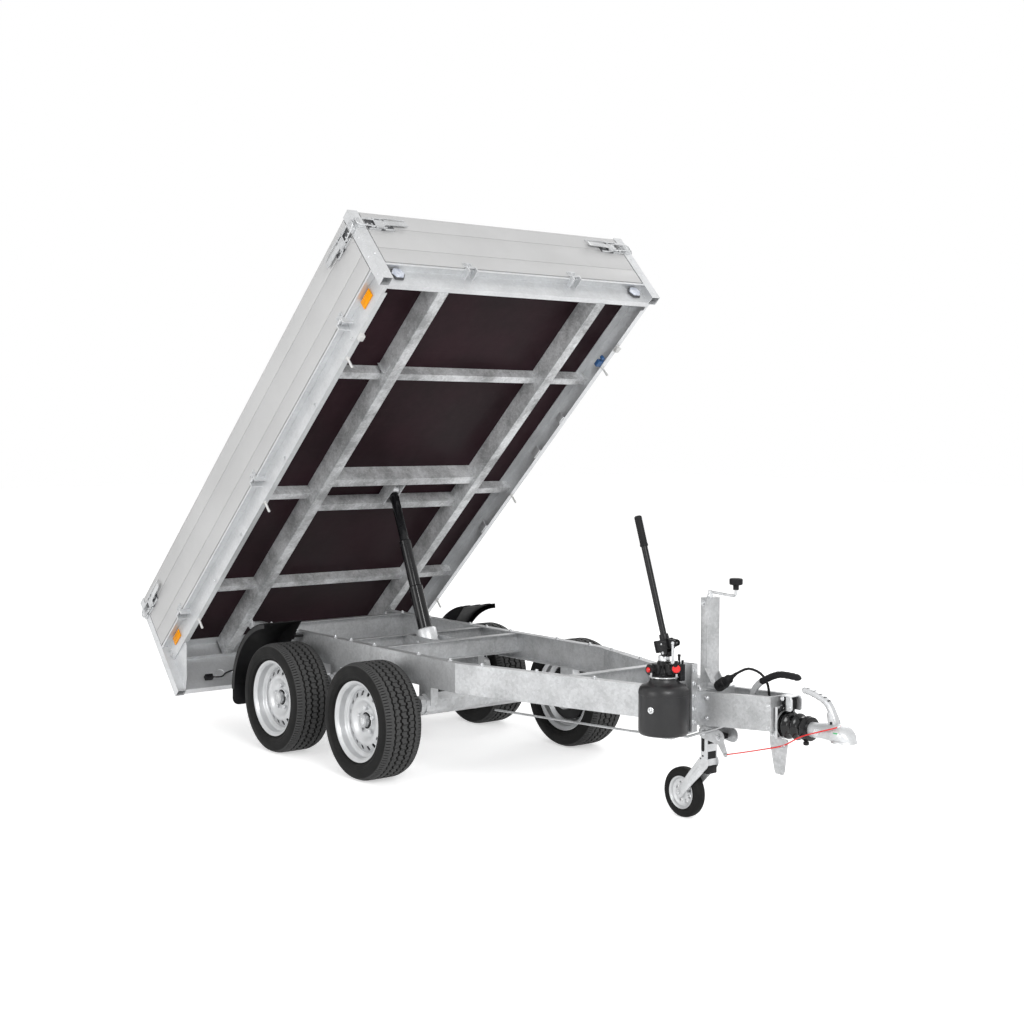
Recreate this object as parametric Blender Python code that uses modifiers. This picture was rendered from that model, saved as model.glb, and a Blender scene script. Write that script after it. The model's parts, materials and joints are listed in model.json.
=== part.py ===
"""Tandem-axle tipping trailer with its bed raised, as separate solids on named joints.

Metres, +X towards the coupling, +Y to the left, +Z up, wheels on z = 0.
Chassis places are given from the point midway between the axles. Bed places are given
in the bed's own frame: u forward from its rear end, v to the left, w up from the lower
edge of its side frame.
"""
import math

import bpy
import bmesh
from mathutils import Matrix, Vector

# Clearances
SEAT = 0.0003
PIN_PLAY = 0.0006
BITE = 0.001

# Road wheels
TYRE_RADIUS = 0.2625
TYRE_WIDTH = 0.196
BEAM_HALF_SPAN = 0.4326
TYRE_CLEARANCE = 0.0654
WHEEL_PLANE = BEAM_HALF_SPAN + TYRE_CLEARANCE + TYRE_WIDTH / 2
AXLE_SPACING = 0.746
RIM_FLANGE_RADIUS = 0.182
RIM_SEAT_RADIUS = 0.1665
RIM_WELL_RADIUS = 0.146
RIM_HALF_WIDTH = 0.083
RIM_WALL = 0.004
DISC_RECESS = 0.040
DISC_CROWN_RADIUS = 0.100
DISC_DISH = 0.021
HUB_BORE_RADIUS = 0.030
HUB_REACH = 0.030
DRUM_RADIUS = 0.080
DRUM_INNER_PLANE = WHEEL_PLANE - 0.076
VENT_COUNT = 16
VENT_SIDES = 4
WHEEL_STEPS = 24
VENT_RADIUS = 0.0065
VENT_CIRCLE = 0.122

# Chassis beams
BEAM_BOTTOM = 0.4195
BEAM_HEIGHT = 0.130
BEAM_TOP = BEAM_BOTTOM + BEAM_HEIGHT
BEAM_WALL = 0.004
BEAM_FLANGE = 0.040
BEAM_REAR = -1.000
BEAM_BEND = 0.774
BEAM_FRONT = 1.925
BEAM_FRONT_HALF = 0.105
DRAWBAR_FRONT = 2.270
DRAWBAR_FRONT_HALF = 0.063
DRAWBAR_RISE = 0.022
DRAWBAR_FLANGE = 0.020
DRAWBAR_FLOOR_START = 0.200
DRAWBAR_NOSE = 0.008
TONGUE_REACH = 0.060

# Chassis cross members
CROSS_REAR_X = -0.890
CROSS_CYLINDER_X = -0.170
CROSS_MID_X = 0.125
CROSS_FRONT_X = 1.285
CROSS_FLANGE = 0.040
CROSS_WALL = 0.003
CROSS_MID_HEIGHT = 0.092

# Axles
AXLE_TUBE_RADIUS = 0.048
AXLE_TUBE_AHEAD = 0.175
AXLE_TUBE_Z = 0.338
AXLE_TUBE_HALF = BEAM_HALF_SPAN + 0.0174
ARM_THICK = 0.030
ARM_BIG_RADIUS = 0.042
ARM_SMALL_RADIUS = 0.034
AXLE_BRACKET_HALF = 0.045

# Bed hinge and pose
HINGE_X = -1.019
HINGE_Z = 0.530
HINGE_U = 0.354
HINGE_W = 0.009
TIP_ANGLE = math.radians(42.5)
HINGE_PIN_RADIUS = 0.010
HINGE_EAR = 0.006
HINGE_EAR_RADIUS = 0.022
HINGE_BOSS_RADIUS = 0.019

# Bed frame: webs set in under a ledge that carries the drop sides
BED_LENGTH = 2.783
BED_WIDTH = 1.583
FRAME_HEIGHT = 0.1305
FRAME_LOW = 0.038
FRAME_INSET = 0.036
FRAME_WALL = 0.003
FRAME_LEDGE_LIP = 0.010
FRAME_BOTTOM_FLANGE = 0.027
FRAME_TOP_FLANGE = 0.053
FLOOR_THICK = 0.015
FLOOR_EDGE_GAP = 0.006
POST_U = 0.046
POST_V = 0.050
POST_WALL = 0.003
POST_TOP = 0.452
REAR_POST_LOW = -0.150

# Drop sides
BOARD_THICK = 0.025
BOARD_BOTTOM = 0.1375
BOARD_TOP = 0.446
BOARD_GAP = 0.005
BOARD_SEAM_W = (0.354, 0.225)
BOARD_SEAM_DEPTH = 0.0015
BOARD_HINGE_OUT = 0.014
BOARD_HINGE_W = 0.127
BOARD_HINGE_SPREAD = {"side": (-1.041, 0.0, 1.041), "end": (-0.30, 0.30)}
KNUCKLE_RADIUS = 0.007
KNUCKLE_HALF = 0.016
LUG_THICK = 0.008
LUG_GAP = 0.002
LUG_DEPTH = 0.030
LEAF_LOW = 0.0045
LEAF_HIGH = 0.030
BOARD_PIN_RADIUS = 0.0025
LATCH_W = (0.345, 0.395)
LATCH_OUT = 0.012
LATCH_LENGTH = 0.130
LATCH_END_GAP = 0.020
KEEPER_HALF = 0.014

# Bed under-frame
LONG_OUTER = BEAM_HALF_SPAN + 0.0464
LONG_WIDTH = 0.053
LONG_BOTTOM = 0.034
LONG_WALL = 0.004
CROSS_BOTTOM = 0.082
BED_CROSS_WIDTH = 0.040
BED_CROSS_FRONT_U = 2.130
BED_CROSS_REAR_U = 0.570
BED_STUB_U = 1.292
CARRIER_FRONT_U = 1.414
CARRIER_FRONT_WIDTH = 0.051
CARRIER_FRONT_BOTTOM = 0.050
CARRIER_REAR_U = 1.205
CARRIER_REAR_WIDTH = 0.047
CARRIER_REAR_BOTTOM = 0.072
CARRIER_CHEEK = 0.006
CARRIER_CHEEK_DROP = 0.012

# Lift cylinder
ROD_EYE_U = 1.335
ROD_EYE_W = 0.095
TRUNNION_Z = 0.515
BARREL_RADIUS = 0.047
BARREL_BELOW = 0.330
BARREL_ABOVE = 0.045
BARREL_COLLAR = 0.005
BARREL_COLLAR_HEIGHT = 0.075
BARREL_BORE_DEPTH = 0.310
STAGE_PLAY = 0.001
STAGE_WALL = 0.005
STAGE_STEP = 0.005
STAGE_INSIDE = 0.050
ROD_RADIUS = 0.0225
EYE_RADIUS = 0.029
EYE_HOLE = 0.020
EYE_WIDTH = 0.048
EYE_PIN_RADIUS = 0.008
TRUNNION_RADIUS = 0.0125
CRADLE_INNER = 0.056
CRADLE_THICK = 0.008

# Mudguards
GUARD_RADIUS = 0.360
GUARD_WALL = 0.004
GUARD_LIP = 0.025
GUARD_START = math.radians(96)
GUARD_INNER_Y = BEAM_HALF_SPAN + 0.0594
GUARD_WIDTH = 0.210
FLAP_BOTTOM = 0.180
GUARD_STAY = 0.012
GUARD_STAY_BACK = (0.215, 0.140)

# Rear apron and lamps
APRON_LOW = -0.145
APRON_U = 0.040
APRON_WALL = 0.003
GUSSET_U = 0.210
GUSSET_KNEE = (0.100, -0.104)
GUSSET_DROP = 0.014
TAIL_LAMP_DEPTH = 0.030
TAIL_LAMP_WIDTH = 0.220
TAIL_LAMP_W = (-0.125, -0.025)
TAIL_LAMP_IN = 0.022
FRONT_LAMP_IN = 0.1115
FRONT_LAMP_W = 0.096
FRONT_LAMP_RADIUS = 0.026
FRONT_LAMP_DEPTH = 0.020

# Pump
PUMP_X = 1.895
PUMP_Y = -0.262
TANK_RADIUS = 0.099
TANK_BOTTOM = 0.400
TANK_TOP = 0.585
PUMP_HEAD_HALF = 0.042
PUMP_HEAD_TOP = 0.075
PUMP_COLLAR_TOP = 0.100
PUMP_VALVE_RADIUS = 0.016
LEVER_RADIUS = 0.0135
LEVER_SOCKET_RADIUS = 0.023
LEVER_LEAN = 0.165
LEVER_PIVOT_AHEAD = 0.010
LEVER_FOOT = 0.017
LEVER_PIVOT_UP = 0.128
LEVER_RISE = 0.517
BRACKET_WIDTH = 0.106
BRACKET_TOP = 0.660
BRACKET_WALL = 0.006
BRACKET_EDGE = 0.042
SHELF_REACH = 0.200

# Jockey leg
MAST_X = 1.862
MAST_Y = 0.021
MAST_SIZE_X = 0.040
MAST_SIZE_Y = 0.070
MAST_TOP = 0.905
MAST_BOTTOM = 0.410
MAST_WALL = 0.003
MAST_FOOT_BACK = 0.030
MAST_FOOT_HALF = 0.100
MAST_FOOT_THICK = 0.005
MAST_GUSSET_TOP = 0.635
CRANK_REACH = 0.138
CRANK_RISE = 0.086
CRANK_GRIP_LOW = 0.058
CRANK_SPINDLE = 0.009
CRANK_ROD = 0.006
GRIP_RADIUS = 0.026
JOCKEY_RADIUS = 0.102
JOCKEY_WIDTH = 0.048
JOCKEY_X = 1.727
JOCKEY_SPINDLE = 0.008
LEG_SIZE_X = MAST_SIZE_X - 2 * (MAST_WALL + SEAT)
LEG_SIZE_Y = MAST_SIZE_Y - 2 * (MAST_WALL + SEAT)
LEG_BOTTOM = 0.235
LEG_TOP = 0.560
ARM_INNER = 0.028
ARM_PLATE = 0.0035
ARM_HEAD = (1.860, 0.246)
BRACKET_INNER = 0.037
MAST_PAD_DROP = 0.022
MAST_PAD_RISE = 0.006
BRACKET_PLATE = 0.004
BRACKET_LOBES = (
    # start x, start z, end x, end z, start radius, end radius, leftmost side that has it
    (1.870, 0.372, 1.953, 0.364, 0.025, 0.029, 1),
    (1.953, 0.364, 1.990, 0.302, 0.020, 0.010, -1),
)

# Coupling
COUPLING_Z = 0.465
BELLOWS_REAR = 2.285
BELLOWS_FRONT = 2.411
BELLOWS_RADII = (0.0475, 0.051, 0.053)
BELLOWS_NECK = 0.036
HOUSING_HALF = 0.050
HOUSING_RISE = 0.070
HOOD_FRONT = 2.338
HOOD_HALF = 0.028
HOOD_TOP = 0.578
HEAD_TIP = 2.610
CUP_RADIUS = 0.048
CUP_TOP_RADIUS = 0.034
CUP_LOW = 0.025
CUP_HIGH = 0.043
SHANK_RADIUS = 0.028
HEAD_LEVER_ROD = 0.012
HEAD_LEVER_ROUTE = (
    # x, y, z
    (2.515, 0, 0.490), (2.510, 0, 0.526), (2.481, 0, 0.575), (2.440, 0, 0.592), (2.380, 0, 0.607))

# Drawbar gear
HANDBRAKE_ROD = 0.010
HANDBRAKE_PIN = 0.008
HANDBRAKE_ROUTE = (
    # x, y, z
    (2.095, 0, 0.475), (2.115, 0, 0.575), (2.171, 0, 0.617), (2.251, 0, 0.650), (2.345, 0, 0.648))
HANDBRAKE_PIVOT = (2.105, 0.525)
BRAKE_ROD_RADIUS = 0.005
BRAKE_ROD_ROUTE = (
    # x, y, z
    (0.550, -0.038, 0.269), (1.477, -0.038, 0.316), (1.800, -0.038, 0.345), (1.980, -0.038, 0.410),
    (2.0864, -0.0074, 0.4779))
STAND_X = (2.232, 2.321)
STAND_FOOT = (2.258, 2.305)
STAND_Y = -0.030
STAND_THICK = 0.006
STAND_LOW = 0.279
STAND_EYE = (2.304, 0.392)
STAND_EYE_RADIUS = 0.006
PLUG_Y = -0.022
PLUG_BRACKET_HALF = 0.007
HOLDER_START = (1.950, 0.563)
HOLDER_END = (1.990, 0.5895)
PLUG_END = (2.028, 0.6146)
HOLDER_RADIUS = 0.023
PLUG_RADIUS = 0.018
CABLE_RADIUS = 0.005
CABLE_KNOTS = (
    # x, y, z
    (2.0286, -0.022, 0.61499), (2.055, -0.021, 0.6322), (2.098, -0.008, 0.6520), (2.142, 0.012, 0.6370),
    (2.165, 0.028, 0.5950), (2.172, 0.030, 0.5300), (2.174, 0.030, 0.4800))
BREAKAWAY_RADIUS = 0.002
BREAKAWAY_KNOTS = (
    # x, y, z
    (1.994, -0.0225, 0.3030), (2.090, -0.034, 0.3290), (2.200, -0.0375, 0.3600), (2.304, -0.0372, 0.3920),
    (2.400, -0.0480, 0.4420), (2.500, -0.0500, 0.4780), (2.552, -0.0450, 0.4960), (2.5740, -0.0353, 0.5065))

# The trailer's length overall, which centres it on the origin
REAR_REACH = HINGE_X - (HINGE_U + BITE) * math.cos(TIP_ANGLE) - (POST_TOP - HINGE_W) * math.sin(TIP_ANGLE)
MID_X = (REAR_REACH + HEAD_TIP) / 2

WHEEL_PLACES = {
    "front_right": (AXLE_SPACING / 2, -1),
    "front_left": (AXLE_SPACING / 2, 1),
    "rear_right": (-AXLE_SPACING / 2, -1),
    "rear_left": (-AXLE_SPACING / 2, 1),
}
SIDES = {"right": -1, "left": 1}


def clear_scene():
    for obj in list(bpy.data.objects):
        bpy.data.objects.remove(obj)


clear_scene()
PARTS = bpy.data.collections.new("tipping_trailer")
TOOLS = bpy.data.collections.new("cutters")
bpy.context.scene.collection.children.link(PARTS)
bpy.context.scene.collection.children.link(TOOLS)


def material(name, colour, roughness, metallic):
    made = bpy.data.materials.new(name)
    made.use_nodes = True
    shader = made.node_tree.nodes["Principled BSDF"]
    shader.inputs["Base Color"].default_value = (*colour, 1)
    shader.inputs["Roughness"].default_value = roughness
    shader.inputs["Metallic"].default_value = metallic
    return made


GALVANISED = material("galvanised_steel", (0.42, 0.43, 0.44), 0.45, 0.9)
ALUMINIUM = material("aluminium", (0.72, 0.72, 0.72), 0.35, 0.9)
PLYWOOD = material("film_faced_plywood", (0.035, 0.018, 0.018), 0.45, 0.0)
RUBBER = material("tyre_rubber", (0.02, 0.02, 0.02), 0.8, 0.0)
SILVER = material("silver_wheel", (0.60, 0.60, 0.61), 0.35, 0.8)
CHROME = material("chromed_steel", (0.62, 0.62, 0.62), 0.12, 1.0)
BLACK_STEEL = material("black_steel", (0.02, 0.02, 0.022), 0.4, 0.4)
BLACK_PLASTIC = material("black_plastic", (0.015, 0.015, 0.016), 0.5, 0.0)
LAMP_WHITE = material("clear_lamp", (0.85, 0.86, 0.9), 0.1, 0.0)
RED_CABLE = material("red_cable", (0.8, 0.03, 0.02), 0.4, 0.0)


def empty(name, parent, location, tilt=0.0):
    made = bpy.data.objects.new(name, None)
    PARTS.objects.link(made)
    made.parent = parent
    made.location = location
    made.rotation_euler = (0, -tilt, 0)
    return made


def place(name, data, finish, parent, location=(0, 0, 0), rotation=(0, 0, 0)):
    """A new object of this mesh or curve, under its parent."""
    made = bpy.data.objects.new(name, data)
    PARTS.objects.link(made)
    data.materials.append(finish)
    made.parent = parent
    made.location = location
    made.rotation_euler = rotation
    return made


def smooth(mesh, angle=35):
    mesh.shade_smooth()
    mesh.set_sharp_from_angle(angle=math.radians(angle))


def box(name, finish, parent, low, high, bevel=0.0):
    """A block between two corners, its origin at its centre."""
    low, high = Vector(low), Vector(high)
    mesh = bpy.data.meshes.new(name)
    form = bmesh.new()
    bmesh.ops.create_cube(form, size=1)
    bmesh.ops.scale(form, vec=high - low, verts=form.verts)
    form.to_mesh(mesh)
    form.free()
    made = place(name, mesh, finish, parent, (low + high) / 2)
    if bevel:
        rounding = made.modifiers.new("rounding", "BEVEL")
        rounding.width = bevel
        rounding.segments = 2
    return made


def rod(name, finish, parent, start, end, radius, sides=24, far_radius=None):
    """A round bar or cone between two points, its origin at its start."""
    start, end = Vector(start), Vector(end)
    axis = end - start
    mesh = bpy.data.meshes.new(name)
    form = bmesh.new()
    bmesh.ops.create_cone(
        form, cap_ends=True, segments=sides, radius1=radius,
        radius2=radius if far_radius is None else far_radius, depth=axis.length)
    bmesh.ops.translate(form, verts=form.verts, vec=(0, 0, axis.length / 2))
    form.to_mesh(mesh)
    form.free()
    smooth(mesh)
    made = place(name, mesh, finish, parent, start)
    made.rotation_euler = Vector((0, 0, 1)).rotation_difference(axis).to_euler()
    return made


def turned(name, finish, parent, profile, location, rotation, steps=32, closed=True):
    """A turned shape: (radius, height) points down its outer side, turned about local Z."""
    mesh = bpy.data.meshes.new(name)
    form = bmesh.new()
    corners = [form.verts.new((radius, 0, height)) for radius, height in profile]
    pairs = list(zip(corners, corners[1:]))
    if closed:
        pairs.append((corners[-1], corners[0]))
    for pair in pairs:
        form.edges.new(pair)
    form.to_mesh(mesh)
    form.free()
    made = place(name, mesh, finish, parent, location, rotation)
    screw = made.modifiers.new("turning", "SCREW")
    screw.steps = steps
    screw.render_steps = steps
    screw.use_merge_vertices = True
    screw.merge_threshold = 0.00005
    return made


def outline_curve(name, points, dimensions="2D", cyclic=True):
    curve = bpy.data.curves.new(name, "CURVE")
    curve.dimensions = dimensions
    spline = curve.splines.new("POLY")
    spline.points.add(len(points) - 1)
    for corner, point in zip(spline.points, points):
        corner.co = (*point, *[0] * (3 - len(point)), 1)
    spline.use_cyclic_u = cyclic
    return curve


def mesh_of(curve_object):
    """Turns a curve object into a mesh object with its caps welded."""
    graph = bpy.context.evaluated_depsgraph_get()
    mesh = bpy.data.meshes.new_from_object(curve_object.evaluated_get(graph))
    form = bmesh.new()
    form.from_mesh(mesh)
    bmesh.ops.remove_doubles(form, verts=form.verts, dist=0.00001)
    bmesh.ops.recalc_face_normals(form, faces=form.faces)
    form.to_mesh(mesh)
    form.free()
    name, curve = curve_object.name, curve_object.data
    made = bpy.data.objects.new(name, mesh)
    PARTS.objects.link(made)
    made.parent = curve_object.parent
    made.location = curve_object.location
    made.rotation_euler = curve_object.rotation_euler
    bpy.data.objects.remove(curve_object)
    bpy.data.curves.remove(curve)
    made.name = name
    return made


def plate(name, finish, parent, outline, thick, location=(0, 0, 0), rotation=(0, 0, 0), holes=()):
    """A flat outline with its holes, extruded by half its thickness each way."""
    curve = outline_curve(name, outline)
    for hole in holes:
        spline = curve.splines.new("POLY")
        spline.points.add(len(hole) - 1)
        for corner, point in zip(spline.points, hole):
            corner.co = (*point, 0, 1)
        spline.use_cyclic_u = True
    curve.fill_mode = "BOTH"
    curve.extrude = thick / 2
    return mesh_of(place(name, curve, finish, parent, location, rotation))


def sweep(name, finish, parent, route, section, location=(0, 0, 0)):
    """A section, x to the right of travel and y up, carried along a route."""
    profile = bpy.data.objects.new(name + "_section", outline_curve(name + "_section", section))
    TOOLS.objects.link(profile)
    profile.data.fill_mode = "NONE"
    curve = outline_curve(name, route, "3D", cyclic=False)
    curve.twist_mode = "Z_UP"
    curve.bevel_mode = "OBJECT"
    curve.bevel_object = profile
    curve.use_fill_caps = True
    made = mesh_of(place(name, curve, finish, parent, location))
    section_curve = profile.data
    bpy.data.objects.remove(profile)
    bpy.data.curves.remove(section_curve)
    return made


def tube(name, finish, parent, route, radius, sides_step=2):
    """A round wire or tube along a route of points."""
    curve = outline_curve(name, route, "3D", cyclic=False)
    curve.bevel_depth = radius
    curve.bevel_resolution = sides_step
    curve.use_fill_caps = True
    return mesh_of(place(name, curve, finish, parent))


def as_tool(obj):
    PARTS.objects.unlink(obj)
    TOOLS.objects.link(obj)
    obj.hide_render = True
    obj.display_type = "WIRE"


def combine(base, operation, tools):
    for tool in tools:
        as_tool(tool)
        step = base.modifiers.new(tool.name, "BOOLEAN")
        step.operation = operation
        step.object = tool
    return base


def fuse(base, *tools):
    return combine(base, "UNION", tools)


def cut(base, *tools):
    return combine(base, "DIFFERENCE", tools)


def circle(radius, count, centre=(0, 0), start=0.0, sweep_angle=2 * math.pi):
    """Points of a circle, or of an arc when the sweep is not a whole turn."""
    whole = abs(sweep_angle - 2 * math.pi) < 1e-9
    spans = count if whole else count - 1
    return [
        (centre[0] + radius * math.cos(start + sweep_angle * i / spans),
         centre[1] + radius * math.sin(start + sweep_angle * i / spans))
        for i in range(count)]


def capsule(start, end, start_radius, end_radius, count=6):
    """An outline round two circles, with straight sides that touch both."""
    run_x, run_y = end[0] - start[0], end[1] - start[1]
    heading = math.atan2(run_y, run_x)
    spread = math.acos((start_radius - end_radius) / math.hypot(run_x, run_y))
    return (circle(start_radius, count, start, heading + spread, 2 * math.pi - 2 * spread)
            + circle(end_radius, count, end, heading - spread, 2 * spread))


def smooth_route(knots, spans=3):
    """Points of a smooth curve through the knots, with this many spans between each two."""
    knots = [Vector(knot) for knot in knots]
    padded = [2 * knots[0] - knots[1], *knots, 2 * knots[-1] - knots[-2]]
    route = []
    for before, start, end, after in zip(padded, padded[1:], padded[2:], padded[3:]):
        slope = (end - before) / 2
        bend = before - 2.5 * start + 2 * end - after / 2
        twist = (3 * start - before - 3 * end + after) / 2
        for step in range(spans):
            share = step / spans
            route.append(start + slope * share + bend * share ** 2 + twist * share ** 3)
    return [*route, knots[-1]]


def channel_section(height, flange, wall, side):
    """A C section, its web's outer face at x = 0 and its flanges towards side."""
    points = [(0, 0), (flange, 0), (flange, wall), (wall, wall),
              (wall, height - wall), (flange, height - wall), (flange, height), (0, height)]
    return [(side * x, y) for x, y in points]


UPRIGHT = (math.radians(90), 0, 0)
ROOT = empty("trailer", None, (-MID_X, 0, 0))
BED_PIVOT = empty("bed_pivot", ROOT, (HINGE_X, 0, HINGE_Z), TIP_ANGLE)
BED = empty("bed_frame", BED_PIVOT, (-HINGE_U, 0, -HINGE_W))


def beam_half_at(x):
    """Half the chassis width, over the webs, at a place forward of the bend."""
    share = (x - BEAM_BEND) / (BEAM_FRONT - BEAM_BEND)
    return BEAM_HALF_SPAN + max(share, 0) * (BEAM_FRONT_HALF - BEAM_HALF_SPAN)


def chassis_beams():
    for side_name, side in SIDES.items():
        y = side * BEAM_HALF_SPAN
        past = BEAM_FRONT + 0.03
        route = [(BEAM_REAR, y, BEAM_BOTTOM), (BEAM_BEND, y, BEAM_BOTTOM),
                 (past, side * beam_half_at(past), BEAM_BOTTOM)]
        section = channel_section(BEAM_HEIGHT, BEAM_FLANGE, BEAM_WALL, side)
        beam = sweep("chassis_beam_" + side_name, GALVANISED, ROOT, route, section)
        boss = circle(HINGE_BOSS_RADIUS, 9, (HINGE_X, HINGE_Z), math.pi / 2, math.pi)
        tongue_end = BEAM_REAR + TONGUE_REACH
        tongue_outline = boss + [(tongue_end, BEAM_BOTTOM + TONGUE_REACH / 3),
                                 (tongue_end, HINGE_Z + HINGE_BOSS_RADIUS)]
        tongue = plate("hinge_tongue_" + side_name, GALVANISED, ROOT, tongue_outline, BEAM_WALL,
                       (0, side * (BEAM_HALF_SPAN - BEAM_WALL / 2), 0), UPRIGHT)
        pin = rod("hinge_pin_" + side_name, GALVANISED, ROOT,
                  (HINGE_X, side * (BEAM_HALF_SPAN - BEAM_WALL / 2), HINGE_Z),
                  (HINGE_X, side * (BEAM_HALF_SPAN + HINGE_EAR + BEAM_WALL), HINGE_Z), HINGE_PIN_RADIUS, 16)
        fuse(beam, tongue, pin)
        cut(beam, box("beam_end_" + side_name, GALVANISED, ROOT,
                      (BEAM_FRONT, -BEAM_HALF_SPAN, BEAM_BOTTOM - BEAM_HEIGHT),
                      (BEAM_FRONT + 0.1, BEAM_HALF_SPAN, BEAM_TOP + BEAM_HEIGHT)))


def cross_channel(name, x, low, high, half):
    """A C member across the chassis, its web at the rear."""
    route = [(x, -half, low), (x, half, low)]
    return sweep(name, GALVANISED, ROOT, route, channel_section(high - low, CROSS_FLANGE, CROSS_WALL, 1))


def chassis_crosses():
    high = BEAM_TOP - BEAM_WALL - SEAT
    low = high - CROSS_MID_HEIGHT
    beam_floor = BEAM_BOTTOM + BEAM_WALL + SEAT
    half = BEAM_HALF_SPAN - BEAM_WALL - SEAT
    cross_channel("cross_rear", CROSS_REAR_X, beam_floor, high, half)
    cross_channel("cross_mid", CROSS_MID_X, low, high, half)
    cradle = cross_channel("cylinder_cradle", CROSS_CYLINDER_X, low, high, half)
    hole = circle(TRUNNION_RADIUS + PIN_PLAY, 20, (HINGE_X + ROD_EYE_U - HINGE_U, TRUNNION_Z))
    start, end = CROSS_CYLINDER_X + CROSS_WALL / 2, CROSS_MID_X - SEAT
    outline = [(start, low), (end, low), (end, high), (start, high)]
    for side_name, side in SIDES.items():
        y = side * (CRADLE_INNER + CRADLE_THICK / 2)
        fuse(cradle, plate("cradle_plate_" + side_name, GALVANISED, ROOT, outline, CRADLE_THICK,
                           (0, y, 0), UPRIGHT, holes=[hole]))
    front_cross(beam_floor, high)


def front_cross(low, high):
    """The member between the converging beams, its flanges cut to their slant."""
    wall_across = 1.2 * BEAM_WALL + 2 * SEAT
    rear_half = beam_half_at(CROSS_FRONT_X) - wall_across
    front_half = beam_half_at(CROSS_FRONT_X + CROSS_FLANGE) - wall_across
    web = box("cross_front", GALVANISED, ROOT,
              (CROSS_FRONT_X, -front_half, low), (CROSS_FRONT_X + CROSS_WALL, front_half, high))
    flange = [(CROSS_FRONT_X, -rear_half), (CROSS_FRONT_X + CROSS_FLANGE, -front_half),
              (CROSS_FRONT_X + CROSS_FLANGE, front_half), (CROSS_FRONT_X, rear_half)]
    for edge, z in (("low", low + CROSS_WALL / 2), ("high", high - CROSS_WALL / 2)):
        fuse(web, plate("cross_front_" + edge, GALVANISED, ROOT, flange, CROSS_WALL, (0, 0, z)))


def drawbar():
    """The tapered box of the drawbar ahead of the beams, open on top."""
    datum = empty("drawbar_frame", ROOT, (BEAM_FRONT, 0, BEAM_BOTTOM),
                  math.atan2(DRAWBAR_RISE, DRAWBAR_FRONT - BEAM_FRONT))
    start, end = -0.02, DRAWBAR_FRONT - BEAM_FRONT
    taper = (BEAM_FRONT_HALF - DRAWBAR_FRONT_HALF) / end
    cheeks = []
    for side_name, side in SIDES.items():
        route = [(start, side * (BEAM_FRONT_HALF - start * taper), 0), (end, side * DRAWBAR_FRONT_HALF, 0)]
        section = channel_section(BEAM_HEIGHT, DRAWBAR_FLANGE, BEAM_WALL, side)
        cheeks.append(sweep("drawbar_" + side_name, GALVANISED, datum, route, section))
    body, other = cheeks
    body.name = "drawbar"
    floor_rear = BEAM_FRONT_HALF - DRAWBAR_FLOOR_START * taper - BEAM_WALL / 2
    floor_front = DRAWBAR_FRONT_HALF - BEAM_WALL / 2
    bottom = [(DRAWBAR_FLOOR_START, -floor_rear), (end, -floor_front), (end, floor_front),
              (DRAWBAR_FLOOR_START, floor_rear)]
    floor = plate("drawbar_floor", GALVANISED, datum, bottom, BEAM_WALL, (0, 0, BEAM_WALL / 2))
    nose = box("drawbar_nose", GALVANISED, datum, (end - DRAWBAR_NOSE, -DRAWBAR_FRONT_HALF, 0),
               (end, DRAWBAR_FRONT_HALF, BEAM_HEIGHT))
    fuse(body, other, floor, nose)
    cut(body, box("drawbar_end", GALVANISED, ROOT,
                  (BEAM_FRONT - 0.1, -BEAM_HALF_SPAN, BEAM_BOTTOM - BEAM_HEIGHT),
                  (BEAM_FRONT + SEAT, BEAM_HALF_SPAN, BEAM_TOP + BEAM_HEIGHT)))


def tyre_profile():
    """Down the outer side of a tyre from its upper bead seat round to it again."""
    half, bead = TYRE_WIDTH / 2, RIM_HALF_WIDTH - 0.0115
    upper = [
        # radius, height
        (RIM_SEAT_RADIUS, bead), (RIM_SEAT_RADIUS + 0.020, bead + 0.004), (TYRE_RADIUS * 0.84, half),
        (TYRE_RADIUS * 0.94, half * 0.95), (TYRE_RADIUS * 0.987, half * 0.82), (TYRE_RADIUS, half * 0.60)]
    return upper + [(radius, -height) for radius, height in reversed(upper)]


def wheel_profile():
    """The pressed rim and disc, outward side up, as one closed section."""
    flange, seat, well, half, wall = (RIM_FLANGE_RADIUS, RIM_SEAT_RADIUS - SEAT, RIM_WELL_RADIUS,
                                      RIM_HALF_WIDTH, RIM_WALL)
    face = half - DISC_RECESS
    outer = [(flange, half), (seat, half - 0.010), (seat, half - 0.042), (well, half - 0.052),
             (well, -half + 0.045), (seat, -half + 0.030), (seat, -half + 0.010), (flange, -half)]
    inner = [(seat - wall, -half + 0.008), (seat - wall, -half + 0.032), (well - wall, -half + 0.047),
             (well - wall, face - 0.030), (DISC_CROWN_RADIUS, face - wall),
             (HUB_BORE_RADIUS, face - DISC_DISH)]
    back = [(HUB_BORE_RADIUS, face - DISC_DISH + 0.006), (DISC_CROWN_RADIUS, face + 0.002),
            (well - wall, face - 0.018), (well - wall, half - 0.054), (seat - wall, half - 0.043),
            (seat - wall, half - 0.008)]
    return outer + inner + back


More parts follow.
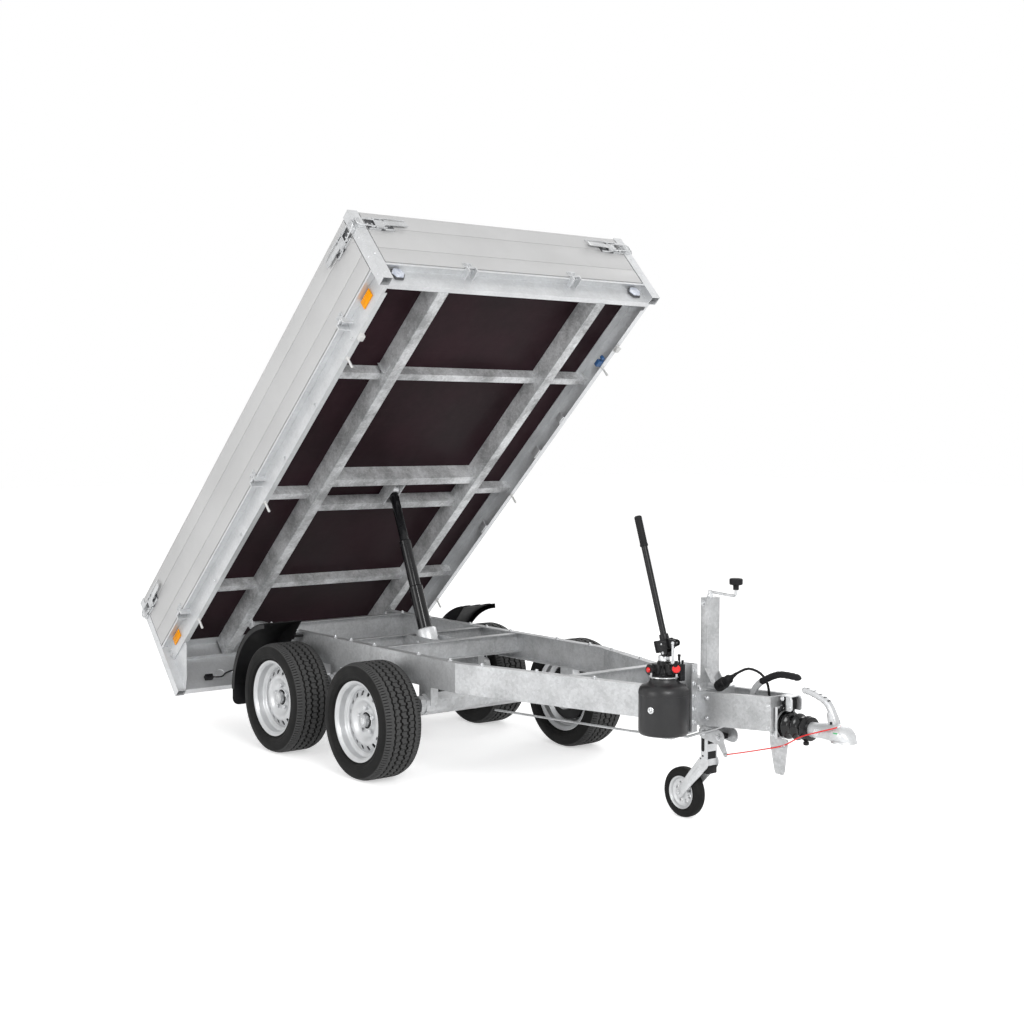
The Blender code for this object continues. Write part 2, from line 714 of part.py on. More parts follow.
def road_wheels():
    for place_name, (x, side) in WHEEL_PLACES.items():
        turn = (math.radians(-90 * side), 0, 0)
        hub = (x, side * WHEEL_PLANE, TYRE_RADIUS)
        turned("tyre_" + place_name, RUBBER, ROOT, tyre_profile(), hub, turn, WHEEL_STEPS)
        wheel = turned("wheel_" + place_name, SILVER, ROOT, wheel_profile(), hub, turn, WHEEL_STEPS)
        vents = bpy.data.meshes.new("vents_" + place_name)
        form = bmesh.new()
        for index in range(VENT_COUNT):
            angle = (index + 0.25) * 2 * math.pi / VENT_COUNT
            spot = Matrix.Translation((VENT_CIRCLE * math.cos(angle), VENT_CIRCLE * math.sin(angle),
                                       RIM_HALF_WIDTH - DISC_RECESS - 0.010))
            bmesh.ops.create_cone(form, cap_ends=True, segments=VENT_SIDES, radius1=VENT_RADIUS,
                                  radius2=VENT_RADIUS, depth=DISC_RECESS, matrix=spot)
        form.to_mesh(vents)
        form.free()
        cut(wheel, place("wheel_vents_" + place_name, vents, SILVER, ROOT, hub, turn))


def axles():
    """A torsion tube, its two trailing arms, drums, hubs and brackets to each axle."""
    face = WHEEL_PLANE + RIM_HALF_WIDTH - DISC_RECESS - DISC_DISH - SEAT
    tilt = math.atan2(AXLE_TUBE_Z - TYRE_RADIUS, AXLE_TUBE_AHEAD)
    reach = math.hypot(AXLE_TUBE_Z - TYRE_RADIUS, AXLE_TUBE_AHEAD)
    arm_outline = capsule((0, 0), (reach, 0), ARM_SMALL_RADIUS, ARM_BIG_RADIUS)
    for name, x in (("front", AXLE_SPACING / 2), ("rear", -AXLE_SPACING / 2)):
        tube_x = x + AXLE_TUBE_AHEAD
        axle = rod("axle_" + name, GALVANISED, ROOT, (tube_x, -AXLE_TUBE_HALF, AXLE_TUBE_Z),
                   (tube_x, AXLE_TUBE_HALF, AXLE_TUBE_Z), AXLE_TUBE_RADIUS, 6)
        for side_name, side in SIDES.items():
            tag = name + "_" + side_name
            arm_y = side * (AXLE_TUBE_HALF + ARM_THICK / 2 - 4 * BITE)
            arm = plate("arm_" + tag, BLACK_STEEL, ROOT, arm_outline, ARM_THICK,
                        (x, arm_y, TYRE_RADIUS), (math.radians(90), -tilt, 0))
            spindle = rod("spindle_" + tag, BLACK_STEEL, ROOT, (x, arm_y, TYRE_RADIUS),
                          (x, side * (face + HUB_REACH), TYRE_RADIUS), HUB_BORE_RADIUS - PIN_PLAY, 12)
            drum = rod("drum_" + tag, BLACK_STEEL, ROOT, (x, side * DRUM_INNER_PLANE, TYRE_RADIUS),
                       (x, side * face, TYRE_RADIUS), DRUM_RADIUS, 16)
            across = sorted((side * (BEAM_HALF_SPAN - BEAM_FLANGE), side * BEAM_HALF_SPAN))
            bracket = box("axle_bracket_" + tag, GALVANISED, ROOT,
                          (tube_x - AXLE_BRACKET_HALF, across[0], AXLE_TUBE_Z),
                          (tube_x + AXLE_BRACKET_HALF, across[1], BEAM_BOTTOM - SEAT))
            fuse(axle, bracket, arm, spindle, drum)


def ring_outline(outer, inner, start, end, centre, count=13):
    """A band between two arcs about one centre."""
    return (circle(outer, count, centre, start, end - start)
            + circle(inner, count, centre, start, end - start)[::-1])


def mudguards():
    """A quarter guard behind each rear wheel, with its inner wall, outer lip, flap and stays."""
    hub = (-AXLE_SPACING / 2, TYRE_RADIUS)
    rear = hub[0] - GUARD_RADIUS
    sheet_outline = ring_outline(GUARD_RADIUS, GUARD_RADIUS - GUARD_WALL, GUARD_START, math.pi, hub)
    lip_outline = ring_outline(GUARD_RADIUS - BITE, GUARD_RADIUS - GUARD_LIP, GUARD_START, math.pi, hub)
    wall_outline = circle(GUARD_RADIUS - BITE, 11, hub, GUARD_START, math.pi - GUARD_START)
    for side_name, side in SIDES.items():
        across = [side * (GUARD_INNER_Y + share) for share in (0, GUARD_WIDTH)]
        middle = sum(across) / 2
        guard = plate("mudguard_" + side_name, BLACK_PLASTIC, ROOT, sheet_outline, GUARD_WIDTH,
                      (0, middle, 0), UPRIGHT)
        for part, outline, y in (("lip", lip_outline, across[1] - side * GUARD_WALL / 2),
                                 ("wall", wall_outline, across[0] + side * GUARD_WALL / 2)):
            fuse(guard, plate(f"guard_{part}_{side_name}", BLACK_PLASTIC, ROOT, outline, GUARD_WALL - BITE,
                              (0, y, 0), UPRIGHT))
        low, high = sorted(across)
        flap = box("guard_flap_" + side_name, BLACK_PLASTIC, ROOT, (rear + BITE, low + BITE, FLAP_BOTTOM),
                   (rear + GUARD_WALL, high - BITE, hub[1] + 0.03))
        fuse(guard, flap)
        ends = sorted((side * (BEAM_HALF_SPAN + SEAT), side * (GUARD_INNER_Y + 2 * BITE)))
        for index, back in enumerate(GUARD_STAY_BACK):
            x, z = hub[0] - back, BEAM_TOP - 2 * GUARD_STAY
            fuse(guard, box(f"guard_stay_{side_name}_{index}", BLACK_STEEL, ROOT, (x, ends[0], z),
                            (x + 2 * GUARD_STAY, ends[1], z + GUARD_STAY)))


def bed_section(opening):
    """A web set in under a ledge, with flanges inward and a down-turned edge outward."""
    wall, low, height = FRAME_WALL, FRAME_LOW, FRAME_HEIGHT
    web, bottom, top = FRAME_INSET, FRAME_INSET + FRAME_BOTTOM_FLANGE, FRAME_INSET + FRAME_TOP_FLANGE
    points = [(0, height - FRAME_LEDGE_LIP), (wall, height - FRAME_LEDGE_LIP), (wall, height - wall),
              (web, height - wall), (web, low), (bottom, low), (bottom, low + wall),
              (web + wall, low + wall), (web + wall, height - wall), (top, height - wall), (top, height),
              (0, height)]
    return [(opening * x, y) for x, y in points]


def hinge_lugs(tag, frame, spots, along_u, face, out):
    """The lugs and pin of each board hinge, welded under the ledge and standing out of it."""
    axis = face + BOARD_HINGE_OUT * out
    across = sorted((face - (FRAME_INSET + BITE) * out, axis + KNUCKLE_RADIUS * 0.6 * out))
    low, high = FRAME_HEIGHT - LUG_DEPTH, FRAME_HEIGHT - BITE / 2
    for index, spot in enumerate(spots):
        for end in (-1, 1):
            near = spot + end * (KNUCKLE_HALF + LUG_GAP)
            along = sorted((near, near + end * LUG_THICK))
            corners = [(along[step], across[step]) if along_u else (across[step], along[step])
                       for step in (0, 1)]
            fuse(frame, box(f"lug_{tag}_{index}_{end}", GALVANISED, BED,
                            (*corners[0], low), (*corners[1], high)))
        half = KNUCKLE_HALF + LUG_GAP + LUG_THICK + BITE
        start, end = ((spot + step, axis) if along_u else (axis, spot + step) for step in (-half, half))
        fuse(frame, rod(f"board_pin_{tag}_{index}", GALVANISED, BED, (*start, BOARD_HINGE_W),
                        (*end, BOARD_HINGE_W), BOARD_PIN_RADIUS, 8))


def post(name, frame, low, high, out_u, out_v):
    """A square tube open at its lower end, with a keeper for each board's latch."""
    fuse(frame, box(name, GALVANISED, BED, low, high))
    middle_u, middle_v = (low[0] + high[0]) / 2, (low[1] + high[1]) / 2
    across_u = (middle_u - KEEPER_HALF, middle_u + KEEPER_HALF)
    across_v = (middle_v - KEEPER_HALF, middle_v + KEEPER_HALF)
    out_of_u = sorted((middle_u, middle_u + out_u * (POST_U / 2 + LATCH_OUT)))
    out_of_v = sorted((middle_v, middle_v + out_v * (POST_V / 2 + LATCH_OUT)))
    for tag, span_u, span_v in (("end", out_of_u, across_v), ("side", across_u, out_of_v)):
        fuse(frame, box(f"{name}_keeper_{tag}", GALVANISED, BED, (span_u[0], span_v[0], LATCH_W[0]),
                        (span_u[1], span_v[1], LATCH_W[1])))
    bore_low = (low[0] + POST_WALL, low[1] + POST_WALL, low[2] - POST_WALL)
    bore_high = (high[0] - POST_WALL, high[1] - POST_WALL, high[2] - POST_WALL)
    cut(frame, box(name + "_bore", GALVANISED, BED, bore_low, bore_high))


def bed_frames():
    half_v = BED_WIDTH / 2
    post_half = half_v - POST_V
    clear_v = post_half + BITE + SEAT
    clear_rear = FRAME_INSET + FRAME_TOP_FLANGE + SEAT
    for side_name, side in SIDES.items():
        route = [(POST_U + SEAT, side * half_v, 0), (BED_LENGTH - POST_U - SEAT, side * half_v, 0)]
        frame = sweep("bed_side_frame_" + side_name, GALVANISED, BED, route, bed_section(side))
        spots = [BED_LENGTH / 2 + offset for offset in BOARD_HINGE_SPREAD["side"]]
        hinge_lugs(side_name, frame, spots, True, side * half_v, side)
        for index, (start, end) in enumerate(((0, clear_rear), (BED_LENGTH - clear_rear, BED_LENGTH))):
            across = sorted((side * (post_half - 2 * FRAME_TOP_FLANGE), side * clear_v))
            cut(frame, box(f"frame_corner_{side_name}_{index}", GALVANISED, BED,
                           (start, across[0], 0), (end, across[1], 2 * FRAME_HEIGHT)))
    ends = [(-post_half - BITE, post_half + BITE)] * 2
    front = sweep("bed_front_frame", GALVANISED, BED, [(BED_LENGTH, v, 0) for v in ends[0]], bed_section(-1))
    rear = sweep("bed_rear_frame", GALVANISED, BED, [(0, v, 0) for v in ends[1]], bed_section(1))
    hinge_lugs("front", front, BOARD_HINGE_SPREAD["end"], False, BED_LENGTH, 1)
    hinge_lugs("rear", rear, BOARD_HINGE_SPREAD["end"], False, 0, -1)
    apron(rear, post_half)
    for side_name, side in SIDES.items():
        low_v, high_v = sorted((side * post_half, side * half_v))
        post("front_post_" + side_name, front, (BED_LENGTH - POST_U, low_v, FRAME_LOW - BITE),
             (BED_LENGTH + BITE, high_v, POST_TOP), 1, side)
        post("rear_post_" + side_name, rear, (-BITE, low_v, REAR_POST_LOW),
             (POST_U, high_v, POST_TOP), -1, side)


def apron(rear, post_half):
    """The plate under the bed's rear end that carries the tail lamps, with its flange and gussets."""
    reach = post_half + BITE
    inner = APRON_U - APRON_WALL
    pieces = [
        box("apron_plate", GALVANISED, BED, (inner, -reach, APRON_LOW), (APRON_U, reach, FRAME_LOW + BITE)),
        box("apron_flange", GALVANISED, BED, (BITE, -reach, APRON_LOW),
            (inner + BITE, reach, APRON_LOW + APRON_WALL))]
    top = FRAME_LOW - SEAT
    outline = [(POST_U - 2 * BITE, APRON_LOW), GUSSET_KNEE, (GUSSET_U, GUSSET_DROP), (GUSSET_U, top),
               (POST_U - 2 * BITE, top)]
    for side_name, side in SIDES.items():
        v = side * (post_half + 2 * APRON_WALL)
        pieces.append(plate("apron_gusset_" + side_name, GALVANISED, BED, outline, APRON_WALL,
                            (0, v, 0), UPRIGHT))
    fuse(rear, *pieces)


def bed_floor():
    """The plywood, notched round the four corner posts."""
    edge = BOARD_THICK + FLOOR_EDGE_GAP
    out_u, out_v = BED_LENGTH / 2 - edge, BED_WIDTH / 2 - edge
    in_u, in_v = BED_LENGTH / 2 - POST_U - 2 * BITE, BED_WIDTH / 2 - POST_V - 2 * BITE
    outline = []
    for sign_u, sign_v in ((1, 1), (-1, 1), (-1, -1), (1, -1)):
        corner = [(sign_u * out_u, sign_v * in_v), (sign_u * in_u, sign_v * in_v),
                  (sign_u * in_u, sign_v * out_v)]
        outline += corner if sign_u == sign_v else corner[::-1]
    plate("bed_floor", PLYWOOD, BED, outline, FLOOR_THICK,
          (BED_LENGTH / 2, 0, FRAME_HEIGHT + SEAT + FLOOR_THICK / 2))


def board(name, parent, length):
    """A drop side of three planks with a latch at each end, its origin on its hinge axis."""
    low, high = BOARD_BOTTOM - BOARD_HINGE_W, BOARD_TOP - BOARD_HINGE_W
    near, half = BOARD_HINGE_OUT, length / 2
    body = box(name, ALUMINIUM, parent, (near, -half, low), (near + BOARD_THICK, half, high))
    body.data.transform(Matrix.Translation(body.location))
    body.location = (0, 0, 0)
    for index, seam in enumerate(BOARD_SEAM_W):
        z = seam - BOARD_HINGE_W
        cut(body, box(f"{name}_seam_{index}", ALUMINIUM, parent,
                      (near - BOARD_SEAM_DEPTH, -half - BOARD_GAP, z - BOARD_SEAM_DEPTH),
                      (near + BOARD_SEAM_DEPTH, half + BOARD_GAP, z + BOARD_SEAM_DEPTH)))
    for end in (-1, 1):
        along = sorted((end * (half - LATCH_END_GAP), end * (half - LATCH_END_GAP - LATCH_LENGTH)))
        fuse(body, box(f"{name}_latch_{end}", GALVANISED, parent,
                       (near - LATCH_OUT, along[0], LATCH_W[0] - BOARD_HINGE_W),
                       (near + 2 * BOARD_SEAM_DEPTH, along[1], LATCH_W[1] - BOARD_HINGE_W)))
    return body


def boards():
    half_v = BED_WIDTH / 2
    side_length = BED_LENGTH - 2 * (POST_U + BOARD_GAP)
    end_length = BED_WIDTH - 2 * (POST_V + BOARD_GAP)
    out = BOARD_HINGE_OUT
    places = (
        # name, hinge place in the bed, turn, length, hinge spread
        ("side_board_right", (BED_LENGTH / 2, -half_v - out, BOARD_HINGE_W), 90, side_length, "side"),
        ("side_board_left", (BED_LENGTH / 2, half_v + out, BOARD_HINGE_W), -90, side_length, "side"),
        ("headboard", (BED_LENGTH + out, 0, BOARD_HINGE_W), 180, end_length, "end"),
        ("tailgate", (-out, 0, BOARD_HINGE_W), 0, end_length, "end"),
    )
    for name, location, turn, length, spread in places:
        pivot = empty(name + "_hinge", BED, location)
        pivot.rotation_euler = (0, 0, math.radians(turn))
        panel = board(name, pivot, length)
        for index, y in enumerate(BOARD_HINGE_SPREAD[spread]):
            leaf = box(f"{name}_leaf_{index}", ALUMINIUM, pivot, (BITE, y - KNUCKLE_HALF + BITE, LEAF_LOW),
                       (BOARD_HINGE_OUT + 2 * BITE, y + KNUCKLE_HALF - BITE, LEAF_HIGH))
            knuckle = rod(f"{name}_knuckle_{index}", ALUMINIUM, pivot, (0, y - KNUCKLE_HALF, 0),
                          (0, y + KNUCKLE_HALF, 0), KNUCKLE_RADIUS, 10)
            bore = rod(f"{name}_bore_{index}", ALUMINIUM, pivot, (0, y - 2 * KNUCKLE_HALF, 0),
                       (0, y + 2 * KNUCKLE_HALF, 0), BOARD_PIN_RADIUS + PIN_PLAY, 8)
            fuse(panel, leaf, knuckle)
            cut(panel, bore)


def bed_underframe():
    """Two long tubes, the cross members let into them, and the cylinder's carrier between them."""
    top = FRAME_HEIGHT
    web_half = BED_WIDTH / 2 - FRAME_INSET - FRAME_WALL - SEAT
    flange_half = BED_WIDTH / 2 - FRAME_INSET - FRAME_TOP_FLANGE - SEAT
    under_flange = FRAME_HEIGHT - FRAME_WALL - SEAT
    rear_u = FRAME_INSET + FRAME_BOTTOM_FLANGE + SEAT
    flange_u = FRAME_INSET + FRAME_TOP_FLANGE + SEAT
    crosses = (("bed_cross_front", BED_CROSS_FRONT_U), ("bed_cross_rear", BED_CROSS_REAR_U))
    for side_name, side in SIDES.items():
        low_v, high_v = sorted((side * (LONG_OUTER - LONG_WIDTH), side * LONG_OUTER))
        beam = box("bed_beam_" + side_name, GALVANISED, BED,
                   (rear_u, low_v, LONG_BOTTOM), (BED_LENGTH - rear_u, high_v, top))
        stub_ends = sorted((side * (LONG_OUTER - LONG_WALL / 2), side * web_half))
        stub = box("bed_stub_" + side_name, GALVANISED, BED, (BED_STUB_U, stub_ends[0], CROSS_BOTTOM),
                   (BED_STUB_U + BED_CROSS_WIDTH, stub_ends[1], top))
        hole = circle(HINGE_PIN_RADIUS + PIN_PLAY, 16, (HINGE_U, HINGE_W))
        ear_half = HINGE_EAR_RADIUS + 0.008
        ear_outline = circle(HINGE_EAR_RADIUS, 9, (HINGE_U, HINGE_W), math.pi, math.pi) + [
            (HINGE_U + ear_half, LONG_BOTTOM + LONG_WALL / 2),
            (HINGE_U - ear_half, LONG_BOTTOM + LONG_WALL / 2)]
        ear = plate("hinge_ear_" + side_name, GALVANISED, BED, ear_outline, HINGE_EAR,
                    (0, side * (BEAM_HALF_SPAN + SEAT + HINGE_EAR / 2), 0), UPRIGHT, holes=[hole])
        fuse(beam, stub, ear)
        edge = sorted((side * flange_half, side * (web_half + BITE)))
        cuts = [("bore", (0, low_v + LONG_WALL, LONG_BOTTOM + LONG_WALL),
                 (BED_LENGTH, high_v - LONG_WALL, top - LONG_WALL)),
                ("rear_rebate", (0, low_v - LONG_WALL, under_flange),
                 (flange_u, high_v + LONG_WALL, top + LONG_WALL)),
                ("front_rebate", (BED_LENGTH - flange_u, low_v - LONG_WALL, under_flange),
                 (BED_LENGTH, high_v + LONG_WALL, top + LONG_WALL)),
                ("stub_rebate", (BED_STUB_U - LONG_WALL, edge[0], under_flange),
                 (BED_STUB_U + BED_CROSS_WIDTH + LONG_WALL, edge[1], top + LONG_WALL))]
        for name, u in crosses:
            cuts.append((name + "_notch", (u - SEAT, low_v - LONG_WALL, CROSS_BOTTOM - SEAT),
                         (u + BED_CROSS_WIDTH + SEAT, high_v + LONG_WALL, top + LONG_WALL)))
        for name, low, high in cuts:
            cut(beam, box(f"{name}_{side_name}", GALVANISED, BED, low, high))
    for name, u in crosses:
        cross = box(name, GALVANISED, BED, (u, -web_half, CROSS_BOTTOM),
                    (u + BED_CROSS_WIDTH, web_half, top))
        for side_name, side in SIDES.items():
            edge = sorted((side * flange_half, side * (web_half + BITE)))
            cut(cross, box(f"{name}_rebate_{side_name}", GALVANISED, BED,
                           (u - LONG_WALL, edge[0], under_flange),
                           (u + BED_CROSS_WIDTH + LONG_WALL, edge[1], top + LONG_WALL)))
    cylinder_carrier(top)


def cylinder_carrier(top):
    """Two members between the long tubes, with the cheeks and pin of the rod's eye."""
    inner = LONG_OUTER - LONG_WIDTH - SEAT
    carrier = box("cylinder_carrier", GALVANISED, BED, (CARRIER_FRONT_U, -inner, CARRIER_FRONT_BOTTOM),
                  (CARRIER_FRONT_U + CARRIER_FRONT_WIDTH, inner, top))
    rear_end = CARRIER_REAR_U + CARRIER_REAR_WIDTH
    pieces = [box("carrier_rear", GALVANISED, BED, (CARRIER_REAR_U, -inner, CARRIER_REAR_BOTTOM),
                  (rear_end, inner, top))]
    cheek = EYE_WIDTH / 2 + BITE
    for side_name, side in SIDES.items():
        ends = sorted((side * cheek, side * (cheek + CARRIER_CHEEK)))
        pieces.append(box("carrier_cheek_" + side_name, GALVANISED, BED,
                          (rear_end - 2 * BITE, ends[0], CARRIER_REAR_BOTTOM - CARRIER_CHEEK_DROP),
                          (CARRIER_FRONT_U + 2 * BITE, ends[1], top - 4 * BITE)))
    pin_half = cheek + CARRIER_CHEEK / 2
    pieces.append(rod("carrier_pin", GALVANISED, BED, (ROD_EYE_U, -pin_half, ROD_EYE_W),
                      (ROD_EYE_U, pin_half, ROD_EYE_W), EYE_PIN_RADIUS, 12))
    fuse(carrier, *pieces)


def cylinder_geometry():
    """Trunnion place, lean and length of the raised cylinder, and its shortest length."""
    trunnion = Vector((HINGE_X + ROD_EYE_U - HINGE_U, 0, TRUNNION_Z))
    arm = Vector((ROD_EYE_U - HINGE_U, 0, ROD_EYE_W - HINGE_W))
    eye = Vector((HINGE_X, 0, HINGE_Z)) + Matrix.Rotation(-TIP_ANGLE, 3, "Y") @ arm
    reach = eye - trunnion
    lean = math.atan2(-reach.x, reach.z)
    lowered = HINGE_Z + ROD_EYE_W - HINGE_W - TRUNNION_Z
    return trunnion, lean, reach.length, lowered


def cylinder():
    """The barrel on its trunnions, two stages and the rod, drawn out to the raised bed."""
    trunnion, lean, length, lowered = cylinder_geometry()
    stroke = (length - lowered) / 3
    pivot = empty("cylinder_pivot", ROOT, trunnion, lean)
    stage_radius = [ROD_RADIUS + (STAGE_PLAY + STAGE_WALL) * i for i in range(3)]
    bore = stage_radius[2] + STAGE_PLAY
    low, high = -BARREL_BELOW, BARREL_ABOVE
    collar = BARREL_RADIUS + BARREL_COLLAR
    barrel = turned("cylinder_barrel", BLACK_STEEL, pivot, [
        (0, high - BARREL_BORE_DEPTH), (bore, high - BARREL_BORE_DEPTH), (bore, high), (collar, high),
        (collar, high - BARREL_COLLAR_HEIGHT), (BARREL_RADIUS, high - BARREL_COLLAR_HEIGHT - BARREL_COLLAR),
        (BARREL_RADIUS, low + 4 * BITE), (BARREL_RADIUS - 4 * BITE, low), (0, low)],
        (0, 0, 0), (0, 0, 0), 18, closed=False)
    for side_name, side in SIDES.items():
        fuse(barrel, rod("trunnion_" + side_name, GALVANISED, pivot,
                         (0, side * (BARREL_RADIUS - 4 * BITE), 0),
                         (0, side * (CRADLE_INNER + CRADLE_THICK + 6 * BITE), 0), TRUNNION_RADIUS, 12))
    base = high
    for order, index in ((1, 2), (2, 1)):
        top = base + stroke + STAGE_STEP
        outer, inner = stage_radius[index], stage_radius[index] - STAGE_WALL
        turned(f"cylinder_stage_{order}", CHROME, pivot, [
            (inner, top), (outer, top), (outer, base - STAGE_INSIDE), (inner, base - STAGE_INSIDE)],
            (0, 0, 0), (0, 0, 0), 18)
        base = top
    shaft = rod("cylinder_rod", CHROME, pivot, (0, 0, base - STAGE_INSIDE),
                (0, 0, length - EYE_RADIUS + 4 * BITE), ROD_RADIUS, 18)
    fuse(shaft, plate("rod_eye", GALVANISED, pivot, circle(EYE_RADIUS, 16), EYE_WIDTH, (0, 0, length),
                      UPRIGHT, holes=[circle(EYE_HOLE, 12)]))


def pump():
    """The hand pump's tank and head, its lever and the bracket that holds it."""
    body = turned("pump", BLACK_STEEL, ROOT, [
        (0, TANK_TOP + 0.014), (0.074, TANK_TOP + 0.014), (0.078, TANK_TOP + 0.004),
        (TANK_RADIUS - 0.008, TANK_TOP - 0.006), (TANK_RADIUS, TANK_TOP - 0.020),
        (TANK_RADIUS, TANK_BOTTOM + 0.018), (TANK_RADIUS - 0.006, TANK_BOTTOM), (0, TANK_BOTTOM)],
        (PUMP_X, PUMP_Y, 0), (0, 0, 0), 20, closed=False)
    half, valve_z = PUMP_HEAD_HALF, TANK_TOP + 0.052
    pieces = [box("pump_head", BLACK_STEEL, ROOT, (PUMP_X - half, PUMP_Y - half, TANK_TOP + 0.010),
                  (PUMP_X + half, PUMP_Y + half, TANK_TOP + PUMP_HEAD_TOP))]
    for tag, x, y in (("front", half + 0.022, 0.0), ("side", -0.024, -half - 0.028)):
        start = (PUMP_X + (0 if x > 0 else x), PUMP_Y, valve_z)
        pieces.append(rod("pump_valve_" + tag, BLACK_STEEL, ROOT, start, (PUMP_X + x, PUMP_Y + y, valve_z),
                          PUMP_VALVE_RADIUS, 12))
    pieces.append(rod("pump_collar", GALVANISED, ROOT, (PUMP_X, PUMP_Y, TANK_TOP + PUMP_HEAD_TOP - 2 * BITE),
                      (PUMP_X, PUMP_Y, TANK_TOP + PUMP_COLLAR_TOP), 0.024, 16))
    fuse(body, *pieces)
    pump_lever()
    pump_bracket()


def pump_lever():
    """The lever's long arm in its socket, leaning back over the pump."""
    pivot = Vector((PUMP_X + LEVER_PIVOT_AHEAD, PUMP_Y, TANK_TOP + LEVER_PIVOT_UP))
    tip = pivot + Vector((-LEVER_LEAN, 0, LEVER_RISE))
    along = (tip - pivot).normalized()
    lever = rod("pump_lever", BLACK_STEEL, ROOT, pivot, tip, LEVER_RADIUS, 12)
    socket = rod("lever_socket", BLACK_STEEL, ROOT, pivot - along * 0.018, pivot + along * 0.050,
                 LEVER_SOCKET_RADIUS, 12)
    foot_low = TANK_TOP + PUMP_COLLAR_TOP + SEAT
    foot = box("lever_foot", BLACK_STEEL, ROOT, (PUMP_X - LEVER_FOOT, PUMP_Y - LEVER_FOOT, foot_low),
               (PUMP_X + LEVER_FOOT, PUMP_Y + LEVER_FOOT, pivot.z))
    fuse(lever, socket, foot)


def pump_bracket():
    """The folded plate on the right beam's end, with the shelf under the tank."""
    taper = math.atan2(BEAM_HALF_SPAN - BEAM_FRONT_HALF, BEAM_FRONT - BEAM_BEND)
    face = empty("beam_face_right", ROOT, (BEAM_FRONT, -BEAM_FRONT_HALF, 0))
    face.rotation_euler = (0, 0, taper)
    front = -4 * BITE
    low = TANK_BOTTOM - SEAT - BRACKET_WALL
    back = box("pump_bracket", GALVANISED, face, (front - BRACKET_WIDTH, -BRACKET_WALL, low),
               (front, -SEAT, BRACKET_TOP))
    edge = box("pump_bracket_edge", GALVANISED, face, (front - BRACKET_WALL, -BRACKET_EDGE, low),
               (front, -BRACKET_WALL / 2, BRACKET_TOP))
    shelf = box("pump_shelf", GALVANISED, face, (front - BRACKET_WIDTH, -SHELF_REACH, low),
                (front, -BRACKET_WALL / 2, low + BRACKET_WALL))
    fuse(back, edge, shelf)


def jockey():
    """The square mast with its crank, the leg that slides in it, and the jockey wheel."""
    mast()
    jockey_leg()
    radius, half = JOCKEY_RADIUS, JOCKEY_WIDTH / 2
    rim, bore = radius * 0.66, JOCKEY_SPINDLE + PIN_PLAY
    upper = [(bore, half), (0.018, half), (0.020, half * 0.5), (rim - 0.008, half * 0.35), (rim, half * 0.8),
             (radius * 0.82, half), (radius * 0.96, half * 0.80), (radius, half * 0.40)]
    turned("jockey_wheel", RUBBER, ROOT, upper + [(r, -h) for r, h in reversed(upper)],
           (JOCKEY_X, MAST_Y, JOCKEY_RADIUS), UPRIGHT, 20)


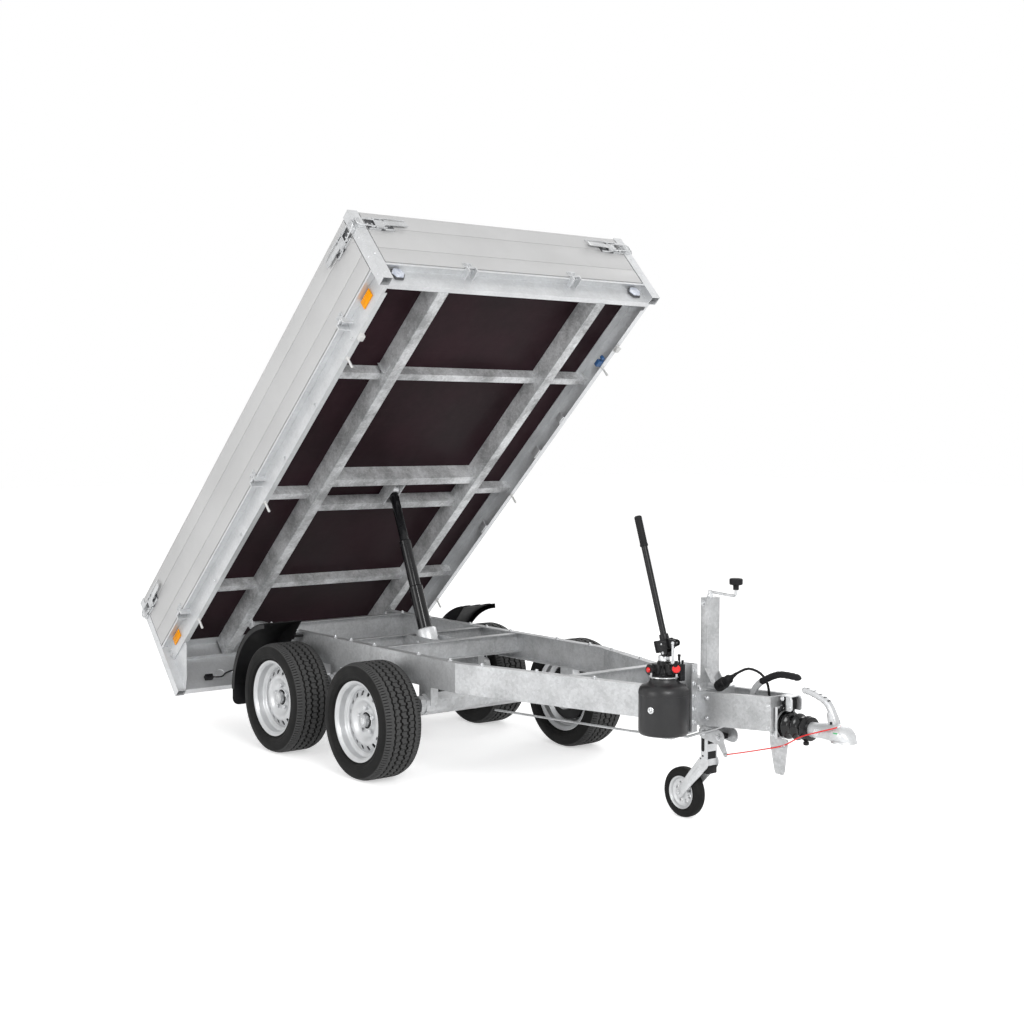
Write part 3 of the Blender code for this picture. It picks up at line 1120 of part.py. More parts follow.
def mast():
    half_x, half_y = MAST_SIZE_X / 2, MAST_SIZE_Y / 2
    low, high = (MAST_X - half_x, MAST_Y - half_y), (MAST_X + half_x, MAST_Y + half_y)
    tube_body = box("jockey_mast", GALVANISED, ROOT, (*low, MAST_BOTTOM), (*high, MAST_TOP))
    crank_x, arm_z = MAST_X + CRANK_REACH, MAST_TOP + 0.021
    grip_low, grip_top = MAST_TOP + CRANK_GRIP_LOW, MAST_TOP + CRANK_RISE
    foot_low = BEAM_TOP + SEAT
    gusset = [(MAST_X, foot_low + BITE), (BEAM_FRONT - 4 * BITE, foot_low + BITE), (MAST_X, MAST_GUSSET_TOP)]
    pieces = [
        rod("crank_spindle", GALVANISED, ROOT, (MAST_X, MAST_Y, MAST_TOP - BITE),
            (MAST_X, MAST_Y, arm_z + 4 * BITE), CRANK_SPINDLE, 12),
        tube("crank_arm", GALVANISED, ROOT,
             ((MAST_X, MAST_Y, arm_z), (crank_x - 0.012, MAST_Y, arm_z - 0.004),
              (crank_x, MAST_Y, arm_z + 0.008), (crank_x, MAST_Y, grip_low + 0.010)), CRANK_ROD),
        turned("crank_grip", BLACK_PLASTIC, ROOT, [
            (0, grip_top), (GRIP_RADIUS - 0.006, grip_top), (GRIP_RADIUS, grip_top - 0.008),
            (GRIP_RADIUS, grip_top - 0.018), (CRANK_ROD + 0.007, grip_low + 0.006),
            (CRANK_ROD + 0.006, grip_low - 0.018), (0, grip_low - 0.018)],
            (crank_x, MAST_Y, 0), (0, 0, 0), 16, closed=False),
        box("mast_foot", GALVANISED, ROOT, (MAST_X - MAST_FOOT_BACK, -MAST_FOOT_HALF, foot_low),
            (BEAM_FRONT, MAST_FOOT_HALF, foot_low + MAST_FOOT_THICK)),
        plate("mast_gusset", GALVANISED, ROOT, gusset, MAST_FOOT_THICK,
              (0, MAST_Y - half_y + MAST_FOOT_THICK / 2 + BITE, 0), UPRIGHT),
    ]
    for side_name, side in SIDES.items():
        y = MAST_Y + side * (BRACKET_INNER + BRACKET_PLATE / 2)
        pad = sorted((MAST_Y + side * (half_y - BITE), MAST_Y + side * (BRACKET_INNER + BITE)))
        pieces.append(box("mast_pad_" + side_name, GALVANISED, ROOT,
                          (low[0] + 2 * BITE, pad[0], MAST_BOTTOM - MAST_PAD_DROP),
                          (high[0] - 2 * BITE, pad[1], MAST_BOTTOM + MAST_PAD_RISE)))
        for index, (x0, z0, x1, z1, r0, r1, nearest) in enumerate(BRACKET_LOBES):
            if side > nearest:
                continue
            pieces.append(plate(f"mast_bracket_{side_name}_{index}", GALVANISED, ROOT,
                                capsule((x0, z0), (x1, z1), r0, r1), BRACKET_PLATE - index * BITE,
                                (0, y, 0), UPRIGHT))
    fuse(tube_body, *pieces)
    cut(tube_body, box("mast_bore", GALVANISED, ROOT,
                       (low[0] + MAST_WALL, low[1] + MAST_WALL, MAST_BOTTOM - MAST_SIZE_X),
                       (high[0] - MAST_WALL, high[1] - MAST_WALL, MAST_TOP - MAST_WALL)))


def jockey_leg():
    leg = box("jockey_leg", GALVANISED, ROOT, (MAST_X - LEG_SIZE_X / 2, MAST_Y - LEG_SIZE_Y / 2, LEG_BOTTOM),
              (MAST_X + LEG_SIZE_X / 2, MAST_Y + LEG_SIZE_Y / 2, LEG_TOP))
    arm_outline = capsule((JOCKEY_X, JOCKEY_RADIUS), ARM_HEAD, 0.018, 0.028)
    for side_name, side in SIDES.items():
        fuse(leg, plate("arm_" + side_name, GALVANISED, ROOT, arm_outline, ARM_PLATE,
                        (0, MAST_Y + side * (ARM_INNER + ARM_PLATE / 2), 0), UPRIGHT))
    reach = ARM_INNER + 2 * ARM_PLATE
    fuse(leg, rod("jockey_spindle", GALVANISED, ROOT, (JOCKEY_X, MAST_Y - reach, JOCKEY_RADIUS),
                  (JOCKEY_X, MAST_Y + reach, JOCKEY_RADIUS), JOCKEY_SPINDLE, 12))


def coupling():
    """The overrun housing and its hood, the bellows, and the head on its shank."""
    z = COUPLING_Z
    length = BELLOWS_FRONT - BELLOWS_REAR
    pitch = length / len(BELLOWS_RADII)
    profile = [(0, length)]
    for ring, radius in enumerate(BELLOWS_RADII):
        top = length - ring * pitch
        profile += [(BELLOWS_NECK, top), (radius, top - pitch * 0.25), (radius, top - pitch * 0.75)]
    profile += [(BELLOWS_NECK, 0), (0, 0)]
    turned("coupling_bellows", BLACK_PLASTIC, ROOT, profile, (BELLOWS_REAR, 0, z),
           (0, math.radians(90), 0), 16, closed=False)
    rear = DRAWBAR_FRONT + 2 * BITE
    housing = box("coupling_housing", GALVANISED, ROOT, (rear, -HOUSING_HALF, z - HOUSING_HALF),
                  (BELLOWS_REAR - SEAT, HOUSING_HALF, z + HOUSING_RISE))
    hood_low = z + max(BELLOWS_RADII) + 2 * BITE
    hood = box("housing_hood", GALVANISED, ROOT, (rear + BITE, -HOOD_HALF, hood_low),
               (HOOD_FRONT, HOOD_HALF, HOOD_TOP))
    hollow = box("hood_hollow", GALVANISED, ROOT,
                 (BELLOWS_REAR, -HOOD_HALF + BEAM_WALL, hood_low - BEAM_WALL),
                 (HOOD_FRONT + BEAM_WALL, HOOD_HALF - BEAM_WALL, HOOD_TOP - BEAM_WALL))
    cut(fuse(housing, hood), hollow)
    cup_x = HEAD_TIP - CUP_RADIUS
    head = rod("coupling_head", GALVANISED, ROOT, (BELLOWS_FRONT + SEAT, 0, z),
               (cup_x - CUP_RADIUS / 2, 0, z), SHANK_RADIUS, 16)
    cup = turned("head_cup", GALVANISED, ROOT, [
        (0, CUP_HIGH), (CUP_TOP_RADIUS, CUP_HIGH), (CUP_RADIUS - 6 * BITE, CUP_HIGH - 0.022),
        (CUP_RADIUS, -CUP_LOW + 6 * BITE), (CUP_RADIUS, -CUP_LOW), (0, -CUP_LOW)],
        (cup_x, 0, z), (0, 0, 0), 16, closed=False)
    neck = box("head_neck", GALVANISED, ROOT,
               (cup_x - 2 * CUP_RADIUS, -SHANK_RADIUS - 2 * BITE, z - CUP_LOW + BITE),
               (cup_x, SHANK_RADIUS + 2 * BITE, z + SHANK_RADIUS + 3 * BITE))
    lever = tube("head_lever", GALVANISED, ROOT, HEAD_LEVER_ROUTE, HEAD_LEVER_ROD)
    fuse(head, cup, neck, lever)


def drawbar_gear():
    """The handbrake, brake rod, stand plate, plug and cables."""
    lever = tube("handbrake_lever", BLACK_STEEL, ROOT, HANDBRAKE_ROUTE, HANDBRAKE_ROD)
    pivot_x, pivot_z = HANDBRAKE_PIVOT
    inside = BEAM_FRONT_HALF - (pivot_x - BEAM_FRONT) * (BEAM_FRONT_HALF - DRAWBAR_FRONT_HALF) / (
        DRAWBAR_FRONT - BEAM_FRONT) - 1.5 * BEAM_WALL - SEAT
    fuse(lever, rod("handbrake_pivot", BLACK_STEEL, ROOT, (pivot_x, -inside, pivot_z),
                    (pivot_x, inside, pivot_z), HANDBRAKE_PIN, 12))
    tube("brake_rod", GALVANISED, ROOT, BRAKE_ROD_ROUTE, BRAKE_ROD_RADIUS)
    slope = DRAWBAR_RISE / (DRAWBAR_FRONT - BEAM_FRONT)
    under_floor = BEAM_BOTTOM + (STAND_X[0] - BEAM_FRONT) * slope - 2 * SEAT
    under_housing = COUPLING_Z - HOUSING_HALF - SEAT
    corner = DRAWBAR_FRONT - 2 * BITE
    round_off = STAND_THICK
    outline = [(STAND_X[0], under_floor), (STAND_X[0] + BITE, under_housing - 3 * round_off),
               (STAND_FOOT[0], STAND_LOW + 2 * round_off), (STAND_FOOT[0] + round_off, STAND_LOW),
               (STAND_FOOT[1] - round_off, STAND_LOW), (STAND_FOOT[1], STAND_LOW + 2 * round_off),
               (STAND_X[1], under_housing - round_off), (STAND_X[1] - round_off, under_housing),
               (corner + BITE, under_housing), (corner, under_floor)]
    plate("stand_plate", GALVANISED, ROOT, outline, STAND_THICK, (0, STAND_Y, 0), UPRIGHT,
          holes=[circle(STAND_EYE_RADIUS, 8, STAND_EYE)])
    y = PLUG_Y
    holder = rod("plug_holder", BLACK_PLASTIC, ROOT, (HOLDER_START[0], y, HOLDER_START[1]),
                 (HOLDER_END[0], y, HOLDER_END[1]), HOLDER_RADIUS, 16)
    foot_top = BEAM_TOP + SEAT + MAST_FOOT_THICK
    fuse(holder, box("plug_bracket", BLACK_PLASTIC, ROOT,
                     (BEAM_FRONT - 0.025, y - PLUG_BRACKET_HALF, foot_top + SEAT),
                     (HOLDER_START[0] + 0.016, y + PLUG_BRACKET_HALF, foot_top + 0.020)))
    axis = (Vector(PLUG_END) - Vector(HOLDER_END)).normalized() * SEAT
    rod("plug", BLACK_PLASTIC, ROOT, (HOLDER_END[0] + axis.x, y, HOLDER_END[1] + axis.y),
        (PLUG_END[0], y, PLUG_END[1]), PLUG_RADIUS, 16)
    tube("trailer_cable", BLACK_PLASTIC, ROOT, smooth_route(CABLE_KNOTS), CABLE_RADIUS, 2)
    tube("breakaway_cable", RED_CABLE, ROOT, smooth_route(BREAKAWAY_KNOTS, 4), BREAKAWAY_RADIUS, 2)


def lamps():
    half_v = BED_WIDTH / 2
    web_u = BED_LENGTH - FRAME_INSET
    tail_u = APRON_U - APRON_WALL - SEAT
    for side_name, side in SIDES.items():
        v = side * (half_v - FRONT_LAMP_IN)
        rod("front_lamp_" + side_name, LAMP_WHITE, BED, (web_u + SEAT, v, FRONT_LAMP_W),
            (web_u + FRONT_LAMP_DEPTH, v, FRONT_LAMP_W), FRONT_LAMP_RADIUS, 6, FRONT_LAMP_RADIUS * 0.75)
        outer = half_v - POST_V - TAIL_LAMP_IN
        low_v, high_v = sorted((side * (outer - TAIL_LAMP_WIDTH), side * outer))
        box("tail_lamp_" + side_name, LAMP_WHITE, BED, (tail_u - TAIL_LAMP_DEPTH, low_v, TAIL_LAMP_W[0]),
            (tail_u, high_v, TAIL_LAMP_W[1]), 0.006)


def main():
    chassis_beams()
    chassis_crosses()
    drawbar()
    road_wheels()
    axles()
    mudguards()
    bed_frames()
    bed_floor()
    boards()
    bed_underframe()
    cylinder()
    pump()
    jockey()
    coupling()
    drawbar_gear()
    lamps()


main()
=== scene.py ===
"""Finishes and fine pieces for a tandem-axle tipping trailer with its bed raised.

Metres, +X towards the coupling, +Y to the left, +Z up. Places on the chassis are given from
the middle between the axles, and places on the bed in the bed's own frame: u forward from
its rear end, v to the left, w up from its frame's lower edge.
"""
import json
import math
from math import cos, pi, radians, sin

import bmesh
import bpy
from mathutils import Matrix, Vector


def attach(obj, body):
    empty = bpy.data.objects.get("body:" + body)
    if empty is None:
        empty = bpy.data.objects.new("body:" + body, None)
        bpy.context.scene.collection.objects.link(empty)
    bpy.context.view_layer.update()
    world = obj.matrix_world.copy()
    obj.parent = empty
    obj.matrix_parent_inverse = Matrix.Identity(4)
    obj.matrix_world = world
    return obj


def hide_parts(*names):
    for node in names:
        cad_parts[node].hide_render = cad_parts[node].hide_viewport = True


bl_info = {
    "name": "Tipping trailer dressing",
    "version": (1, 0, 0),
    "blender": (4, 5, 0),
    "location": "View3D > Sidebar > Trailer",
    "description": "Finishes and fine pieces for a tandem-axle tipping trailer",
    "category": "Object",
}

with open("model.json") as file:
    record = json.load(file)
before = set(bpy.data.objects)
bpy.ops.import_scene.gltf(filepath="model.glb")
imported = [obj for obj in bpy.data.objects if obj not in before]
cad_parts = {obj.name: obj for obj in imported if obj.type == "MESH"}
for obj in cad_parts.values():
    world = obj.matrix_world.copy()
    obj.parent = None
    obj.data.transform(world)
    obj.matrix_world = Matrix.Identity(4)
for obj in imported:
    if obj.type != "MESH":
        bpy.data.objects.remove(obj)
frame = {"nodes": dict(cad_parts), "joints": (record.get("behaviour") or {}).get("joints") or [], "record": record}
JOINTS = {joint["name"]: joint for joint in frame["joints"]}
WHEELS = ("front_right", "front_left", "rear_right", "rear_left")
SIDES = {"right": -1, "left": 1}

# Camera, in pixels of a square picture and in metres from the middle between the axles
PICTURE = 1024
FOCAL_PIXELS = 1556.87
CENTRE_PIXEL = (541.47, 487.36)
CAMERA_PLACE = (6.184, -4.401, 1.591)
CAMERA_YAW = 140.583
CAMERA_PITCH = -2.372
CAMERA_ROLL = 0.312

# Bed frame
HINGE_U = 0.354
HINGE_W = 0.009
BED_LENGTH = 2.783
BED_HALF = 0.7915
FRAME_INSET = 0.036
POST_U = 0.046
POST_V = 0.05
BOARD_THICK = 0.025
BOARD_LOW = 0.1375
BOARD_TOP = 0.446
BOARD_GAP = 0.005
SEAMS = (0.225, 0.354)
BOARD_HINGE_OUT = 0.014
BOARD_HINGE_W = 0.127


def wheel_centre(place):
    return Vector(JOINTS["wheel_spin_" + place]["pos_m"])


SHIFT = sum(wheel_centre(place).x for place in WHEELS) / len(WHEELS)
CHASSIS = Matrix.Translation((SHIFT, 0, 0))


def at(x, y, z):
    """A place on the chassis in the row's frame."""
    return Vector((x + SHIFT, y, z))


moved = Matrix.Translation


def turned(degrees, axis):
    return Matrix.Rotation(radians(degrees), 4, axis)


def bed_matrix():
    """The bed's own frame, from the place and range of its hinge."""
    hinge = JOINTS["bed_tip"]
    return moved(hinge["pos_m"]) @ turned(-hinge["range_deg"][1], "Y") @ moved((-HINGE_U, 0, -HINGE_W))


BED = bed_matrix()
UPRIGHT = turned(90, "X")


def axes_matrix(place, along, up):
    """A frame at a place with its X along one direction and its Z as near to up as can be."""
    along = Vector(along).normalized()
    across = Vector(up).cross(along).normalized()
    turn = Matrix((along, across, along.cross(across))).transposed().to_4x4()
    return moved(place) @ turn


class Nodes:
    """A node tree with short ways to add and join its nodes."""

    def __init__(self, tree):
        self.tree = tree

    def add(self, kind, settings=None, **inputs):
        """A node of this kind, which is a shader's own unless it names its family."""
        family = "" if "Node" in kind else "ShaderNode"
        node = self.tree.nodes.new(family + kind)
        for key, value in (settings or {}).items():
            setattr(node, key, value)
        for key, value in inputs.items():
            self.feed(node.inputs[key.replace("_", " ")], value)
        return node

    def feed(self, socket, value):
        if isinstance(value, bpy.types.NodeSocket):
            self.tree.links.new(value, socket)
        else:
            socket.default_value = value

    def mix(self, factor, first, second, blend="MIX"):
        node = self.add("Mix", {"data_type": "RGBA", "blend_type": blend})
        for index, value in ((0, factor), (6, first), (7, second)):
            self.feed(node.inputs[index], value)
        return node.outputs[2]

    def sum(self, operation, first, second):
        node = self.add("Math", {"operation": operation})
        self.feed(node.inputs[0], first)
        self.feed(node.inputs[1], second)
        return node.outputs[0]

    def span(self, value, low, high, to_low=0.0, to_high=1.0):
        node = self.add("MapRange", Value=value)
        for index, number in ((1, low), (2, high), (3, to_low), (4, to_high)):
            self.feed(node.inputs[index], number)
        return node.outputs[0]


def effect(name, inputs, outputs):
    """An empty shader group with these sockets, and its inside."""
    tree = bpy.data.node_groups.new(name, "ShaderNodeTree")
    for title, kind, default in inputs:
        socket = tree.interface.new_socket(title, in_out="INPUT", socket_type="NodeSocket" + kind)
        if default is not None:
            socket.default_value = default
    for title, kind in outputs:
        tree.interface.new_socket(title, in_out="OUTPUT", socket_type="NodeSocket" + kind)
    nodes = Nodes(tree)
    return nodes, nodes.add("NodeGroupInput").outputs, nodes.add("NodeGroupOutput").inputs


def spangle_effect():
    """The frosted crystals of a zinc coat, with darker clouds, runs and a faint relief."""
    nodes, given, out = effect(
        "zinc_spangle",
        (("Vector", "Vector", None), ("Bright", "Color", (0.6, 0.6, 0.6, 1)), ("Dark", "Color", (0.3, 0.3, 0.3, 1)),
         ("Crystal Size", "Float", 0.012), ("Crystal Share", "Float", 0.3), ("Patchiness", "Float", 0.5)),
        (("Color", "Color"), ("Roughness", "Float"), ("Height", "Float")))
    scale = nodes.sum("DIVIDE", 1.0, given["Crystal Size"])
    warp = nodes.add("TexNoise", Vector=given["Vector"], Scale=scale, Detail=2.0)
    bent = nodes.add("VectorMath", {"operation": "MULTIPLY_ADD"})
    nodes.feed(bent.inputs[0], warp.outputs["Color"])
    nodes.feed(bent.inputs[1], (0.008, 0.008, 0.008))
    nodes.feed(bent.inputs[2], given["Vector"])
    cells = nodes.add("TexVoronoi", Vector=bent.outputs[0], Scale=scale, Randomness=1.0)
    crystal = nodes.add("SeparateColor", Color=cells.outputs["Color"]).outputs["Red"]
    cloud = nodes.add("TexNoise", Vector=given["Vector"], Scale=7.0, Detail=6.0, Roughness=0.66)
    patch = nodes.span(cloud.outputs["Fac"], 0.36, 0.66)
    grain = nodes.add("TexNoise", Vector=given["Vector"], Scale=240.0, Detail=3.0)
    share = nodes.sum("ADD", nodes.sum("MULTIPLY", crystal, given["Crystal Share"]),
                      nodes.sum("MULTIPLY", patch, given["Patchiness"]))
    share = nodes.sum("ADD", share, nodes.span(grain.outputs["Fac"], 0.3, 0.7, -0.08, 0.08))
    nodes.feed(out["Color"], nodes.mix(share, given["Bright"], given["Dark"]))
    nodes.feed(out["Roughness"], nodes.span(share, 0.0, 1.0, 0.34, 0.55))
    nodes.feed(out["Height"], nodes.sum("ADD", nodes.sum("MULTIPLY", crystal, 0.4), grain.outputs["Fac"]))
    return nodes.tree


def mottle_effect():
    """Cloudy change between two colours, with fine grain for relief."""
    nodes, given, out = effect(
        "mottle",
        (("Vector", "Vector", None), ("First", "Color", (0.5, 0.5, 0.5, 1)), ("Second", "Color", (0.4, 0.4, 0.4, 1)),
         ("Cloud Scale", "Float", 14.0), ("Grain Scale", "Float", 300.0), ("Smooth", "Float", 0.4),
         ("Rough", "Float", 0.55)),
        (("Color", "Color"), ("Roughness", "Float"), ("Height", "Float")))
    cloud = nodes.add("TexNoise", Vector=given["Vector"], Scale=given["Cloud Scale"], Detail=6.0)
    grain = nodes.add("TexNoise", Vector=given["Vector"], Scale=given["Grain Scale"], Detail=3.0)
    share = nodes.sum("ADD", nodes.span(cloud.outputs["Fac"], 0.35, 0.65),
                      nodes.span(grain.outputs["Fac"], 0.3, 0.7, -0.15, 0.15))
    nodes.feed(out["Color"], nodes.mix(share, given["First"], given["Second"]))
    rough = nodes.add("MapRange", Value=share)
    nodes.feed(rough.inputs[3], given["Smooth"])
    nodes.feed(rough.inputs[4], given["Rough"])
    nodes.feed(out["Roughness"], rough.outputs[0])
    nodes.feed(out["Height"], grain.outputs["Fac"])
    return nodes.tree


def dust_effect():
    """Road dust that lies on faces turned upwards and fades with a cloudy edge."""
    nodes, given, out = effect(
        "road_dust",
        (("Vector", "Vector", None), ("Color", "Color", (0.5, 0.5, 0.5, 1)), ("Dust", "Color", (0.42, 0.39, 0.34, 1)),
         ("Amount", "Float", 0.2)),
        (("Color", "Color"), ("Mask", "Float")))
    facing = nodes.add("NewGeometry").outputs["Normal"]
    upward = nodes.span(nodes.add("SeparateXYZ", Vector=facing).outputs["Z"], -0.2, 0.9)
    cloud = nodes.add("TexNoise", Vector=given["Vector"], Scale=22.0, Detail=6.0, Roughness=0.7)
    mask = nodes.sum("MULTIPLY", nodes.sum("ADD", upward, 0.25), nodes.span(cloud.outputs["Fac"], 0.42, 0.7))
    mask = nodes.sum("MULTIPLY", mask, given["Amount"])
    nodes.feed(out["Color"], nodes.mix(mask, given["Color"], given["Dust"]))
    nodes.feed(out["Mask"], mask)
    return nodes.tree


def scuff_effect():
    """Fine scratches in crossing directions, as handling leaves on metal and paint."""
    nodes, given, out = effect(
        "fine_scratches",
        (("Vector", "Vector", None), ("Color", "Color", (0.5, 0.5, 0.5, 1)), ("Scratch", "Color", (0.7, 0.7, 0.7, 1)),
         ("Amount", "Float", 0.2)),
        (("Color", "Color"), ("Mask", "Float")))
    masks = []
    for turn, stretch in ((0.35, (190.0, 5.0, 190.0)), (1.9, (6.0, 170.0, 150.0))):
        mapping = nodes.add("Mapping", Vector=given["Vector"], Rotation=(0.2, turn, turn), Scale=stretch)
        lines = nodes.add("TexNoise", Vector=mapping.outputs[0], Scale=1.0, Detail=2.0)
        masks.append(nodes.span(lines.outputs["Fac"], 0.66, 0.72))
    mask = nodes.sum("MULTIPLY", nodes.sum("MAXIMUM", *masks), given["Amount"])
    nodes.feed(out["Color"], nodes.mix(mask, given["Color"], given["Scratch"]))
    nodes.feed(out["Mask"], mask)
    return nodes.tree


EFFECTS = {}
FINISHES = {}


def begin_finish(name, metallic):
    """A new material, its nodes, its shader and the place coordinates."""
    made = FINISHES[name] = bpy.data.materials.new("finish_" + name)
    made.use_nodes = True
    nodes = Nodes(made.node_tree)
    shader = made.node_tree.nodes["Principled BSDF"]
    shader.inputs["Metallic"].default_value = metallic
    return made, nodes, shader, nodes.add("TexCoord").outputs["Object"]


def with_effect(nodes, name, **inputs):
    node = nodes.add("Group", {"node_tree": EFFECTS[name]})
    for key, value in inputs.items():
        nodes.feed(node.inputs[key.replace("_", " ")], value)
    return node.outputs


def relief(nodes, shader, height, strength, depth):
    bump = nodes.add("Bump", Height=height, Strength=strength, Distance=depth)
    nodes.feed(shader.inputs["Normal"], bump.outputs[0])


def zinc_finish(name, bright, dark, crystal, crystals, patchiness, metallic=0.55, bump=0.22, dust=0.08):
    nodes, shader, place = begin_finish(name, metallic)[1:]
    zinc = with_effect(nodes, "zinc_spangle", Vector=place, Bright=(*bright, 1), Dark=(*dark, 1),
                       Crystal_Size=crystal, Crystal_Share=crystals, Patchiness=patchiness)
    worn = with_effect(nodes, "fine_scratches", Vector=place, Color=zinc["Color"], Scratch=(*bright, 1), Amount=0.35)
    dusty = with_effect(nodes, "road_dust", Vector=place, Color=worn["Color"], Amount=dust)
    nodes.feed(shader.inputs["Base Color"], dusty["Color"])
    nodes.feed(shader.inputs["Roughness"], nodes.sum("ADD", zinc["Roughness"],
                                                     nodes.sum("MULTIPLY", dusty["Mask"], 0.3)))
    relief(nodes, shader, zinc["Height"], bump, 0.0004)


def plain_finish(name, first, second, smooth, rough, metallic=0.0, cloud=14.0, grain=300.0, bump=0.2, dust=0.1,
                 depth=0.0003, coat=0.0, scratch=0.0, tint=(0.6, 0.6, 0.6), specular=0.5):
    made, nodes, shader, place = begin_finish(name, metallic)
    base = with_effect(nodes, "mottle", Vector=place, First=(*first, 1), Second=(*second, 1), Cloud_Scale=cloud,
                       Grain_Scale=grain, Smooth=smooth, Rough=rough)
    colour = base["Color"]
    if scratch:
        colour = with_effect(nodes, "fine_scratches", Vector=place, Color=colour, Scratch=(*tint, 1),
                             Amount=scratch)["Color"]
    dusty = with_effect(nodes, "road_dust", Vector=place, Color=colour, Amount=dust)
    nodes.feed(shader.inputs["Base Color"], dusty["Color"])
    nodes.feed(shader.inputs["Roughness"], nodes.sum("ADD", base["Roughness"],
                                                     nodes.sum("MULTIPLY", dusty["Mask"], 0.4)))
    shader.inputs["Coat Weight"].default_value = coat
    shader.inputs["Specular IOR Level"].default_value = specular
    relief(nodes, shader, base["Height"], bump, depth)
    return made


def tread_finish(name, rubber):
    """Black rubber whose tread is greyer where the road has worn it."""
    made = plain_finish(name, rubber, scaled(rubber, 1.9), 0.55, 0.75, cloud=9.0, dust=0.03, specular=0.14)
    nodes = Nodes(made.node_tree)
    colour = made.node_tree.nodes["Principled BSDF"].inputs["Base Color"]
    wear = nodes.add("Attribute", {"attribute_name": "wear"}).outputs["Fac"]
    fresh = colour.links[0].from_socket
    nodes.feed(colour, nodes.mix(nodes.sum("MULTIPLY", wear, 0.8), fresh, (*scaled(rubber, 13.0), 1)))
    return made


def scaled(colour, share):
    return tuple(channel * share for channel in colour)


def shades(name, colour, first, second, *values, **settings):
    """A finish that clouds between two shades of one colour."""
    return plain_finish(name, scaled(colour, first), scaled(colour, second), *values, **settings)


def make_finishes(colours):
    for name, make in (("zinc_spangle", spangle_effect), ("mottle", mottle_effect), ("road_dust", dust_effect),
                       ("fine_scratches", scuff_effect)):
        EFFECTS[name] = make()
    zinc, plank, wheel = tuple(colours.zinc), tuple(colours.planks), tuple(colours.wheels)
    ply, rubber, black = tuple(colours.plywood), tuple(colours.rubber), tuple(colours.black_paint)
    red, amber = tuple(colours.red), tuple(colours.amber)
    zinc_finish("galvanised_steel", zinc, scaled(zinc, 0.55), 0.011, 0.3, 0.6)
    zinc_finish("pale_zinc", scaled(zinc, 1.18), scaled(zinc, 0.84), 0.01, 0.2, 0.4)
    zinc_finish("cloudy_zinc", scaled(zinc, 1.3), scaled(zinc, 0.54), 0.009, 0.3, 0.9, 0.3)
    zinc_finish("cast_zinc", scaled(zinc, 1.12), scaled(zinc, 0.66), 0.006, 0.2, 0.5, 0.6, 0.35)
    shades("bright_zinc", zinc, 1.2, 0.85, 0.24, 0.36, 0.8, 40.0)
    shades("aluminium", plank, 1, 0.93, 0.36, 0.46, 0.25, 2.5, 480.0, 0.08, 0.04, scratch=0.1, tint=scaled(plank, 1.15))
    shades("film_faced_plywood", ply, 1, 1.7, 0.34, 0.46, cloud=3.0, grain=420.0, bump=0.12, dust=0.03, scratch=0.12,
           tint=(0.06, 0.035, 0.04), specular=0.07)
    tread_finish("tyre_rubber", rubber)
    shades("silver_wheel", wheel, 1, 0.86, 0.28, 0.42, 0.5, scratch=0.1, tint=scaled(wheel, 1.3))
    shades("chromed_steel", black, 1, 1.5, 0.07, 0.12, 0.0, dust=0.0, bump=0.03, specular=0.3)
    shades("black_steel", black, 1, 1.8, 0.26, 0.4, 0.0, scratch=0.06, dust=0.02, specular=0.22)
    shades("tank_steel", black, 1.3, 2.0, 0.3, 0.42, 0.0, 10.0, dust=0.03, specular=0.45)
    shades("black_plastic", black, 0.8, 1.4, 0.38, 0.52, dust=0.03, specular=0.2)
    shades("grip_rubber", black, 1.1, 1.7, 0.45, 0.6, grain=700.0, dust=0.02, specular=0.2)
    shades("bellows_rubber", black, 0.5, 0.8, 0.14, 0.24, bump=0.06, dust=0.0, specular=0.4)
    plain_finish("lamp_base", (0.05, 0.052, 0.058), (0.09, 0.093, 0.1), 0.35, 0.5)
    plain_finish("clear_lamp", (0.72, 0.75, 0.8), (0.58, 0.62, 0.68), 0.08, 0.14, coat=0.5)
    plain_finish("lamp_lens", (0.74, 0.77, 0.84), (0.46, 0.5, 0.6), 0.08, 0.14, cloud=60.0, coat=0.5)
    plain_finish("red_lamp", (0.42, 0.008, 0.008), (0.3, 0.005, 0.006), 0.1, 0.18, cloud=50.0, coat=0.5)
    shades("amber_lamp", amber, 0.8, 0.6, 0.1, 0.18, cloud=50.0, coat=0.5)
    shades("amber_reflector", amber, 1, 0.92, 0.18, 0.28, cloud=90.0, grain=500.0, dust=0.0, specular=0.15)
    shades("red_cable", red, 1, 0.85, 0.3, 0.4, dust=0.02)
    shades("red_knob", red, 1, 0.85, 0.28, 0.38, dust=0.02, coat=0.2)
    plain_finish("blue_clip", (0.03, 0.12, 0.3), (0.02, 0.08, 0.22), 0.3, 0.4)
    plain_finish("green_mark", (0.05, 0.52, 0.18), (0.04, 0.42, 0.15), 0.3, 0.4)
    plain_finish("pale_rope_hook", (0.74, 0.74, 0.73), (0.62, 0.62, 0.61), 0.3, 0.42, 0.2)


NODE_FINISHES = {
    "pale_zinc": ("bed_side_frame_left", "bed_side_frame_right", "bed_front_frame", "bed_rear_frame"),
    "cloudy_zinc": ("bed_beam_left", "bed_beam_right", "bed_cross_front", "bed_cross_rear", "cylinder_carrier"),
}


def finish_nodes():
    """Every node takes the full finish of its slot, and the bed's frame its own shades of zinc."""
    slots = {entry["node"]: entry["material_slot"] for entry in frame["record"]["subparts"]}
    for finish, names in NODE_FINISHES.items():
        slots.update({name: finish for name in names})
    for name, node in frame["nodes"].items():
        node.data.materials.clear()
        node.data.materials.append(FINISHES[slots[name]])


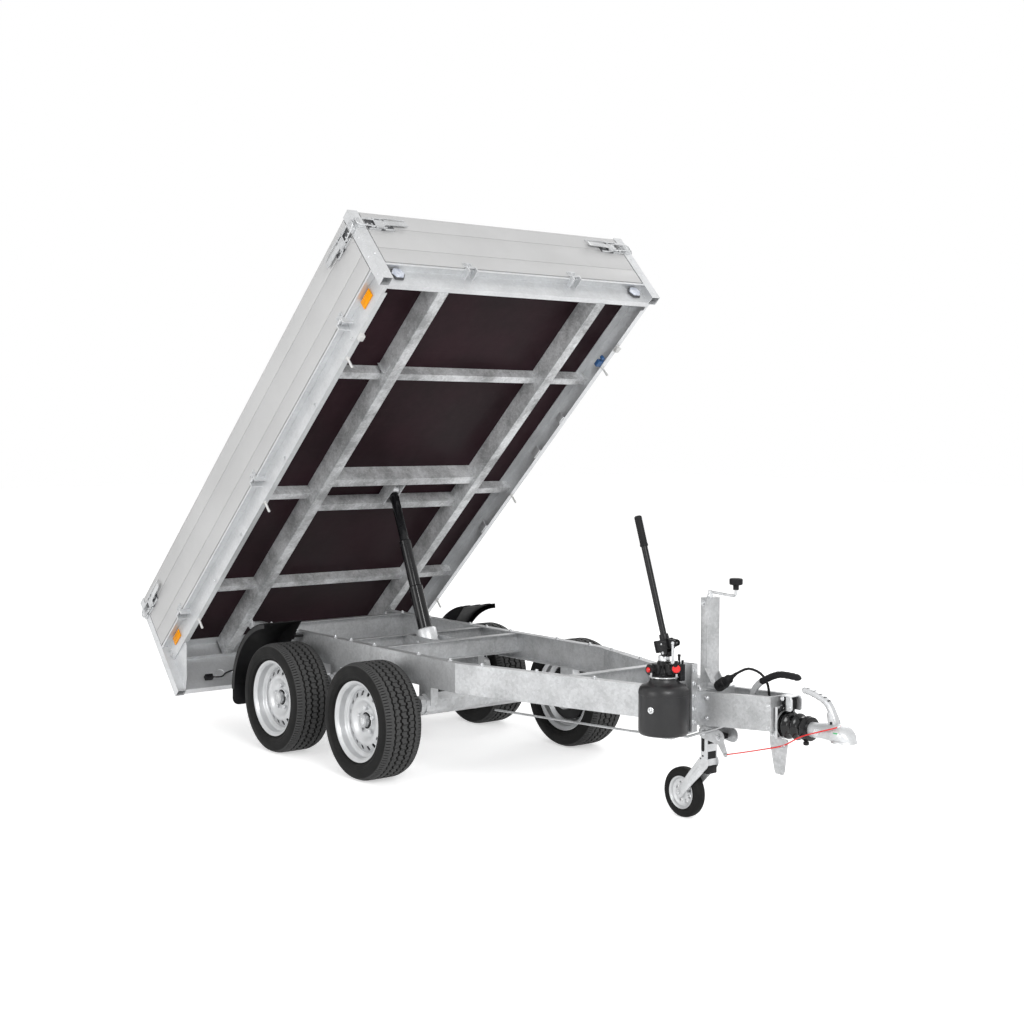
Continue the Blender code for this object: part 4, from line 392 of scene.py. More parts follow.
def ring(count, start=0.0, sweep=2 * pi):
    """Evenly spaced angles round a circle, or from end to end of a part of one."""
    steps = count if abs(sweep) > 2 * pi - 1e-6 else count - 1
    return [start + sweep * index / steps for index in range(count)]


def arc(radius, count, centre=(0, 0), start=0.0, sweep=2 * pi):
    return [(centre[0] + radius * cos(a), centre[1] + radius * sin(a)) for a in ring(count, start, sweep)]


def capsule(start, end, start_radius, end_radius, count=14):
    """An outline round two circles, with straight sides that touch both."""
    run_x, run_y = end[0] - start[0], end[1] - start[1]
    heading = math.atan2(run_y, run_x)
    spread = math.acos((start_radius - end_radius) / math.hypot(run_x, run_y))
    return (arc(start_radius, count, start, heading + spread, 2 * pi - 2 * spread)
            + arc(end_radius, count, end, heading - spread, 2 * spread))


def rounded(low, high, radius, count=5):
    """A rectangle with round corners."""
    outline = []
    for x, y, start in ((high[0] - radius, high[1] - radius, 0), (low[0] + radius, high[1] - radius, 90),
                        (low[0] + radius, low[1] + radius, 180), (high[0] - radius, low[1] + radius, 270)):
        outline += arc(radius, count, (x, y), radians(start), radians(90))
    return outline


def smooth_route(knots, spans=6):
    """Points of a smooth curve through the knots, with this many spans between each two."""
    knots = [Vector(knot) for knot in knots]
    padded = [2 * knots[0] - knots[1], *knots, 2 * knots[-1] - knots[-2]]
    route = []
    for before, start, end, after in zip(padded, padded[1:], padded[2:], padded[3:]):
        slope = (end - before) / 2
        bend = before - 2.5 * start + 2 * end - after / 2
        twist = (3 * start - before - 3 * end + after) / 2
        for step in range(spans):
            share = step / spans
            route.append(start + slope * share + bend * share ** 2 + twist * share ** 3)
    return [*route, knots[-1]]


def skin(form, rings, closed=True, ends=False):
    """Faces from each ring of corners to the next, and over the first and last ring."""
    for first, second in zip(rings, rings[1:]):
        for index in range(len(first) - (not closed)):
            after = (index + 1) % len(first)
            form.faces.new((first[index], first[after], second[after], second[index]))
    if ends:
        form.faces.new(rings[0][::-1])
        form.faces.new(rings[-1])


def soften(form, edges, bevel, segments=2):
    bmesh.ops.bevel(form, geom=edges, offset=bevel, segments=segments, profile=0.5, affect="EDGES")


def lathe(form, profile, matrix=Matrix(), steps=48, closed=False):
    """Turns points of (radius, height), down the outer side, about the frame's Z axis."""
    rings = []
    for radius, height in profile:
        if radius < 1e-6:
            rings.append([form.verts.new(matrix @ Vector((0, 0, height)))] * steps)
        else:
            rings.append([form.verts.new(matrix @ Vector((x, y, height))) for x, y in arc(radius, steps)])
    for upper, lower in zip(rings, rings[1:] + rings[:closed]):
        for index in range(steps):
            after = (index + 1) % steps
            corners = dict.fromkeys((upper[index], lower[index], lower[after], upper[after]))
            if len(corners) > 2:
                form.faces.new(list(corners))


def block(form, first, second, matrix=Matrix(), bevel=0.0, segments=2):
    """A box between two opposite corners, with softened edges."""
    low, high = (Vector(map(pick, first, second)) for pick in (min, max))
    size = Matrix.Diagonal((*(high - low), 1))
    made = bmesh.ops.create_cube(form, size=1.0, matrix=matrix @ moved((low + high) / 2) @ size)
    if bevel:
        soften(form, list({edge for vert in made["verts"] for edge in vert.link_edges}), bevel, segments)


def prism(form, outline, first, second, matrix=Matrix(), bevel=0.0, segments=2):
    """A flat outline with a thickness between two heights along the frame's Z axis."""
    walls = [[form.verts.new(matrix @ Vector((x, y, z))) for x, y in outline] for z in sorted((first, second))]
    faces = [form.faces.new(walls[0][::-1]), form.faces.new(walls[1])]
    rims = [edge for face in faces for edge in face.edges]
    skin(form, walls)
    if bevel:
        soften(form, rims, bevel, segments)


def plate(form, outline, first, second, bevel=0.0, segments=2):
    """An outline of (x, z) on the chassis with a thickness between two places across."""
    prism(form, outline, -first, -second, CHASSIS @ UPRIGHT, bevel, segments)


def headings(route):
    """Each point of a route with the direction of the route there."""
    last = len(route) - 1
    return [(point, (route[min(index + 1, last)] - route[max(index - 1, 0)]).normalized())
            for index, point in enumerate(route)]


def pipe(form, route, radius, sides=14, flat=1.0, across=None):
    """A tube along a route; radius is one number or one for each point, flat squeezes it."""
    route = [Vector(point) for point in route]
    radii = [radius] * len(route) if isinstance(radius, float) else radius
    side = Vector(across) if across else None
    rings = []
    for (point, ahead), reach in zip(headings(route), radii):
        side = ahead.orthogonal() if side is None else side - side.dot(ahead) * ahead
        side.normalize()
        up = ahead.cross(side)
        rings.append([form.verts.new(point + reach * (cos(a) * side + flat * sin(a) * up)) for a in ring(sides)])
    skin(form, rings, ends=True)


def bar(form, route, width, thick, across, bevel=0.0):
    """A flat strip along a route, its width across the given direction."""
    across = Vector(across).normalized()
    rings = []
    for point, ahead in headings([Vector(point) for point in route]):
        up = ahead.cross(across).normalized()
        rings.append([form.verts.new(point + sx * width / 2 * across + sy * thick / 2 * up)
                      for sx, sy in ((-1, -1), (1, -1), (1, 1), (-1, 1))])
    skin(form, rings, ends=True)
    if bevel:
        edges = {edge for row in rings for vert in row for edge in vert.link_edges}
        soften(form, [edge for edge in edges if edge.calc_face_angle(0) > radians(60)], bevel)


def square_tube(form, half_x, half_y, low, high, wall, matrix):
    """A hollow square tube with round corners, along the frame's Z axis."""
    radius = 0.004
    outer = rounded((-half_x, -half_y), (half_x, half_y), radius, 4)
    inner = rounded((-half_x + wall, -half_y + wall), (half_x - wall, half_y - wall), radius / 2, 4)
    rings = [[form.verts.new(matrix @ Vector((x, y, z))) for x, y in outline]
             for outline, z in ((outer, low), (outer, high), (inner, high), (inner, low))]
    skin(form, rings + rings[:1])


def mesh_from(form, name, angle=35):
    """The form as a mesh with outward faces and smooth shading up to the given angle."""
    bmesh.ops.recalc_face_normals(form, faces=form.faces)
    mesh = bpy.data.meshes.new(name)
    form.to_mesh(mesh)
    form.free()
    mesh.shade_smooth()
    mesh.set_sharp_from_angle(angle=radians(angle))
    return mesh


def show(name, mesh):
    made = bpy.data.objects.new(name, mesh)
    bpy.context.scene.collection.objects.link(made)
    return made


def add_piece(name, mesh, finish, body="chassis", *replaced):
    """A piece with its finish that rides on a body and may stand for CAD nodes."""
    if isinstance(mesh, bmesh.types.BMesh):
        mesh = mesh_from(mesh, name)
    mesh.materials.clear()
    mesh.materials.append(FINISHES[finish])
    made = show(name, mesh)
    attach(made, body)
    if replaced:
        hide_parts(*replaced)
    return made


def geometry_tree(name, sockets):
    """A geometry tree with a mesh in and out, and these named inputs."""
    tree = bpy.data.node_groups.new(name, "GeometryNodeTree")
    tree.interface.new_socket("Geometry", in_out="INPUT", socket_type="NodeSocketGeometry")
    tree.interface.new_socket("Geometry", in_out="OUTPUT", socket_type="NodeSocketGeometry")
    for title, kind in sockets:
        tree.interface.new_socket(title, in_out="INPUT", socket_type="NodeSocket" + kind)
    nodes = Nodes(tree)
    return nodes, nodes.add("NodeGroupInput").outputs, nodes.add("NodeGroupOutput").inputs


def around_axle_tree():
    """Copies of one segment turned evenly about the Z axis and joined to each other."""
    nodes, given, out = geometry_tree(
        "around_axle", (("Copies", "Int"), ("Join Distance", "Float"), ("Finish", "Material")))
    points = nodes.add("GeometryNodePoints", Count=given["Copies"]).outputs[0]
    step = nodes.sum("DIVIDE", 2 * pi, given["Copies"])
    angle = nodes.sum("MULTIPLY", nodes.add("GeometryNodeInputIndex").outputs[0], step)
    turn = nodes.add("FunctionNodeAxisAngleToRotation", Axis=(0.0, 0.0, 1.0), Angle=angle).outputs[0]
    copies = nodes.add("GeometryNodeInstanceOnPoints", Points=points, Instance=given["Geometry"], Rotation=turn)
    real = nodes.add("GeometryNodeRealizeInstances", Geometry=copies.outputs[0]).outputs[0]
    joined = nodes.add("GeometryNodeMergeByDistance", Geometry=real, Distance=given["Join Distance"]).outputs[0]
    finished = nodes.add("GeometryNodeSetMaterial", Geometry=joined, Material=given["Finish"]).outputs[0]
    nodes.feed(out["Geometry"], finished)
    return nodes.tree


def on_places_tree():
    """A copy of one small part on each point, its Z axis turned along the point's facing."""
    nodes, given, out = geometry_tree("on_places", (("Part", "Object"), ("Size", "Float"), ("Finish", "Material")))
    facing = nodes.add("GeometryNodeInputNamedAttribute", {"data_type": "FLOAT_VECTOR"}, Name="facing").outputs[0]
    turn = nodes.add("FunctionNodeAlignRotationToVector", {"axis": "Z"}, Vector=facing).outputs[0]
    part = nodes.add("GeometryNodeObjectInfo", Object=given["Part"]).outputs["Geometry"]
    copies = nodes.add("GeometryNodeInstanceOnPoints", Points=given["Geometry"], Instance=part, Rotation=turn,
                       Scale=given["Size"])
    real = nodes.add("GeometryNodeRealizeInstances", Geometry=copies.outputs[0]).outputs[0]
    finished = nodes.add("GeometryNodeSetMaterial", Geometry=real, Material=given["Finish"]).outputs[0]
    nodes.feed(out["Geometry"], finished)
    return nodes.tree


PATTERNS = {}


def patterned(name, base, tree_name, matrix=Matrix(), angle=35, **inputs):
    """The plain mesh that a geometry tree makes of a base mesh, moved to its place."""
    if not PATTERNS:
        PATTERNS.update(around_axle=around_axle_tree(), on_places=on_places_tree())
    tree = PATTERNS[tree_name]
    source = show(name + "_source", base)
    modifier = source.modifiers.new("pattern", "NODES")
    modifier.node_group = tree
    sockets = {item.name: item.identifier for item in tree.interface.items_tree
               if item.item_type == "SOCKET" and item.in_out == "INPUT"}
    for key, value in inputs.items():
        modifier[sockets[key.replace("_", " ")]] = value
    bpy.context.view_layer.update()
    graph = bpy.context.evaluated_depsgraph_get()
    mesh = bpy.data.meshes.new_from_object(source.evaluated_get(graph))
    source.modifiers.remove(modifier)
    bpy.data.objects.remove(source)
    form = bmesh.new()
    form.from_mesh(mesh)
    form.transform(matrix)
    return mesh_from(form, name, angle)


def around(name, form, copies, finish, matrix=Matrix(), angle=40):
    return patterned(name, mesh_from(form, name + "_segment", angle), "around_axle", matrix, angle,
                     Copies=copies, Join_Distance=1e-5, Finish=FINISHES[finish])


def on_places(name, part_form, places, finish):
    """The part's copies on (place, facing) pairs as one mesh."""
    part = show(name + "_part", mesh_from(part_form, name + "_part"))
    base = bpy.data.meshes.new(name + "_places")
    base.from_pydata([tuple(place) for place, facing in places], [], [])
    facings = base.attributes.new("facing", "FLOAT_VECTOR", "POINT")
    for index, (place, facing) in enumerate(places):
        facings.data[index].vector = Vector(facing).normalized()
    made = patterned(name, base, "on_places", Part=part, Size=1.0, Finish=FINISHES[finish])
    bpy.data.objects.remove(part)
    return made


def add_copies(name, part_form, places, body="chassis"):
    """A piece of bright copies of one bolt or rivet."""
    add_piece(name, on_places(name, part_form, places, "bright_zinc"), "bright_zinc", body)


def hex_bolt(across=0.013, height=0.007):
    """A hexagon head on its washer, with the bolt's end just proud of it."""
    form = bmesh.new()
    lathe(form, [(0, 0.0022), (across * 0.78, 0.0022), (across * 0.84, 0.0014), (across * 0.84, -0.001), (0, -0.001)],
          steps=20)
    prism(form, arc(across * 0.577, 6), 0.002, 0.002 + height, bevel=across * 0.05, segments=1)
    lathe(form, [(0, height + 0.0045), (across * 0.26, height + 0.004), (across * 0.3, height + 0.003),
                 (across * 0.3, height), (0, height)], steps=12)
    return form


def rivet(radius=0.005, height=0.003):
    form = bmesh.new()
    lathe(form, [(0, height), (radius * 0.5, height * 0.86), (radius * 0.87, height * 0.5), (radius, 0.0),
                 (radius, -0.0005), (0, -0.0005)], steps=16)
    return form


TYRE_RADIUS = 0.2625
TREAD_PITCHES = 58
SLOT_DEPTH = 0.0065
ZIGZAG = 0.0034
# Rows of one tread pitch: share of the pitch, slot depth at the ribs, at the shoulders, zigzag
TREAD_ROWS = (
    (0.0, 0, 0, 1), (0.018, 1, 0, 1), (0.098, 1, 0, 1), (0.116, 0, 0, 1), (0.22, 0, 0, 1), (0.238, 0, 1, 1),
    (0.348, 0, 1, 1), (0.366, 0, 0, 1), (0.43, 0, 0, 1), (0.5, 0, 0, -1), (0.518, 2, 0, -1),
    (0.598, 2, 0, -1), (0.616, 0, 0, -1), (0.72, 0, 0, -1), (0.738, 0, 1, -1), (0.848, 0, 1, -1),
    (0.866, 0, 0, -1), (0.93, 0, 0, -1), (1.0, 0, 0, 1))
# Columns from the outer edge of the tread inwards: place across, groove depth, zigzag share, slot
TREAD_COLUMNS = (
    (0.0885, 0.0, 0, 4), (0.082, 0.0, 0, 4), (0.07, 0.0, 0, 4), (0.0685, 0.0, 0, 0), (0.062, 0.0, 0, 0),
    (0.0548, 0.0, 0.5, 0), (0.0534, 0.008, 0.5, 0), (0.0466, 0.008, 0.5, 0), (0.0452, 0.0, 0.5, 0),
    (0.044, 0.0, 0.7, 1), (0.03, 0.0, 0.8, 1), (0.029, 0.0, 1, 0), (0.024, 0.0, 1, 0),
    (0.0226, 0.0088, 1, 0), (0.0132, 0.0088, 1, 0), (0.0118, 0.0, 1, 0), (0.0108, 0.0, 1, 2), (0.002, 0.0, 1, 2))
# Half of the tyre's section from the tread's edge to the bead: radius and place across
SIDEWALL = (
    (0.2525, 0.0905), (0.2468, 0.0931), (0.24, 0.0952), (0.23, 0.0972), (0.2205, 0.098), (0.212, 0.0978),
    (0.211, 0.0968), (0.2095, 0.0966), (0.2085, 0.0974), (0.2, 0.095), (0.195, 0.093), (0.1935, 0.0945),
    (0.1905, 0.0935), (0.189, 0.088), (0.1865, 0.081), (0.18, 0.077), (0.1665, 0.0715))


def tread_radius(across):
    """The worn-in crown of the tread, which falls towards its shoulders."""
    share = abs(across) / 0.0885
    return TYRE_RADIUS - 0.0008 * share ** 2 - 0.0082 * max(0.0, share - 0.66) ** 2 / 0.1156


def tyre_segment():
    form = bmesh.new()
    wear = form.verts.layers.float.new("wear")
    pitch = 2 * pi / TREAD_PITCHES
    rows = []
    for share, rib, shoulder, zigzag in TREAD_ROWS:
        section = list(reversed(SIDEWALL))
        columns = [(*column, 1) for column in TREAD_COLUMNS] + [(*column, -1) for column in reversed(TREAD_COLUMNS)]
        for across, groove, sway, slot, side in columns:
            cut = SLOT_DEPTH if (slot == 4 and shoulder) or (slot and slot == rib) else groove
            section.append((tread_radius(across) - cut, side * across + sway * zigzag * ZIGZAG))
        section += [(radius, -across) for radius, across in SIDEWALL]
        turn = pitch * share
        row = []
        for radius, across in section:
            vert = form.verts.new((radius * cos(turn), radius * sin(turn), across))
            vert[wear] = float(tread_radius(across) - radius < 0.001)
            row.append(vert)
        rows.append(row)
    skin(form, rows)
    return form


VENTS = 16
# Outer face of the pressed disc from its bore to the vents: radius and height over the wheel's middle
DISC_INSIDE = (
    (0.0306, 0.0262), (0.0312, 0.028), (0.037, 0.0285), (0.044, 0.0285), (0.066, 0.0287), (0.072, 0.03),
    (0.078, 0.0335), (0.085, 0.0395), (0.091, 0.0435), (0.097, 0.0452), (0.103, 0.045), (0.1085, 0.0432))
VENT_INNER = (0.1112, 0.042)
VENT_OUTER = (0.135, 0.0304)
DISC_OUTSIDE = ((0.137, 0.029), (0.1405, 0.0265), (0.1425, 0.0262))
# The pressed rim, from the disc out to its flange and back behind it
RIM = (
    (0.1425, 0.0262), (0.143, 0.031), (0.145, 0.034), (0.149, 0.0362), (0.158, 0.0392), (0.1612, 0.0415),
    (0.1625, 0.045), (0.1625, 0.069), (0.1632, 0.0725), (0.1655, 0.0755), (0.17, 0.0775), (0.176, 0.0785),
    (0.1795, 0.0797), (0.1817, 0.0815), (0.1815, 0.0832), (0.18, 0.0838), (0.177, 0.0828), (0.1715, 0.0812),
    (0.168, 0.078), (0.1664, 0.073), (0.1664, 0.045), (0.164, 0.0425), (0.149, 0.0375), (0.1465, 0.032),
    (0.146, 0.02), (0.146, -0.038), (0.1664, -0.053), (0.1664, -0.073), (0.18, -0.08),
    (0.182, -0.083), (0.179, -0.0838), (0.1625, -0.076), (0.162, -0.051), (0.142, -0.036),
    (0.142, 0.018))
DISC_WALL = 0.004
VENT_DIP = 0.0008


def turned_rows(form, profile, turns):
    """Corners of a profile of (radius, height) at each of these turns about the Z axis."""
    return [[form.verts.new((radius * cos(turn), radius * sin(turn), height)) for turn in turns]
            for radius, height in profile]


def pierced_walls(form, copies, columns, walls, middle, slope, share, reach):
    """One copy's part of a disc with an oval opening through it.

    Each wall is its profile inside the opening, its profile outside and the opening's height
    at its middle radius. Share is the oval's shape, and reach its size out and round.
    """
    sector = 2 * pi / copies
    turns = [sector * index / columns for index in range(columns + 1)]
    shells = []
    for inner, outer, height in walls:
        inside, outside = turned_rows(form, inner, turns), turned_rows(form, outer, turns)
        skin(form, inside, closed=False)
        skin(form, outside, closed=False)
        edge = inside[-1] + outside[0][::-1]
        hole = []
        for vert in edge:
            turn = math.atan2(vert.co.y, vert.co.x) - sector / 2
            angle = math.atan2(turn * middle / share[1], (vert.co.xy.length - middle) / share[0])
            out, turn = reach[0] * cos(angle), sector / 2 + reach[1] * sin(angle) / middle
            hole += turned_rows(form, [(middle + out, height + slope * out)], [turn])[0]
        skin(form, [edge, hole])
        shells.append((hole, inside[0], outside[-1]))
    skin(form, [shells[0][0], shells[1][0]])
    return turns, shells


def wheel_segment():
    """One vent's share of a pressed wheel: disc with an oval opening, and rim."""
    form = bmesh.new()
    middle, height = ((first + second) / 2 for first, second in zip(VENT_INNER, VENT_OUTER))
    slope = (VENT_OUTER[1] - VENT_INNER[1]) / (VENT_OUTER[0] - VENT_INNER[0])
    walls = [([(radius, z - drop) for radius, z in (*DISC_INSIDE, VENT_INNER)],
              [(radius, z - drop) for radius, z in (VENT_OUTER, *DISC_OUTSIDE)], height - max(drop, VENT_DIP))
             for drop in (0.0, DISC_WALL)]
    turns, shells = pierced_walls(form, VENTS, 8, walls, middle, slope, (0.0119, 0.02), (0.0108, 0.0112))
    for part in (1, 2):
        skin(form, [shells[0][part], shells[1][part]], closed=False)
    skin(form, turned_rows(form, (*RIM, RIM[0]), turns), closed=False)
    return form


def wheel_matrix(place):
    """A frame on the wheel's axis with its Z axis pointing outwards."""
    centre = wheel_centre(place)
    return axes_matrix(centre, (1, 0, 0), (0, math.copysign(1, centre.y), 0))


def make_wheels():
    tyre = around("tyre", tyre_segment(), TREAD_PITCHES, "tyre_rubber", angle=30)
    wheel = around("wheel", wheel_segment(), VENTS, "silver_wheel")
    for place in WHEELS:
        body, matrix = "road_wheel_" + place, wheel_matrix(place)
        for name, mesh, finish in (("tyre_", tyre, "tyre_rubber"), ("wheel_", wheel, "silver_wheel")):
            copy = mesh.copy()
            copy.transform(matrix)
            add_piece("fine_" + name + place, copy, finish, body, name + place)
        bolts = [(matrix @ Vector((x, y, 0.0262)), matrix.to_3x3() @ Vector((0, 0, 1)))
                 for x, y in arc(0.056, 5, start=radians(20))]
        add_copies("wheel_bolts_" + place, hex_bolt(0.0185, 0.0125), bolts, body)
        cap = bmesh.new()
        lathe(cap, [(0, 0.0525), (0.012, 0.0523), (0.0215, 0.051), (0.0265, 0.0485), (0.0282, 0.045), (0.0288, 0.04),
                    (0.029, 0.0284), (0.028, 0.0284), (0.0276, 0.044), (0.025, 0.049), (0, 0.0508)], matrix)
        lathe(cap, [(0.042, 0.0284), (0.0425, 0.03), (0.041, 0.0312), (0.038, 0.0312), (0.0365, 0.03),
                    (0.0365, 0.0284)], matrix, closed=True)
        add_piece("hub_cap_" + place, cap, "bright_zinc", body)
        drum = bmesh.new()
        lathe(drum, [(0, 0.01), (0.09, 0.01), (0.118, 0.008), (0.124, 0.003), (0.125, -0.004), (0.125, -0.042),
                     (0.13, -0.044), (0.13, -0.05), (0.118, -0.056), (0.07, -0.062), (0, -0.062)], matrix, 56)
        add_piece("brake_drum_" + place, drum, "black_plastic")
        seal = bmesh.new()
        lathe(seal, [(0.0365, 0.0284), (0.0362, 0.0305), (0.034, 0.033), (0.0316, 0.033), (0.0313, 0.0284)], matrix,
              closed=True)
        add_piece("hub_seal_" + place, seal, "black_plastic", body)
        valve = bmesh.new()
        foot, tip = matrix @ Vector((0.148, 0.0, 0.0355)), matrix @ Vector((0.1565, 0.0, 0.064))
        pipe(valve, [foot.lerp(tip, share) for share in (0, 0.3, 0.35, 0.7, 0.75, 1)],
             [0.0052, 0.0046, 0.0036, 0.0034, 0.0042, 0.004], 10)
        add_piece("tyre_valve_" + place, valve, "black_plastic", body)
    bpy.data.meshes.remove(tyre)
    bpy.data.meshes.remove(wheel)


GUARD_HUB = (-0.373, 0.2625)
GUARD_RADIUS = 0.36
GUARD_INNER = 0.492
GUARD_OUTER = 0.702
GUARD_START = 96


def make_mudguards():
    """Smooth arched guards with a rolled lip, an inner wall and a hanging flap."""
    hub_x, hub_z = GUARD_HUB
    turns = [radians(GUARD_START + (180 - GUARD_START) * index / 40) for index in range(41)]
    for side_name, side in SIDES.items():
        form = bmesh.new()
        low, high = sorted((side * GUARD_INNER, side * GUARD_OUTER))

        def curve(radius):
            return [(hub_x + radius * cos(a), hub_z + radius * sin(a)) for a in turns]

        def band(outer, inner, y_low, y_high):
            plate(form, curve(GUARD_RADIUS + outer) + curve(GUARD_RADIUS - inner)[::-1], y_low, y_high, 0.0008, 1)

        band(0.0, 0.0035, low, high)
        for share in (0.18, 0.5, 0.82):
            middle = low + (high - low) * share
            band(0.0022, 0.001, middle - 0.006, middle + 0.006)
        band(-0.0005, 0.025, side * GUARD_OUTER, side * (GUARD_OUTER - 0.0032))
        plate(form, curve(GUARD_RADIUS - 0.001), side * GUARD_INNER, side * (GUARD_INNER + 0.0032))
        rear = hub_x - GUARD_RADIUS
        flap = axes_matrix(at(rear + 0.0024, (low + high) / 2, 0), (0, 1, 0), (1, 0, 0))
        half = (high - low) / 2 - 0.004
        sheet = [(half, 0.293), (-half, 0.293)]
        for centre, start in ((0.035 - half, 180), (half - 0.035, 270)):
            sheet += arc(0.035, 8, (centre, 0.215), radians(start), radians(90))
        prism(form, sheet, -0.002, 0.002, flap, 0.001)
        block(form, at(rear - 0.002, low + 0.014, 0.268), at(rear + 0.001, high - 0.014, 0.286), bevel=0.001)
        add_piece("fine_mudguard_" + side_name, form, "black_plastic", "chassis", "mudguard_" + side_name)
        stays = bmesh.new()
        for back in (0.203, 0.128):
            route = [at(hub_x - back, side * y, 0.5315) for y in (0.4329, GUARD_INNER)]
            pipe(stays, route, 0.006, 12)
            prism(stays, arc(0.016, 20), -0.0025, 0.0, axes_matrix(route[1], (1, 0, 0), (0, side, 0)))
        add_piece("mudguard_stays_" + side_name, stays, "black_steel")


def board_matrix(u, v, turn):
    """A board's own frame: X into the bed, Y along the hinge, Z up, from the hinge's axis."""
    place = moved((u, v, BOARD_HINGE_W))
    return BED @ place @ turned(turn, "Z")


SIDE_LENGTH = BED_LENGTH - 2 * (POST_U + BOARD_GAP)
END_LENGTH = 2 * (BED_HALF - POST_V - BOARD_GAP)
BOARDS = (
    # name, hinge place, turn, length, hinges
    ("side_board_right", (BED_LENGTH / 2, -BED_HALF - BOARD_HINGE_OUT), 90, SIDE_LENGTH, (-1.041, 0.0, 1.041)),
    ("side_board_left", (BED_LENGTH / 2, BED_HALF + BOARD_HINGE_OUT), -90, SIDE_LENGTH, (-1.041, 0.0, 1.041)),
    ("headboard", (BED_LENGTH + BOARD_HINGE_OUT, 0), 180, END_LENGTH, (-0.3, 0.3)),
    ("tailgate", (-BOARD_HINGE_OUT, 0), 0, END_LENGTH, (-0.3, 0.3)))


def board_section():
    """A drop side's section: three planks with grooved joints and a rolled edge at the top."""
    outer, inner = BOARD_HINGE_OUT, BOARD_HINGE_OUT + BOARD_THICK
    low, high = BOARD_LOW - BOARD_HINGE_W, BOARD_TOP - BOARD_HINGE_W
    section = [(outer + 0.0016, low), (outer + 0.0004, low + 0.0006), (outer, low + 0.0018)]
    for seam in SEAMS:
        middle = seam - BOARD_HINGE_W
        section += [(outer, middle - 0.0022), (outer + 0.0004, middle - 0.0014), (outer + 0.0024, middle - 0.0007),
                    (outer + 0.0024, middle + 0.0007), (outer + 0.0004, middle + 0.0014), (outer, middle + 0.0022)]
    section += [(outer, high - 0.0135), (outer + 0.0012, high - 0.0125), (outer + 0.0012, high - 0.011),
                (outer, high - 0.01), (outer, high - 0.004), (outer + 0.0012, high - 0.0012), (outer + 0.004, high),
                (inner - 0.004, high), (inner - 0.0012, high - 0.0012), (inner, high - 0.004)]
    for seam in reversed(SEAMS):
        middle = seam - BOARD_HINGE_W
        section += [(inner, middle + 0.0018), (inner - 0.002, middle + 0.0006), (inner - 0.002, middle - 0.0006),
                    (inner, middle - 0.0018)]
    return section + [(inner, low + 0.0018), (inner - 0.0016, low)]


def make_boards():
    for name, (u, v), turn, length, hinges in BOARDS:
        matrix = board_matrix(u, v, turn)
        form = bmesh.new()
        half = length / 2
        prism(form, board_section(), -half, half, matrix @ UPRIGHT)
        add_piece(name + "_planks", form, "aluminium", name, name)
        hinge_castings(name, matrix, hinges)
        latches(name, matrix, half)


def hinge_castings(name, matrix, spots):
    """Small cast leaves bolted to the board, their knuckles turning between the frame's lugs."""
    form = bmesh.new()
    bolts = []
    out = matrix.to_3x3() @ Vector((-1, 0, 0))
    for y in spots:
        bore = axes_matrix(matrix @ Vector((0, y, 0)), matrix.to_3x3() @ Vector((1, 0, 0)),
                           matrix.to_3x3() @ Vector((0, 1, 0)))
        lathe(form, [(0.0032, 0.0158), (0.006, 0.0158), (0.0065, 0.015), (0.0065, 0.0055), (0.0058, 0.0048),
                     (0.0058, -0.0048), (0.0065, -0.0055), (0.0065, -0.015), (0.006, -0.0158), (0.0032, -0.0158)],
              bore, 24, closed=True)
        block(form, (0.0045, y - 0.0145, 0.001), (0.0142, y + 0.0145, 0.0085), matrix, 0.0012)
        prism(form, rounded((y - 0.0245, 0.0108), (y + 0.0245, 0.044), 0.006), 0.0112, 0.0142,
              matrix @ turned(90, "Z") @ turned(90, "X"), 0.0008)
        block(form, (0.0098, y - 0.0045, 0.01), (0.0126, y + 0.0045, 0.04), matrix, 0.001)
        bolts += [(matrix @ Vector((0.0112, y + step, 0.03)), out) for step in (-0.0155, 0.0155)]
    add_piece(name + "_hinge_leaves", form, "cast_zinc", name)
    add_copies(name + "_hinge_bolts", hex_bolt(0.0095, 0.0035), bolts, name)


LATCH_START = 0.004
LATCH_EDGE = 0.022
LATCH_SIZE = 1.65
LATCH_DEPTH = 1.35
# A latch's blocks: reach along the board, reach up, reach out of its face, and bevel
LATCH_BLOCKS = (
    ((0.023, 0.05), (0.0185, 0.0215), (-0.0005, 0.006), 0.001),
    ((0.023, 0.06), (-0.0215, -0.0185), (-0.0005, 0.006), 0.001),
    ((0.074, 0.102), (-0.02, -0.0165), (-0.0005, 0.006), 0.001),
    ((0.03, 0.04), (-0.018, -0.012), (0.002, 0.0105), 0.0012),
    ((0.03, 0.04), (0.012, 0.018), (0.002, 0.0105), 0.0012),
    ((0.044, 0.078), (-0.0175, -0.0145), (0.002, 0.0112), 0.0008),
    ((0.044, 0.078), (0.0145, 0.0175), (0.002, 0.0112), 0.0008),
    ((0.05, 0.074), (-0.012, 0.012), (0.0032, 0.0095), 0.0022),
    ((0.08, 0.094), (-0.006, 0.017), (0.002, 0.0078), 0.0015))


